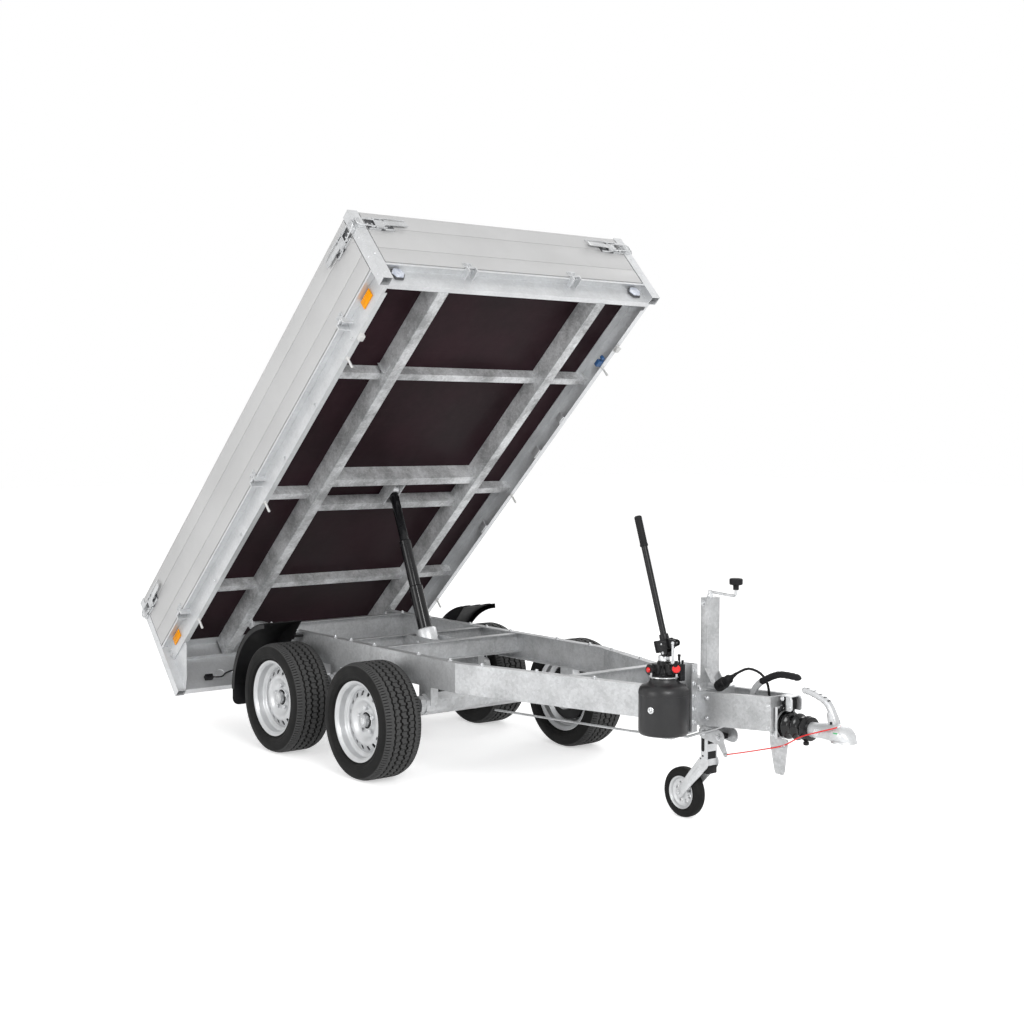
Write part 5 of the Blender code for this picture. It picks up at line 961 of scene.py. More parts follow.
def latches(name, matrix, half):
    """An over-centre latch near each end of a board: base, toggle, loop and long handle. Its base plates are dark grey
    as painted shade round the bright latch.
    """
    form, shade_plates = bmesh.new(), bmesh.new()
    rivets = []
    out = matrix.to_3x3() @ Vector((-1, 0, 0))
    face = BOARD_HINGE_OUT
    middle = 0.37 - BOARD_HINGE_W
    for end in (-1, 1):
        def spot(along, up, proud):
            """A place so far from the board's end, over the latch's middle and out of the face."""
            place = half - LATCH_START - (along - LATCH_EDGE) * LATCH_SIZE
            return matrix @ Vector((face - proud * LATCH_DEPTH, end * place, middle + up * LATCH_SIZE))

        def turned_block(along, up, proud, bevel, into=None):
            corners = [matrix.inverted() @ spot(along[side], up[side], proud[side]) for side in (0, 1)]
            block(into or form, *corners, matrix, bevel)

        # Dark grey base plates behind each latch: painted shade that sets the bright parts off
        turned_block((0.022, 0.072), (-0.021, 0.021), (-0.0005, 0.0022), 0.001, shade_plates)
        turned_block((0.07, 0.104), (-0.019, 0.004), (-0.0005, 0.0022), 0.001, shade_plates)
        for sizes in LATCH_BLOCKS:
            turned_block(*sizes)
        for along in (0.048, 0.068):
            pipe(form, [spot(along, -0.0195, 0.0068), spot(along, 0.0195, 0.0068)], 0.0042, 12)
        half_loop = [(0.048, -0.0125, 0.0072), (0.02, -0.012, 0.0085), (0.002, -0.011, 0.0092),
                     (-0.008, -0.009, 0.0094), (-0.0115, -0.004, 0.0094)]
        loop = half_loop + [(along, -up, proud) for along, up, proud in reversed(half_loop)]
        pipe(form, smooth_route([spot(*place) for place in loop], 3), 0.0034, 8)
        handle = [spot(0.07, 0.0, 0.008), spot(0.09, 0.001, 0.0098), spot(0.116, 0.002, 0.0104),
                  spot(0.14, 0.003, 0.0098), spot(0.148, 0.0035, 0.0114)]
        bar(form, handle, 0.026, 0.003, matrix.to_3x3() @ Vector((0, 0, 1)), 0.0006)
        pipe(form, smooth_route([spot(0.062, 0.015, 0.0105), spot(0.09, 0.02, 0.0085), spot(0.13, 0.02, 0.0072),
                                 spot(0.15, 0.0205, 0.006)], 4), 0.0028, 8)
        pipe(form, smooth_route([spot(0.066, -0.0185, 0.009), spot(0.074, -0.021, 0.006), spot(0.098, -0.019, 0.004)],
                                4), 0.0024, 8)
        rivets += [(spot(along, up, 0.002), out) for along,
                   up in ((0.026, 0.0), (0.0975, -0.0145), (0.0975, 0.015), (0.04, 0.0))]
    add_piece(name + "_latches", form, "cast_zinc", name)
    # The base plates take the dark lamp_base finish as painted shade
    add_piece(name + "_latch_seats", shade_plates, "lamp_base", name)
    add_copies(name + "_latch_rivets", rivet(0.0052, 0.0022), rivets, name)


def make_bed_fittings():
    """Bolts, keepers, rope hooks, reflectors and small brackets on the bed's frame."""
    turn = BED.to_3x3()

    def facing(u, v, w):
        return turn @ Vector((u, v, w))

    bolts, rivets, keepers = [], [], bmesh.new()
    for side in SIDES.values():
        web = side * (BED_HALF - FRAME_INSET)
        for end_u, out in ((BED_LENGTH, 1), (0.0, -1)):
            middle_u = end_u - out * POST_U / 2
            face_v = side * (BED_HALF + 0.0002)
            rivets += [(BED @ Vector((middle_u, face_v, w)), facing(0, side, 0)) for w in (0.08, 0.185, 0.3)]
            across = side * (BED_HALF - POST_V / 2)
            for inner, outer, half_u, half_v, low_w, soft in ((-0.001, 0.0075, 0.016, 0.017, 0.34, 0.004),
                                                              (0.006, 0.0155, 0.007, 0.007, 0.35, 0.0035)):
                high_w = 0.74 - low_w
                block(keepers, (middle_u - half_u, side * (BED_HALF + inner), low_w),
                      (middle_u + half_u, side * (BED_HALF + outer), high_w), BED, soft)
                block(keepers, (end_u + out * inner, across - half_v, low_w),
                      (end_u + out * outer, across + half_v, high_w), BED, soft)
            rivets += [(BED @ Vector((end_u + out * 0.0012, across, w)), facing(out, 0, 0))
                       for w in (0.072, 0.185, 0.3)]
            bolts += [(BED @ Vector((end_u - out * (POST_U + 0.012), web + side * 0.0004, w)), facing(0, side, 0))
                      for w in (0.062, 0.098)]
        for u in (0.7, 1.06, 1.62, 1.98, 2.4):
            bolts.append((BED @ Vector((u, web + side * 0.0004, 0.058)), facing(0, side, 0)))
    add_piece("latch_keepers", keepers, "cast_zinc", "bed")
    add_copies("bed_frame_bolts", hex_bolt(0.0115, 0.005), bolts, "bed")
    add_copies("post_rivets", rivet(0.005, 0.0024), rivets, "bed")
    amber = bmesh.new()
    hooks = bmesh.new()
    for side in SIDES.values():
        web = side * (BED_HALF - FRAME_INSET)
        for low_u, high_u in ((2.557, 2.641), (0.126, 0.21)):
            block(amber, (low_u, web + side * 0.0004, 0.078), (high_u, web + side * 0.0062, 0.1215), BED, 0.0022)
        low_v = side * (BED_HALF - FRAME_INSET - 0.014)
        for u in (2.302, 1.324, 0.402):
            route = [(u, low_v, 0.05), (u, low_v, 0.012), (u, low_v, -0.016), (u, low_v, -0.018)]
            pipe(hooks, [BED @ Vector(point) for point in route], [0.0058, 0.0058, 0.0058, 0.004], 14)
            lathe(hooks, [(0, 0.04), (0.0095, 0.04), (0.0105, 0.0385), (0.0105, 0.034), (0, 0.033)],
                  BED @ moved((u, low_v, 0)), 18)
        block(hooks, (2.424, low_v - 0.012, 0.018), (2.456, low_v + 0.012, 0.04), BED, 0.003)
    add_piece("side_reflectors", amber, "amber_reflector", "bed")
    add_piece("rope_hooks", hooks, "pale_rope_hook", "bed")
    fittings = bmesh.new()
    for u, half in ((1.91, 0.025), (1.648, 0.031), (1.032, 0.031)):
        for v, w, soft in ((0.7545, 0.0435, 0.0008), (0.7215, 0.078, 0.001)):
            block(fittings, (u - half, 0.718, 0.0405), (u + half, v, w), BED, soft)
    add_piece("frame_brackets", fittings, "cast_zinc", "bed")
    clip = bmesh.new()
    block(clip, (2.3, 0.7, 0.042), (2.336, 0.74, 0.064), BED, 0.003)
    lathe(clip, [(0.0, 0.012), (0.008, 0.011), (0.01, 0.008), (0.01, -0.008), (0.008, -0.011), (0.0, -0.012)],
          BED @ moved((2.35, 0.72, 0.056)), 20)
    add_piece("lead_clip", clip, "blue_clip", "bed")
    strip = bmesh.new()
    low_v = -0.4795
    block(strip, (2.196, low_v - 0.0035, 0.06), (2.236, low_v - 0.0002, 0.12), BED, 0.001)
    block(strip, (2.196, low_v - 0.02, 0.06), (2.199, low_v - 0.0002, 0.12), BED, 0.0008)
    add_piece("tube_bracket", strip, "cast_zinc", "bed")


LAMP_V = BED_HALF - 0.1115
LAMP_W = 0.096
LAMP_U = BED_LENGTH - FRAME_INSET


def stretched(radius):
    """A hexagon that is wider across the bed than it is tall."""
    return [(x, y * 1.15) for x, y in arc(radius, 6, start=radians(30))]


def make_lamps():
    """Six-sided front marker lamps and the lamps on the apron."""
    for side_name, side in SIDES.items():
        matrix = BED @ moved((LAMP_U, side * LAMP_V, LAMP_W)) @ turned(90, "Y")
        base = bmesh.new()
        prism(base, stretched(0.0345), 0.0003, 0.0075, matrix, 0.0016)
        prism(base, stretched(0.03), 0.007, 0.0105, matrix, 0.001)
        add_piece("front_lamp_base_" + side_name, base, "lamp_base", "bed")
        lens = bmesh.new()
        outline = [[matrix @ Vector((x, y, height)) for x, y in stretched(radius)]
                   for radius, height in ((0.0288, 0.009), (0.0288, 0.015), (0.0255, 0.019), (0.015, 0.0205))]
        skin(lens, [[lens.verts.new(point) for point in row] for row in outline], ends=True)
        soften(lens, list(lens.edges), 0.0012)
        add_piece("front_lamp_lens_" + side_name, lens, "lamp_lens", "bed", "front_lamp_" + side_name)
        outer = BED_HALF - POST_V - 0.022
        back, face, width = 0.0367, 0.0067, 0.22
        tail = bmesh.new()
        block(tail, (face + 0.008, side * (outer - width), -0.125), (back, side * outer, -0.025), BED, 0.005, 3)
        add_piece("tail_lamp_base_" + side_name, tail, "lamp_base", "bed", "tail_lamp_" + side_name)
        for part, finish, start, end in (("tail", "red_lamp", 0.02, 0.4), ("turn", "amber_lamp", 0.41, 0.68),
                                         ("reverse", "lamp_lens", 0.69, 0.98)):
            lens = bmesh.new()
            first, second = sorted(side * (outer - width * (1 - share)) for share in (start, end))
            block(lens, (face, first, -0.119), (face + 0.01, second, -0.031), BED, 0.004, 3)
            for row in range(7):
                w = -0.112 + row * 0.012
                block(lens, (face - 0.0005, first + 0.006, w), (face + 0.002, second - 0.006, w + 0.005), BED, 0.0006,
                      1)
            add_piece(f"{part}_lens_{side_name}", lens, finish, "bed")
    clips = bmesh.new()
    dark = bmesh.new()
    turn = turned(90, "Y")
    ring_at = BED @ moved((0.0402, -0.52, -0.07)) @ turn
    lathe(clips, [(0.03, 0.0), (0.03, 0.0022), (0.027, 0.0034), (0.024, 0.0022), (0.024, 0.0)], ring_at, 36,
          closed=True)
    for side in SIDES.values():
        block(dark, (0.041, side * 0.6 - 0.022, -0.104), (0.066, side * 0.6 + 0.022, -0.078), BED, 0.003)
        lead = [(0.06, side * 0.6, -0.09), (0.08, side * 0.59, -0.11), (0.086, side * 0.56, -0.118),
                (0.07, side * 0.53, -0.104), (0.056, side * 0.5, -0.08), (0.052, side * 0.46, -0.066),
                (0.048, side * 0.42, -0.06), (0.046, side * 0.38, -0.058), (0.042, side * 0.34, -0.056)]
        pipe(dark, [BED @ Vector(point) for point in smooth_route(lead, 4)], 0.0038, 8)
        for v in (0.45, 0.36):
            block(clips, (0.0402, side * v - 0.006, -0.074), (0.052, side * v + 0.006, -0.05), BED, 0.002)
    add_piece("apron_clips", clips, "cast_zinc", "bed")
    add_piece("apron_lead", dark, "black_plastic", "bed")


STAGE_RADII = (0.0225, 0.0285, 0.0345)


def cylinder_frame():
    """The lean of the cylinder: its trunnions, and its axis up to the rod's eye."""
    foot = Vector(JOINTS["cylinder_lean"]["pos_m"])
    along = Vector(JOINTS["cylinder_rod_slide"]["axis"]).normalized()
    along = along if along.z > 0 else -along
    eye = BED @ Vector((1.335, 0, 0.095))
    return axes_matrix(foot, along.cross(Vector((0, 1, 0))), along), (eye - foot).length


def make_cylinder():
    """Barrel with its collar, two glossy stages with wiper rings, and the rod."""
    matrix, length = cylinder_frame()
    barrel = bmesh.new()
    lathe(barrel, [(0.0355, 0.045), (0.0372, 0.0462), (0.044, 0.0462), (0.0465, 0.044), (0.0466, -0.034),
                   (0.047, -0.035), (0.047, -0.322), (0.045, -0.327), (0.042, -0.33), (0.0, -0.33),
                   (0.0, -0.265), (0.0355, -0.265)], matrix, 64)
    pipe(barrel, [matrix @ Vector((0.046, 0, -0.3)), matrix @ Vector((0.062, 0, -0.3)),
                  matrix @ Vector((0.066, 0, -0.296)), matrix @ Vector((0.066, 0, -0.276))], 0.008, 16)
    add_piece("fine_barrel", barrel, "black_steel", "cylinder_barrel", "cylinder_barrel")
    collar = bmesh.new()
    lathe(collar, [(0.04, 0.064), (0.048, 0.0645), (0.0505, 0.0625), (0.052, 0.059), (0.052, -0.024),
                   (0.0505, -0.0265), (0.05, -0.03), (0.0468, -0.031), (0.0468, 0.044), (0.04, 0.047)],
          matrix, 64, closed=True)
    trunnion = matrix @ turned(90, "X")
    for side in SIDES.values():
        turn = trunnion @ Matrix.Diagonal((1, 1, side, 1))
        lathe(collar, [(0, 0.07), (0.0105, 0.07), (0.0125, 0.068), (0.0125, 0.048), (0.02, 0.048),
                       (0.02, 0.044), (0, 0.044)], turn, 28)
    add_piece("barrel_collar", collar, "cast_zinc", "cylinder_barrel")
    stroke = (length - (0.53 + 0.095 - 0.009 - 0.515)) / 3
    base = 0.045
    for order, index in ((1, 2), (2, 1)):
        top = base + stroke + 0.005
        outer, inner = STAGE_RADII[index], STAGE_RADII[index] - 0.005
        stage = bmesh.new()
        lathe(stage, [(inner, top - 0.0008), (inner + 0.0008, top), (outer - 0.002, top), (outer, top - 0.0018),
                      (outer, top - 0.02), (outer - 0.0007, top - 0.0208), (outer - 0.0007, top - 0.024),
                      (outer, top - 0.0248), (outer, base - 0.05), (inner, base - 0.05)], matrix, 56, closed=True)
        add_piece(f"fine_stage_{order}", stage, "chromed_steel", f"cylinder_stage_{order}",
                  f"cylinder_stage_{order}")
        wiper = bmesh.new()
        lathe(wiper, [(inner + 0.0001, top + 0.0002), (inner + 0.002, top + 0.0022), (outer - 0.0016, top + 0.0016),
                      (outer - 0.001, top + 0.0002)], matrix, 48, closed=True)
        add_piece(f"stage_wiper_{order}", wiper, "black_plastic", f"cylinder_stage_{order}")
        base = top
    rod = bmesh.new()
    lathe(rod, [(0, length - 0.027), (0.02, length - 0.027), (0.0225, length - 0.031), (0.0225, base - 0.05),
                (0, base - 0.05)], matrix, 56)
    add_piece("fine_rod", rod, "chromed_steel", "cylinder_rod", "cylinder_rod")
    eye = bmesh.new()
    head = matrix @ moved((0, 0, length)) @ turned(90, "X")
    lathe(eye, [(0.02, 0.024), (0.0275, 0.024), (0.029, 0.0225), (0.029, -0.0225), (0.0275, -0.024), (0.02, -0.024)],
          head, 40, closed=True)
    add_piece("rod_eye", eye, "cast_zinc", "cylinder_rod")


TANK_TOP = 0.585
TANK_LOW = 0.4
PUMP_TOP = at(1.895, -0.262, TANK_TOP)


def pump_place(x, y, z):
    """A place over the middle of the tank's top."""
    return PUMP_TOP + Vector((x, y, z))


def make_pump():
    """The hand pump: tank, cast head with its valves, clevis, lever and grip."""
    crown = moved(PUMP_TOP)
    low = TANK_LOW - TANK_TOP
    tank = bmesh.new()
    lathe(tank, [(0, 0.0335), (0.047, 0.0335), (0.053, 0.03), (0.056, 0.02), (0.062, 0.013), (0.074, 0.0075),
                 (0.086, 0.0025), (0.093, -0.005), (0.0968, -0.014), (0.0985, -0.024), (0.0985, -0.03),
                 (0.0975, -0.031), (0.0975, low + 0.02), (0.097, low + 0.012), (0.095, low + 0.005),
                 (0.0915, low + 0.0012), (0.088, low), (0, low)], crown, 72)
    add_piece("pump_tank", tank, "tank_steel", "chassis", "pump")
    bright = bmesh.new()
    lathe(bright, [(0.048, 0.033), (0.0545, 0.0334), (0.0568, 0.035), (0.0562, 0.038),
                   (0.053, 0.0392), (0.048, 0.0392)], crown, 64, closed=True)
    lathe(bright, [(0.015, 0.096), (0.0214, 0.096), (0.0222, 0.0975), (0.0222, 0.115),
                   (0.0206, 0.118), (0.015, 0.1185)], crown, 40, closed=True)
    turn = radians(-73.6)
    outward = Vector((cos(turn), sin(turn), 0))
    plug = axes_matrix(pump_place(*(outward * 0.097)) + Vector((0, 0, 0.504 - TANK_TOP)), (0, 0, 1), outward)
    lathe(bright, [(0.006, 0.0035), (0.0075, 0.0052), (0.011, 0.0052), (0.0128, 0.0036), (0.013, -0.001),
                   (0.006, -0.001)], plug, 32, closed=True)
    prism(bright, arc(0.0052, 6), -0.0005, 0.004, plug, 0.0005)
    for turn in (-100, 10, 80, 150):
        a = radians(turn)
        spot = crown @ Matrix.Rotation(a, 4, "Z")
        bar(bright, [spot @ Vector(point) for point in ((0.05, 0, 0.06), (0.059, 0, 0.054),
                                                        (0.06, 0, 0.04), (0.0545, 0, 0.031))],
            0.009, 0.003, spot.to_3x3() @ Vector((0, 1, 0)), 0.0006)
    add_piece("pump_bands", bright, "bright_zinc")
    head = bmesh.new()
    lathe(head, [(0, 0.0985), (0.02, 0.0985), (0.0258, 0.0955), (0.0268, 0.09), (0.0268, 0.072), (0.031, 0.064),
                 (0.034, 0.052), (0.043, 0.045), (0.048, 0.042), (0.048, 0.0335), (0, 0.0335)], crown, 48)
    for turn in ring(6, radians(12)):
        prism(head, arc(0.006, 6, (0.042 * cos(turn), 0.042 * sin(turn))), 0.043, 0.05, crown, 0.0006, 1)
    for low, high, soft in (((-0.043, -0.04, 0.046), (0.012, 0.026, 0.086), 0.006),
                            ((0.012, -0.02, 0.046), (0.048, 0.028, 0.09), 0.006),
                            ((0.024, 0.034, 0.02), (0.056, 0.06, 0.086), 0.004),
                            ((0.05, -0.008, 0.08), (0.07, 0.008, 0.104), 0.004)):
        block(head, pump_place(*low), pump_place(*high), bevel=soft)
    knobs = bmesh.new()
    for place, along, radius in (((0.054, 0.01, 0.073), (0.8, -0.58, 0.12), 0.0158),
                                 ((-0.0235, -0.048, 0.064), (-0.1, -0.99, 0.05), 0.0095)):
        valve = axes_matrix(pump_place(*place), (0, 0, 1), Vector(along).normalized())
        lathe(head, [(0, 0.01), (0.019, 0.01), (0.0212, 0.008), (0.0215, -0.002), (0.0185, -0.005),
                     (0.018, -0.03), (0, -0.03)], valve, 32)
        prism(head, arc(0.0228, 6), -0.018, -0.006, valve, 0.0016)
        lathe(knobs, [(0, 0.017), (radius * 0.55, 0.0168), (radius * 0.85, 0.0156), (radius * 0.98, 0.0136),
                      (radius, 0.011), (radius, 0.0096), (0, 0.0096)], valve, 32)
        for turn in ring(10):
            nub = valve @ Matrix.Rotation(turn, 4, "Z") @ moved((radius * 0.97, 0, 0.0125))
            block(knobs, (-0.001, -0.0012, -0.0025), (0.001, 0.0012, 0.002), nub, 0.0005, 1)
    for x, y, radius, low, high in ((0.0365, 0.0445, 0.0062, 0.08, 0.122), (0.048, 0.052, 0.005, 0.08, 0.1),
                                    (-0.03, 0.01, 0.008, 0.08, 0.096)):
        lathe(head, [(0, high), (radius * 0.8, high), (radius, high - 0.0015), (radius, high - 0.008),
                     (radius * 0.8, high - 0.009), (radius * 0.8, low), (0, low)], moved(pump_place(x, y, 0)), 20)
    add_piece("pump_head_casting", head, "black_steel")
    add_piece("pump_knobs", knobs, "red_knob")
    make_pump_lever()


def make_pump_lever():
    """The lever with its cross socket on the plunger's fork, the grip, and the link."""
    pivot = pump_place(0.018, 0.0, 0.131)
    tip = pump_place(-0.155, 0.0, 0.645)
    along = (tip - pivot).normalized()
    across = along.cross(Vector((0, -1, 0))).normalized()
    across = across if across.x > 0 else -across
    centre = pivot + along * 0.03
    socket = axes_matrix(centre, along, across)
    lever = bmesh.new()
    pipe(lever, [centre + along * 0.015, centre + along * 0.24, tip - along * 0.115], 0.0124, 28)
    square_tube(lever, 0.0215, 0.0205, -0.04, 0.026, 0.004, socket)
    block(lever, (-0.018, -0.017, -0.018), (0.018, 0.017, 0.025), socket, 0.001)
    square_tube(lever, 0.0235, 0.0225, -0.04, -0.033, 0.006, socket)
    lathe(lever, [(0.012, 0.042), (0.016, 0.042), (0.018, 0.04), (0.019, 0.015), (0.012, 0.015)],
          axes_matrix(centre, across, along), 32, closed=True)
    for side in SIDES.values():
        for ear, y in ((capsule((0.0, 0.0), (-0.008, 0.028), 0.015, 0.02), side * 0.019),
                       (capsule((0.01, 0.036), (0.044, 0.042), 0.02, 0.012), side * 0.01)):
            prism(lever, ear, -y - 0.003, -y + 0.003, moved(pivot) @ UPRIGHT, 0.001)
    block(lever, pump_place(0.002, -0.014, 0.116), pump_place(0.034, 0.014, 0.136), bevel=0.004)
    add_piece("pump_lever_tube", lever, "black_steel", "chassis", "pump_lever")
    grip = bmesh.new()
    profile = [(0, 0.0), (0.011, 0.0), (0.0145, -0.003), (0.015, -0.01)]
    for index in range(14):
        low = -0.014 - index * 0.007
        profile += [(0.015, low), (0.0143, low - 0.0012), (0.0143, low - 0.0026), (0.015, low - 0.0038)]
    profile += [(0.015, -0.113), (0.0162, -0.115), (0.0162, -0.12), (0.015, -0.122), (0, -0.1222)]
    lathe(grip, profile, axes_matrix(tip, across, along), 36)
    add_piece("pump_lever_grip", grip, "grip_rubber")
    link = bmesh.new()
    low, high = pump_place(0.062, -0.0145, 0.1), pump_place(0.062, -0.0145, 0.172)
    bar(link, [low, low.lerp(high, 0.5), high], 0.0095, 0.0034, (1, 0, 0), 0.0006)
    for place in (low, high):
        prism(link, arc(0.0075, 20), -0.0022, 0.0022, moved(place) @ UPRIGHT, 0.0006)
        pipe(link, [place + Vector((0, step, 0)) for step in (-0.0055, 0.029)], 0.0042, 14)
    pipe(link, [pivot + Vector((0, side * 0.0255, 0)) for side in (-1, 1)], 0.0055, 16)
    pipe(link, [centre + along * 0.004 + Vector((0, side * 0.0232, 0)) for side in (-1, 1)], 0.0036, 14)
    add_piece("pump_link", link, "bright_zinc")


def beam_face(side):
    """The end of a beam's outer face: X forward along the beam, Y outwards, Z up."""
    slant = math.atan2(0.4326 - 0.105, 1.925 - 0.774)
    along = Vector((cos(slant), -side * sin(slant), 0))
    return axes_matrix(at(1.925, side * 0.105, 0), along, (0, 0, 1))


def make_chassis_bolts():
    """Bolts and rivets of the frame, drawbar, bracket, mast foot and mudguards."""
    bolts, rivets = [], []
    hub_x, hub_z = GUARD_HUB
    face = beam_face(-1)
    out = face.to_3x3() @ Vector((0, -1, 0))
    bolts += [(face @ Vector((x, -0.0062, z)), out) for x in (-0.018, -0.096) for z in (0.44, 0.53, 0.612)]
    edge = face.to_3x3() @ Vector((1, 0, 0))
    bolts += [(face @ Vector((-0.0038, -0.027, z)), edge) for z in (0.436, 0.486, 0.536, 0.586, 0.636)]
    bolts += [(at(x, y, 0.555), (0, 0, 1)) for x, y in ((1.85, 0.075), (1.85, -0.075), (1.905, 0.078), (1.905, -0.078))]
    for side in SIDES.values():
        bolts += [(at(x, side * 0.406, 0.5497), (0, 0, 1)) for x in (-0.86, -0.6, -0.24, -0.1, 0.1, 0.46, 0.7)]
        for share in (0.1, 0.34, 0.58, 0.82):
            x, y = (start + (end - start) * share for start, end in ((0.774, 1.925), (0.4326, 0.105)))
            bolts.append((at(x, side * (y - 0.024), 0.5497), (0, 0, 1)))
        for turn in (104, 124, 150, 172):
            a = radians(turn)
            rivets.append((at(hub_x + 0.3602 * cos(a), side * 0.512, hub_z + 0.3602 * sin(a)), (cos(a), 0, sin(a))))
        bolts += [(at(hub_x - 0.362, side * y, 0.277), (-1, 0, 0)) for y in (0.53, 0.664)]
    add_copies("chassis_bolts", hex_bolt(0.013, 0.0062), bolts)
    add_copies("mudguard_rivets", rivet(0.0065, 0.003), rivets)


MAST_Y = 0.021
MAST_AT = at(1.862, MAST_Y, 0.0)
JOCKEY_HUB = at(1.727, MAST_Y, 0.102)
MAST_TOP = 0.905
MAST_LOW = 0.41
MAST_HALF = (0.02, 0.035)


def mast_place(x, y, z):
    return MAST_AT + Vector((x, y, z))


def make_mast():
    """The square mast on its foot, with its cap, crank, knob and bracket plates."""
    upright = moved(MAST_AT)
    mast = bmesh.new()
    square_tube(mast, *MAST_HALF, MAST_LOW, MAST_TOP - 0.003, 0.003, upright)
    prism(mast, rounded((-0.0205, -0.0355), (0.0205, 0.0355), 0.004), MAST_TOP - 0.003, MAST_TOP, upright, 0.001)
    block(mast, (-0.015, -0.0362, MAST_LOW + 0.16), (0.015, -0.0349, MAST_TOP - 0.012), upright, 0.0004)
    block(mast, at(1.832, -0.1, 0.5498), at(1.925, 0.1, 0.5548), bevel=0.0012)
    gusset = [(0.0, 0.553), (0.059, 0.553), (0.059, 0.558), (0.004, 0.635), (0.0, 0.635)]
    for y in (-0.0345, 0.0295):
        prism(mast, gusset, -y - 0.005, -y, upright @ UPRIGHT, 0.0008)
    bar(mast, [mast_place(0.019, -0.0355, 0.628), mast_place(0.05, -0.0355, 0.584), mast_place(0.06, -0.0355, 0.56)],
        0.026, 0.003, (0, 1, 0), 0.0006)
    for side in SIDES.values():
        y = MAST_Y + side * 0.039
        plate(mast, capsule((1.87, 0.372), (1.953, 0.364), 0.025, 0.029), y + 0.002, y - 0.002, 0.0008)
        if side < 0:
            plate(mast, capsule((1.953, 0.364), (1.99, 0.302), 0.02, 0.01), y + 0.0016, y - 0.0016, 0.0006)
        block(mast, (-0.018, side * 0.034, 0.388), (0.018, side * 0.038, 0.416), upright, 0.0008)
    pipe(mast, [at(1.9885, -0.024, 0.303), at(1.996, -0.024, 0.301)], 0.005, 12)
    add_piece("mast_tube", mast, "galvanised_steel", "chassis", "jockey_mast")
    crank = bmesh.new()
    lathe(crank, [(0, 0.029), (0.006, 0.029), (0.0085, 0.027), (0.009, 0.013), (0.0115, 0.012), (0.012, 0.004),
                  (0.015, 0.003), (0.015, 0.0), (0, 0.0)], moved(mast_place(0, 0, MAST_TOP)), 28)
    arm = smooth_route([(0, 0, 0.021), (0.03, 0, 0.0205), (0.08, 0, 0.018), (0.122, 0, 0.0165), (0.134, 0, 0.02),
                        (0.138, 0, 0.029), (0.138, 0, 0.048)], 5)
    pipe(crank, [mast_place(x, y, MAST_TOP + z) for x, y, z in arm], 0.0056, 16)
    add_piece("mast_crank", crank, "bright_zinc")
    knob = bmesh.new()
    lathe(knob, [(0, 0.086), (0.017, 0.0858), (0.023, 0.0848), (0.0254, 0.0826), (0.026, 0.0795), (0.026, 0.066),
                 (0.0252, 0.0625), (0.0225, 0.0604), (0.015, 0.0596), (0.012, 0.0575), (0.0112, 0.054),
                 (0.0114, 0.043), (0.0105, 0.0405), (0, 0.04)], moved(mast_place(0.138, 0, MAST_TOP)), 40)
    for turn in ring(12):
        x, y = 0.0252 * cos(turn), 0.0252 * sin(turn)
        lathe(knob, [(0, 0.0805), (0.0014, 0.08), (0.0018, 0.0785), (0.0018, 0.066), (0, 0.065)],
              moved(mast_place(0.138 + x * 0.98, y * 0.98, MAST_TOP)), 6)
    add_piece("crank_knob", knob, "grip_rubber")
    bolts = [(at(x, MAST_Y + side * 0.041, z), (0, side, 0)) for x, z in ((1.87, 0.372), (1.953, 0.364))
             for side in (-1, 1)]
    bolts += [(mast_place(-0.004, -0.0352, 0.883), (0, -1, 0))]
    add_copies("mast_bolts", hex_bolt(0.016, 0.0065), bolts)
    blocks = bmesh.new()
    block(blocks, mast_place(0.034, -0.0335, 0.348), mast_place(0.074, 0.0335, 0.37), bevel=0.004)
    add_piece("bracket_rubber", blocks, "black_plastic")


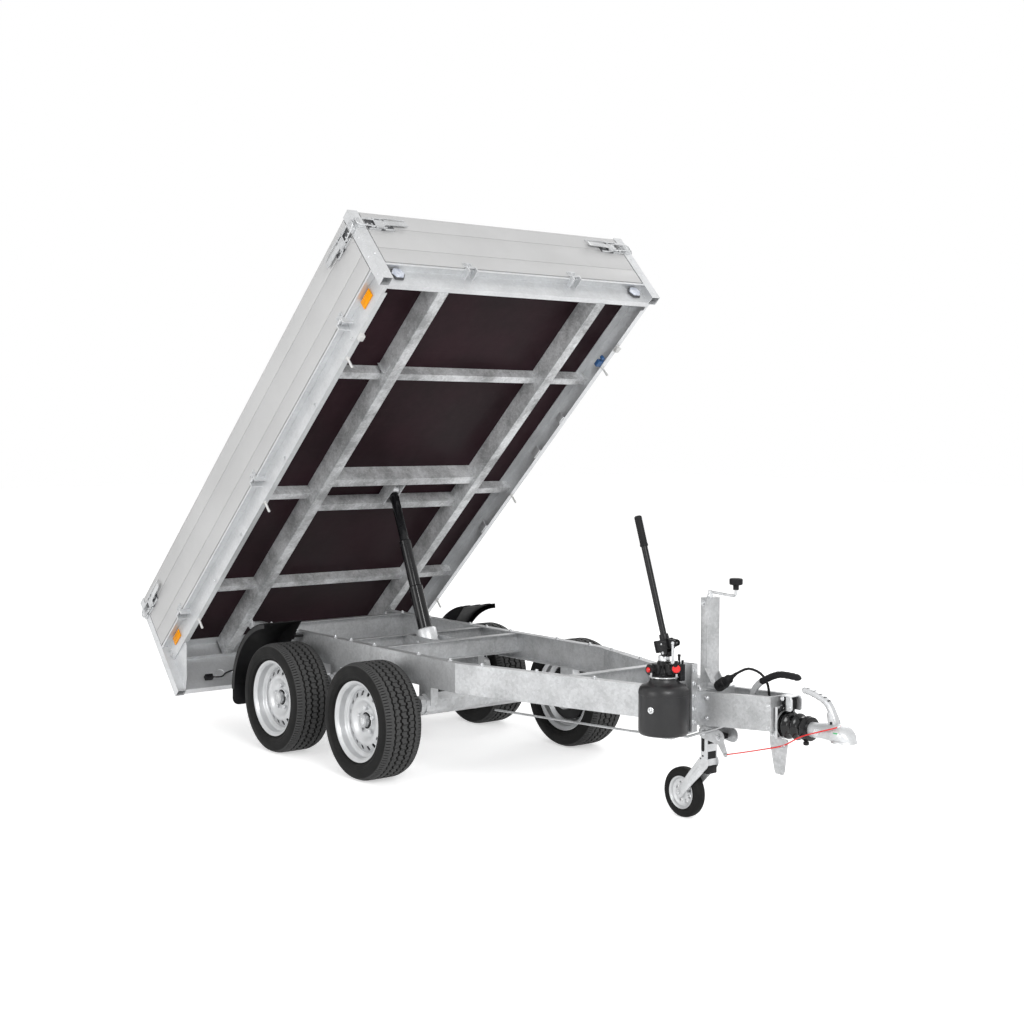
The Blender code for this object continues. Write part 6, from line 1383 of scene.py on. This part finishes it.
def make_jockey():
    """The leg that slides in the mast, its fork arms, and the jockey wheel."""
    leg = bmesh.new()
    upright = moved(MAST_AT)
    prism(leg, rounded((-0.0167, -0.0317), (0.0167, 0.0317), 0.003), 0.235, 0.56, upright, 0.0008)
    arm = capsule((1.727, 0.102), (1.86, 0.246), 0.018, 0.028, 16)
    neck = capsule((1.77, 0.1486), (1.832, 0.2157), 0.006, 0.0075, 10)
    bolts = []
    for side in SIDES.values():
        plate(leg, arm, MAST_Y + side * 0.0281, MAST_Y + side * 0.0315, 0.0008)
        plate(leg, neck, MAST_Y + side * 0.0312, MAST_Y + side * 0.033, 0.0008)
        lathe(leg, [(0, 0.0004), (0.015, 0.0004), (0.0152, 0), (0, 0)],
              axes_matrix(at(1.86, MAST_Y + side * 0.0314, 0.246), (1, 0, 0), (0, side, 0)), 28)
        bolts.append((JOCKEY_HUB + Vector((0, side * 0.0314, 0)), (0, side, 0)))
    pipe(leg, [JOCKEY_HUB + Vector((0, side * 0.035, 0)) for side in (-1, 1)], 0.008, 18)
    add_piece("jockey_fork", leg, "cast_zinc", "jockey_leg", "jockey_leg")
    # Flat dark patches on the leg's sides where its slot and holes are, and two dark squares on its front: painted
    # shade of the openings
    opening_shade = bmesh.new()
    for side in SIDES.values():
        face = axes_matrix(at(0, MAST_Y + side * 0.0318, 0), (1, 0, 0), (0, -1, 0))
        low, high = -side * 0.0001, side * 0.0006
        prism(opening_shade, capsule((1.86, 0.3), (1.86, 0.352), 0.0085, 0.0085), low, high, face)
        prism(opening_shade, arc(0.0045, 16, (1.86, 0.274)), low, high, face)
        prism(opening_shade, arc(0.0035, 16, (1.848, 0.262)), low, high, face)
    for low in (0.262, 0.322):
        block(opening_shade, at(1.878, -0.002, low), at(1.8789, 0.044, low + 0.03))
    # The patches take the black finish as painted shade
    add_piece("leg_recesses", opening_shade, "black_plastic", "jockey_leg")
    add_copies("fork_bolts", hex_bolt(0.014, 0.0055), bolts, "jockey_leg")
    rubber = bmesh.new()
    block(rubber, at(1.85, 0.021 - 0.027, 0.202), at(1.882, 0.021 + 0.027, 0.234), bevel=0.004)
    add_piece("fork_rubber", rubber, "black_plastic", "jockey_leg")
    axle = axes_matrix(JOCKEY_HUB, (1, 0, 0), (0, -1, 0))
    tyre = bmesh.new()
    upper = [(0.064, 0.015), (0.0655, 0.02), (0.068, 0.0222), (0.072, 0.0228), (0.0735, 0.0218), (0.075, 0.0228),
             (0.082, 0.0236), (0.09, 0.0232), (0.096, 0.0205), (0.1, 0.016), (0.1016, 0.01), (0.102, 0.004)]
    lathe(tyre, upper + [(radius, -height) for radius, height in reversed(upper)], axle, 72, closed=True)
    add_piece("jockey_tyre", tyre, "tyre_rubber", "jockey_wheel", "jockey_wheel")
    rim = around("jockey_rim", jockey_rim_segment(), 8, "silver_wheel", axle)
    add_piece("jockey_rim", rim, "silver_wheel", "jockey_wheel")


def jockey_rim_segment():
    """An eighth of the small pressed rim, with one oval slot through its disc."""
    form = bmesh.new()
    inside = ((0.0088, 0.0235), (0.015, 0.0235), (0.017, 0.022), (0.019, 0.012), (0.024, 0.0075))
    outside = ((0.05, 0.008), (0.056, 0.011), (0.059, 0.018), (0.062, 0.0215), (0.0655, 0.0232),
               (0.0668, 0.0222), (0.0655, 0.0195), (0.0638, 0.014), (0.063, 0.0))
    walls = [([(radius, side * z) for radius, z in inside], [(radius, side * z) for radius, z in outside],
              side * 0.0062) for side in (1, -1)]
    shells = pierced_walls(form, 8, 6, walls, 0.037, 0.0, (0.013, 0.0145), (0.0088, 0.0108))[1]
    skin(form, [shells[0][1], shells[1][1]], closed=False)
    return form


COUPLING_Z = 0.465


def make_coupling():
    """Overrun housing, bellows, coupling head with its lever, and stand plate fittings."""
    axis = axes_matrix(at(2.285, 0, COUPLING_Z), (0, 0, 1), (1, 0, 0))
    bellows = bmesh.new()
    profile = [(0.0, 0.0), (0.044, 0.0), (0.047, 0.0015), (0.0475, 0.006)]
    pitch = 0.126 / 3
    for index, radius in enumerate((0.053, 0.051, 0.0475)):
        low = index * pitch
        profile += [(0.04 if index else 0.044, low + 0.0075), (radius - 0.006, low + 0.012),
                    (radius - 0.0015, low + 0.0165), (radius, low + 0.021), (radius - 0.0015, low + 0.0255),
                    (radius - 0.006, low + 0.03), (0.04, low + 0.035), (0.0385, low + 0.0395)]
    profile += [(0.04, 0.118), (0.043, 0.119), (0.043, 0.1245), (0.04, 0.126), (0.0, 0.126)]
    lathe(bellows, profile, axis, 64)
    add_piece("fine_bellows", bellows, "bellows_rubber", "chassis", "coupling_bellows")
    trim = bmesh.new()
    lathe(trim, [(0.0436, 0.1195), (0.0446, 0.12), (0.0446, 0.124), (0.0436, 0.1245)], axis, 48, closed=True)
    lathe(trim, [(0, 0.008), (0.0085, 0.0078), (0.011, 0.005), (0.011, -0.004), (0.006, -0.008), (0.005, -0.02),
                 (0, -0.02)], axes_matrix(at(2.394, -0.012, 0.413), (1, 0, 0), (0, 0, -1)), 24)
    add_piece("bellows_trim", trim, "black_steel")
    make_head()
    make_housing()


def superoval(turn, power):
    """A place on an oval that a power below one makes squarer."""
    return [math.copysign(abs(part) ** power, part) for part in (cos(turn), sin(turn))]


def make_head():
    """The cast head: round shank, swelling body and ball cup, with a handle over it."""
    z = COUPLING_Z
    head = bmesh.new()
    sections = (
        # x, half width, low, high
        (2.4115, 0.028, -0.028, 0.028), (2.43, 0.028, -0.028, 0.028), (2.442, 0.0285, -0.0275, 0.029),
        (2.46, 0.03, -0.0255, 0.0315), (2.48, 0.0325, -0.024, 0.0345), (2.5, 0.035, -0.024, 0.0375),
        (2.52, 0.0385, -0.0245, 0.04), (2.54, 0.042, -0.025, 0.04), (2.556, 0.0435, -0.025, 0.037),
        (2.57, 0.0425, -0.025, 0.031), (2.582, 0.039, -0.025, 0.023), (2.592, 0.033, -0.025, 0.013),
        (2.6, 0.024, -0.025, 0.002), (2.606, 0.012, -0.0245, -0.01))
    rings = []
    for x, half, low, high in sections:
        squareness = min(1.0, max(0.0, (x - 2.43) / 0.08))
        row = []
        for a in ring(28):
            across, over = superoval(a, 1.0 - (0.5 if a > pi else 0.1) * squareness)
            row.append(head.verts.new(at(x, half * across, z + (low + high) / 2 + (high - low) / 2 * over)))
        rings.append(row)
    skin(head, rings, ends=True)
    lathe(head, [(0.038, -0.012), (0.044, -0.015), (0.0472, -0.019), (0.048, -0.024), (0.047, -0.025),
                 (0.034, -0.025), (0.033, -0.012)], moved(at(2.562, 0, z)), 48, closed=True)
    block(head, at(2.447, -0.0345, z - 0.011), at(2.471, 0.0345, z + 0.013), bevel=0.004)
    handle = smooth_route([(2.522, 0, 0.492), (2.5185, 0, 0.512), (2.512, 0, 0.53), (2.495, 0, 0.56),
                           (2.478, 0, 0.577), (2.455, 0, 0.588), (2.42, 0, 0.599), (2.384, 0, 0.606),
                           (2.37, 0, 0.604)], 4)
    rows = []
    last = len(handle) - 1
    for index, (point, ahead) in enumerate(headings(handle)):
        up = ahead.cross(Vector((0, -1, 0)))
        half, deep = 0.0165 - 0.005 * index / last, 0.0115 if index < last else 0.007
        row = []
        for a in ring(16):
            across, over = superoval(a, 0.6)
            row.append(head.verts.new(at(*(point + Vector((0, half * across, 0)) + up * deep * over))))
        rows.append(row)
    skin(head, rows, ends=True)
    for y in (-0.015, 0.015):
        plate(head, capsule((2.516, 0.503), (2.504, 0.536), 0.016, 0.01), y + 0.0022, y - 0.0022, 0.0008)
    add_piece("head_casting", head, "cast_zinc", "chassis", "coupling_head")
    # Thin dark patches on both faces of the handle where its slots are: painted shade of the openings. The pipe is the
    # handle's pin.
    slots = bmesh.new()
    for index in range(5):
        place = handle[-6 - index * 3]
        ahead = (handle[-5 - index * 3] - handle[-7 - index * 3]).normalized()
        matrix = axes_matrix(at(*place), ahead, ahead.cross(Vector((0, 1, 0))) * -1)
        for face in (1, -1):
            prism(slots, rounded((-0.0028, -0.0085), (0.0028, 0.0085), 0.0022), face * 0.011, face * 0.0118, matrix)
    pipe(slots, [at(2.516, y, 0.506) for y in (-0.0205, 0.0205)], 0.0052, 16)
    # The slot patches take the black finish as painted shade, with the real pin
    add_piece("head_slots", slots, "black_steel")
    mark = bmesh.new()
    prism(mark, capsule((2.548, -0.0405), (2.562, -0.0418), 0.0036, 0.0036), z + 0.011, z + 0.015, CHASSIS, 0.0006)
    add_piece("coupling_indicator", mark, "green_mark")
    bolts = [(at(2.459, side * 0.0347, z + 0.001), (0, side, 0)) for side in (-1, 1)]
    add_copies("head_bolts", hex_bolt(0.015, 0.006), bolts)


def make_housing():
    """Side plates and hood of the overrun housing at the drawbar's end, with dark blocks inside them as painted shade
    and a short lead.
    """
    z = COUPLING_Z
    plates = bmesh.new()
    rear = 2.2725
    for side in SIDES.values():
        outline = [(rear, z - 0.05), (2.2845, z - 0.05), (2.2845, z + 0.07), (rear, z + 0.07)]
        plate(plates, outline, side * 0.046, side * 0.05, 0.0006)
        near = 2.274 if side > 0 else 2.306
        hood = [(near, 0.5215), (2.33, 0.5215), (2.337, 0.528), (2.337, 0.564), (2.33, 0.5775), (near, 0.5775)]
        plate(plates, hood, side * 0.024, side * 0.028, 0.0008)
    block(plates, at(2.2745, -0.0245, 0.573), at(2.325, 0.0245, 0.577), bevel=0.0008)
    block(plates, at(rear, -0.046, z + 0.063), at(2.2845, 0.046, z + 0.069), bevel=0.0008)
    block(plates, at(rear, -0.046, z - 0.05), at(2.2845, 0.046, z - 0.044), bevel=0.0008)
    lathe(plates, [(0.051, 0.0118), (0.054, 0.0118), (0.0545, 0.006), (0.052, 0.0)],
          axes_matrix(at(2.2735, 0, z), (0, 0, 1), (1, 0, 0)), 40, closed=True)
    add_piece("housing_plates", plates, "cast_zinc", "chassis", "coupling_housing")
    # Dark blocks that fill the housing's open end and its hood: painted shade of their insides; the pipe is a short
    # lead out of the hood
    dark = bmesh.new()
    block(dark, at(rear, -0.0455, z - 0.0435), at(2.28, 0.0455, z + 0.0625))
    block(dark, at(2.276, -0.02, 0.524), at(2.32, 0.02, 0.57), bevel=0.004)
    pipe(dark, [at(2.295, -0.02, 0.54), at(2.295, -0.036, 0.536), at(2.29, -0.042, 0.52)], 0.006, 12)
    add_piece("housing_inside", dark, "black_plastic")
    bolts = [(at(x, side * 0.0282, height), (0, side, 0)) for height in (0.5335, 0.5655) for x in (2.29, 2.323)
             for side in (-1, 1)]
    slant = (0.105 - 0.063) / (2.27 - 1.925)
    for side in SIDES.values():
        for x, height in ((2.252, 0.452), (2.252, 0.535), (1.965, 0.452), (1.965, 0.53)):
            y = 0.105 - (x - 1.925) * slant
            bolts.append((at(x, side * (y + 0.0004), height), (slant, side, 0)))
    bolts += [(at(x, -0.0335, 0.426), (0, -1, 0)) for x in (2.245, 2.26)]
    add_copies("drawbar_bolts", hex_bolt(0.0105, 0.0048), bolts)


def make_handbrake():
    """The flat steel lever with its rubber grip, and its pivot bolt."""
    route = smooth_route([(2.095, 0, 0.475), (2.115, 0, 0.56), (2.14, 0, 0.595), (2.171, 0, 0.617)], 5)
    lever = bmesh.new()
    bar(lever, [at(*point) for point in route], 0.008, 0.024, (0, 1, 0), 0.0012)
    pipe(lever, [at(2.105, side * 0.078, 0.525) for side in (-1, 1)], 0.0078, 20)
    add_piece("handbrake_bar", lever, "cast_zinc", "chassis", "handbrake_lever")
    grip_route = smooth_route([(2.158, 0, 0.6095), (2.185, 0, 0.623), (2.215, 0, 0.637), (2.251, 0, 0.648),
                               (2.3, 0, 0.65), (2.352, 0, 0.6465)], 6)
    count = len(grip_route)
    radii = [0.015 + (0.0013 if index % 3 else 0.0) for index in range(count)]
    radii[0], radii[-1], radii[-2], radii[-3] = 0.012, 0.007, 0.0135, 0.0162
    grip = bmesh.new()
    pipe(grip, [at(*point) for point in grip_route], radii, 20, 0.82, (0, 1, 0))
    add_piece("handbrake_grip", grip, "grip_rubber")


def make_plug():
    """The parking socket and the ribbed plug in it."""
    start, end, tip = (at(*place) for place in ((1.95, -0.022, 0.563), (1.99, -0.022, 0.5895), (2.028, -0.022, 0.6146)))
    along = (end - start).normalized()
    side = Vector((0, 1, 0))
    length = (end - start).length
    holder = bmesh.new()
    matrix = axes_matrix(start, side, along)
    lathe(holder, [(0, length), (0.02, length), (0.0222, length - 0.0015), (0.023, length - 0.004),
                   (0.023, length - 0.012), (0.0215, length - 0.013), (0.0215, 0.018), (0.0228, 0.0165),
                   (0.0228, 0.006), (0.0205, 0.0), (0, 0.0)], matrix, 36)
    for turn in ring(10):
        spot = matrix @ Matrix.Rotation(turn, 4, "Z") @ moved((0.0218, 0, 0))
        block(holder, (-0.001, -0.0022, 0.018), (0.001, 0.0022, length - 0.013), spot, 0.0006, 1)
    add_piece("parking_socket", holder, "black_plastic", "chassis", "plug_holder")
    bracket = bmesh.new()
    block(bracket, at(1.9, -0.029, 0.5554), at(1.966, -0.015, 0.575), bevel=0.0015)
    block(bracket, at(1.9, -0.04, 0.5552), at(1.955, -0.006, 0.559), bevel=0.001)
    add_piece("socket_bracket", bracket, "cast_zinc")
    plug = bmesh.new()
    reach = (tip - end).length
    matrix = axes_matrix(end, side, along)
    profile = [(0, reach), (0.0075, reach), (0.009, reach - 0.002), (0.011, reach - 0.012), (0.015, reach - 0.016),
               (0.0172, reach - 0.019), (0.018, reach - 0.023)]
    profile += [(0.018, 0.01), (0.0165, 0.0092), (0.0165, 0.007), (0.018, 0.0062), (0.018, 0.001), (0.017, 0.0004),
                (0, 0.0004)]
    lathe(plug, profile, matrix, 36)
    for turn in ring(14):
        spot = matrix @ Matrix.Rotation(turn, 4, "Z") @ moved((0.0174, 0, 0))
        block(plug, (-0.0006, -0.0011, 0.011), (0.0008, 0.0011, reach - 0.024), spot, 0.0003, 1)
    return add_piece("trailer_plug", plug, "grip_rubber", "chassis", "plug")


CABLE_KNOTS = (
    (2.0286, -0.022, 0.61499), (2.055, -0.021, 0.6322), (2.098, -0.008, 0.652), (2.142, 0.012, 0.637),
    (2.165, 0.028, 0.595), (2.172, 0.03, 0.53), (2.174, 0.03, 0.48))
BREAKAWAY_KNOTS = (
    (1.994, -0.0225, 0.303), (2.09, -0.034, 0.329), (2.2, -0.0375, 0.36), (2.304, -0.0372, 0.392),
    (2.4, -0.048, 0.442), (2.5, -0.05, 0.478), (2.552, -0.045, 0.496), (2.574, -0.0353, 0.5065))


def make_cords():
    """The lead from the plug into the drawbar, and the red breakaway cable."""
    plug = make_plug()
    relief_form = bmesh.new()
    lead = [at(*point) for point in smooth_route(CABLE_KNOTS, 3)]
    cable = bmesh.new()
    pipe(cable, lead, 0.005, 16)
    made = add_piece("lead_tube", cable, "black_plastic", "chassis", "trailer_cable")
    ahead = (lead[1] - lead[0]).normalized()
    pipe(relief_form, [lead[0] - ahead * 0.003, lead[0] + ahead * 0.006, lead[0] + ahead * 0.016, lead[0]
                       + ahead * 0.024], [0.0082, 0.0076, 0.0064, 0.0056], 18)
    sleeve = add_piece("lead_sleeve", relief_form, "grip_rubber")
    line = [at(*point) for point in smooth_route(BREAKAWAY_KNOTS, 4)]
    strand = bmesh.new()
    pipe(strand, line, 0.0025, 12)
    made = add_piece("breakaway_line", strand, "red_cable", "chassis", "breakaway_cable")
    ends = bmesh.new()
    for place, toward in ((line[0], line[1]), (line[-1], line[-2])):
        along = (toward - place).normalized()
        pipe(ends, [place, place + along * 0.012], 0.0034, 14)
    shackle = [(2.304, -0.0372, 0.396), (2.308, -0.04, 0.3925), (2.3065, -0.041, 0.387), (2.302, -0.04, 0.385),
               (2.2985, -0.0385, 0.388), (2.3, -0.0372, 0.394)]
    pipe(ends, [at(*point) for point in smooth_route(shackle, 3)], 0.0016, 10)
    ends_made = add_piece("breakaway_ends", ends, "bright_zinc")


def camera_matrix():
    yaw, pitch, roll = (radians(turn) for turn in (CAMERA_YAW, CAMERA_PITCH, CAMERA_ROLL))
    ahead = Vector((cos(yaw) * cos(pitch), sin(yaw) * cos(pitch), sin(pitch)))
    level_right = ahead.cross(Vector((0, 0, 1))).normalized()
    level_up = level_right.cross(ahead)
    right = cos(roll) * level_right + sin(roll) * level_up
    up = cos(roll) * level_up - sin(roll) * level_right
    turn = Matrix((right, up, -ahead)).transposed().to_4x4()
    return moved(at(*CAMERA_PLACE)) @ turn


def make_camera():
    data = bpy.data.cameras.new("camera")
    camera = bpy.data.objects.new("camera", data)
    bpy.context.scene.collection.objects.link(camera)
    camera.matrix_world = camera_matrix()
    data.lens = FOCAL_PIXELS * data.sensor_width / PICTURE
    data.shift_x = (PICTURE / 2 - CENTRE_PIXEL[0]) / PICTURE
    data.shift_y = (CENTRE_PIXEL[1] - PICTURE / 2) / PICTURE
    data.clip_end = 200
    bpy.context.scene.camera = camera


def seen_shade(nodes, seen_colour, other_colour):
    """One shade for what the camera, a reflection or glass sees, and another for light."""
    path = nodes.add("LightPath").outputs
    seen = nodes.sum("MAXIMUM", path["Is Camera Ray"],
                     nodes.sum("MAXIMUM", path["Is Glossy Ray"], path["Is Transmission Ray"]))
    return nodes.mix(seen, (other_colour,) * 3 + (1,), (seen_colour,) * 3 + (1,))


def make_world(strength):
    world = bpy.data.worlds.new("studio")
    bpy.context.scene.world = world
    world.use_nodes = True
    nodes = Nodes(world.node_tree)
    nodes.feed(world.node_tree.nodes["Background"].inputs["Color"], seen_shade(nodes, 1.0, strength))


def make_floor(span, lift):
    form = bmesh.new()
    bmesh.ops.create_grid(form, x_segments=1, y_segments=1, size=span / 2)
    mesh = bpy.data.meshes.new("studio_floor")
    form.to_mesh(mesh)
    form.free()
    floor = show("studio_floor", mesh)
    made, nodes, shader, place = begin_finish("studio_floor", 0.0)
    shader.inputs["Roughness"].default_value = 0.9
    cloud = nodes.add("TexNoise", Vector=place, Scale=0.6, Detail=2.0)
    nodes.feed(shader.inputs["Base Color"], nodes.mix(cloud.outputs["Fac"], (0.9, 0.9, 0.9, 1), (0.92, 0.92, 0.92, 1)))
    shader.inputs["Emission Strength"].default_value = 1.0
    nodes.feed(shader.inputs["Emission Color"], seen_shade(nodes, lift, 0.0))
    mesh.materials.append(made)


def make_lamp(name, place, target, size, power):
    data = bpy.data.lights.new(name, "AREA")
    data.shape = "DISK"
    data.size = size
    data.energy = power
    lamp = bpy.data.objects.new(name, data)
    bpy.context.scene.collection.objects.link(lamp)
    aim = (Vector(target) - Vector(place)).to_track_quat("-Z", "Y")
    lamp.matrix_world = moved(place) @ aim.to_matrix().to_4x4()


class StageSizes(bpy.types.PropertyGroup):
    floor_span: bpy.props.FloatProperty(
        name="Floor span", description="Side of the studio floor", default=60.0, unit="LENGTH")
    floor_lift: bpy.props.FloatProperty(
        name="Floor lift", description="White that the floor adds for the camera alone", default=0.52, min=0.0, max=1.0)
    sky_strength: bpy.props.FloatProperty(
        name="Sky strength", description="Light that comes evenly from all round", default=0.55, min=0.0)
    key_power: bpy.props.FloatProperty(
        name="Key power", description="Power of the main soft lamp", default=235.0, unit="POWER")


def colour_choice(name, description, default):
    return bpy.props.FloatVectorProperty(name=name, description=description, default=default, size=3, min=0.0, max=1.0,
                                         subtype="COLOR")


class ColourChoices(bpy.types.PropertyGroup):
    zinc: colour_choice("Zinc", "Bright shade of the galvanised frame", (0.62, 0.63, 0.64))
    planks: colour_choice("Planks", "Aluminium of the drop sides", (0.6, 0.6, 0.6))
    wheels: colour_choice("Wheels", "Silver of the wheels", (0.66, 0.67, 0.68))
    plywood: colour_choice("Plywood", "Film on the bed's floor", (0.015, 0.006, 0.0085))
    rubber: colour_choice("Rubber", "Rubber of the tyres", (0.0065, 0.0065, 0.0065))
    black_paint: colour_choice("Black paint", "Paint of the pump and of other black pieces", (0.006, 0.006, 0.0068))
    red: colour_choice("Red", "Breakaway cable and pump knobs", (0.85, 0.01, 0.01))
    amber: colour_choice("Amber", "Side reflectors", (1.0, 0.37, 0.0))


class TRAILER_OT_stage(bpy.types.Operator):
    """Sets the camera, the floor and the lamps"""

    bl_idname = "trailer.stage"
    bl_label = "Stage"

    def execute(self, context):
        sizes = context.scene.trailer_stage
        make_camera()
        make_world(sizes.sky_strength)
        make_floor(sizes.floor_span, sizes.floor_lift)
        make_lamp("key_lamp", (7.0, -2.6, 4.6), (0, 0, 0.9), 3.4, sizes.key_power * 1.25)
        make_lamp("fill_lamp", (0.5, -7.0, 2.2), (0, 0, 0.8), 3.4, sizes.key_power * 0.45)
        make_lamp("back_lamp", (-2.0, 6.0, 4.5), (0, 0, 0.8), 4.0, sizes.key_power * 0.5)
        context.scene.view_settings.view_transform = "Standard"
        return {"FINISHED"}


class TRAILER_OT_finishes(bpy.types.Operator):
    """Makes the finishes and gives each CAD node its own"""

    bl_idname = "trailer.finishes"
    bl_label = "Finishes"

    def execute(self, context):
        make_finishes(context.scene.trailer_colours)
        finish_nodes()
        return {"FINISHED"}


class TRAILER_OT_cords(bpy.types.Operator):
    """Makes the trailer's lead with its plug, and the breakaway cable"""

    bl_idname = "trailer.cords"
    bl_label = "Cords"

    def execute(self, context):
        make_cords()
        return {"FINISHED"}


class TRAILER_OT_wheels(bpy.types.Operator):
    """Makes the tyres with their tread, the pressed wheels and their bolts"""

    bl_idname = "trailer.wheels"
    bl_label = "Wheels"

    def execute(self, context):
        make_wheels()
        return {"FINISHED"}


class TRAILER_OT_mudguards(bpy.types.Operator):
    """Makes the two mudguards with their flaps and stays"""

    bl_idname = "trailer.mudguards"
    bl_label = "Mudguards"

    def execute(self, context):
        make_mudguards()
        return {"FINISHED"}


class TRAILER_OT_drop_sides(bpy.types.Operator):
    """Makes the four boards with their hinges and latches"""

    bl_idname = "trailer.drop_sides"
    bl_label = "Drop sides"

    def execute(self, context):
        make_boards()
        return {"FINISHED"}


class TRAILER_OT_bed_fittings(bpy.types.Operator):
    """Makes the reflectors, hooks, bolts and brackets of the bed"""

    bl_idname = "trailer.bed_fittings"
    bl_label = "Bed fittings"

    def execute(self, context):
        make_bed_fittings()
        return {"FINISHED"}


class TRAILER_OT_lamps(bpy.types.Operator):
    """Makes the front marker lamps and the apron's lamps"""

    bl_idname = "trailer.lamps"
    bl_label = "Lamps"

    def execute(self, context):
        make_lamps()
        return {"FINISHED"}


class TRAILER_OT_cylinder(bpy.types.Operator):
    """Makes the barrel, stages and rod of the lift"""

    bl_idname = "trailer.cylinder"
    bl_label = "Cylinder"

    def execute(self, context):
        make_cylinder()
        return {"FINISHED"}


class TRAILER_OT_pump(bpy.types.Operator):
    """Makes the hand pump and its lever"""

    bl_idname = "trailer.pump"
    bl_label = "Pump"

    def execute(self, context):
        make_pump()
        return {"FINISHED"}


class TRAILER_OT_jockey(bpy.types.Operator):
    """Makes the mast with its crank, the fork and the jockey wheel"""

    bl_idname = "trailer.jockey"
    bl_label = "Jockey wheel"

    def execute(self, context):
        make_mast()
        make_jockey()
        return {"FINISHED"}


class TRAILER_OT_coupling(bpy.types.Operator):
    """Makes the coupling head, bellows, housing and handbrake"""

    bl_idname = "trailer.coupling"
    bl_label = "Coupling"

    def execute(self, context):
        make_coupling()
        make_handbrake()
        return {"FINISHED"}


class TRAILER_OT_chassis_bolts(bpy.types.Operator):
    """Makes the bolts and rivets of the chassis"""

    bl_idname = "trailer.chassis_bolts"
    bl_label = "Chassis bolts"

    def execute(self, context):
        make_chassis_bolts()
        return {"FINISHED"}


class TRAILER_PT_panel(bpy.types.Panel):
    bl_label = "Tipping trailer"
    bl_idname = "TRAILER_PT_panel"
    bl_space_type = "VIEW_3D"
    bl_region_type = "UI"
    bl_category = "Trailer"

    def draw(self, context):
        for group in GROUPS:
            settings = getattr(context.scene, group)
            for key in settings.bl_rna.properties.keys():
                if key not in ("name", "rna_type"):
                    self.layout.prop(settings, key)
        for operator in OPERATORS:
            self.layout.operator(operator.bl_idname)


OPERATORS = (TRAILER_OT_stage, TRAILER_OT_finishes, TRAILER_OT_cords, TRAILER_OT_wheels, TRAILER_OT_mudguards,
             TRAILER_OT_drop_sides, TRAILER_OT_bed_fittings, TRAILER_OT_lamps, TRAILER_OT_cylinder, TRAILER_OT_pump,
             TRAILER_OT_jockey, TRAILER_OT_coupling, TRAILER_OT_chassis_bolts)
GROUPS = {"trailer_stage": StageSizes, "trailer_colours": ColourChoices}
CLASSES = (*GROUPS.values(), *OPERATORS, TRAILER_PT_panel)


def register():
    for cls in CLASSES:
        bpy.utils.register_class(cls)
    for name, group in GROUPS.items():
        setattr(bpy.types.Scene, name, bpy.props.PointerProperty(type=group))


def unregister():
    for name in GROUPS:
        delattr(bpy.types.Scene, name)
    for cls in reversed(CLASSES):
        bpy.utils.unregister_class(cls)


def main():
    register()
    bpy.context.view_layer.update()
    for operator in OPERATORS:
        getattr(bpy.ops.trailer, operator.bl_idname.split(".")[1])()


if __name__ == "__main__":
    main()
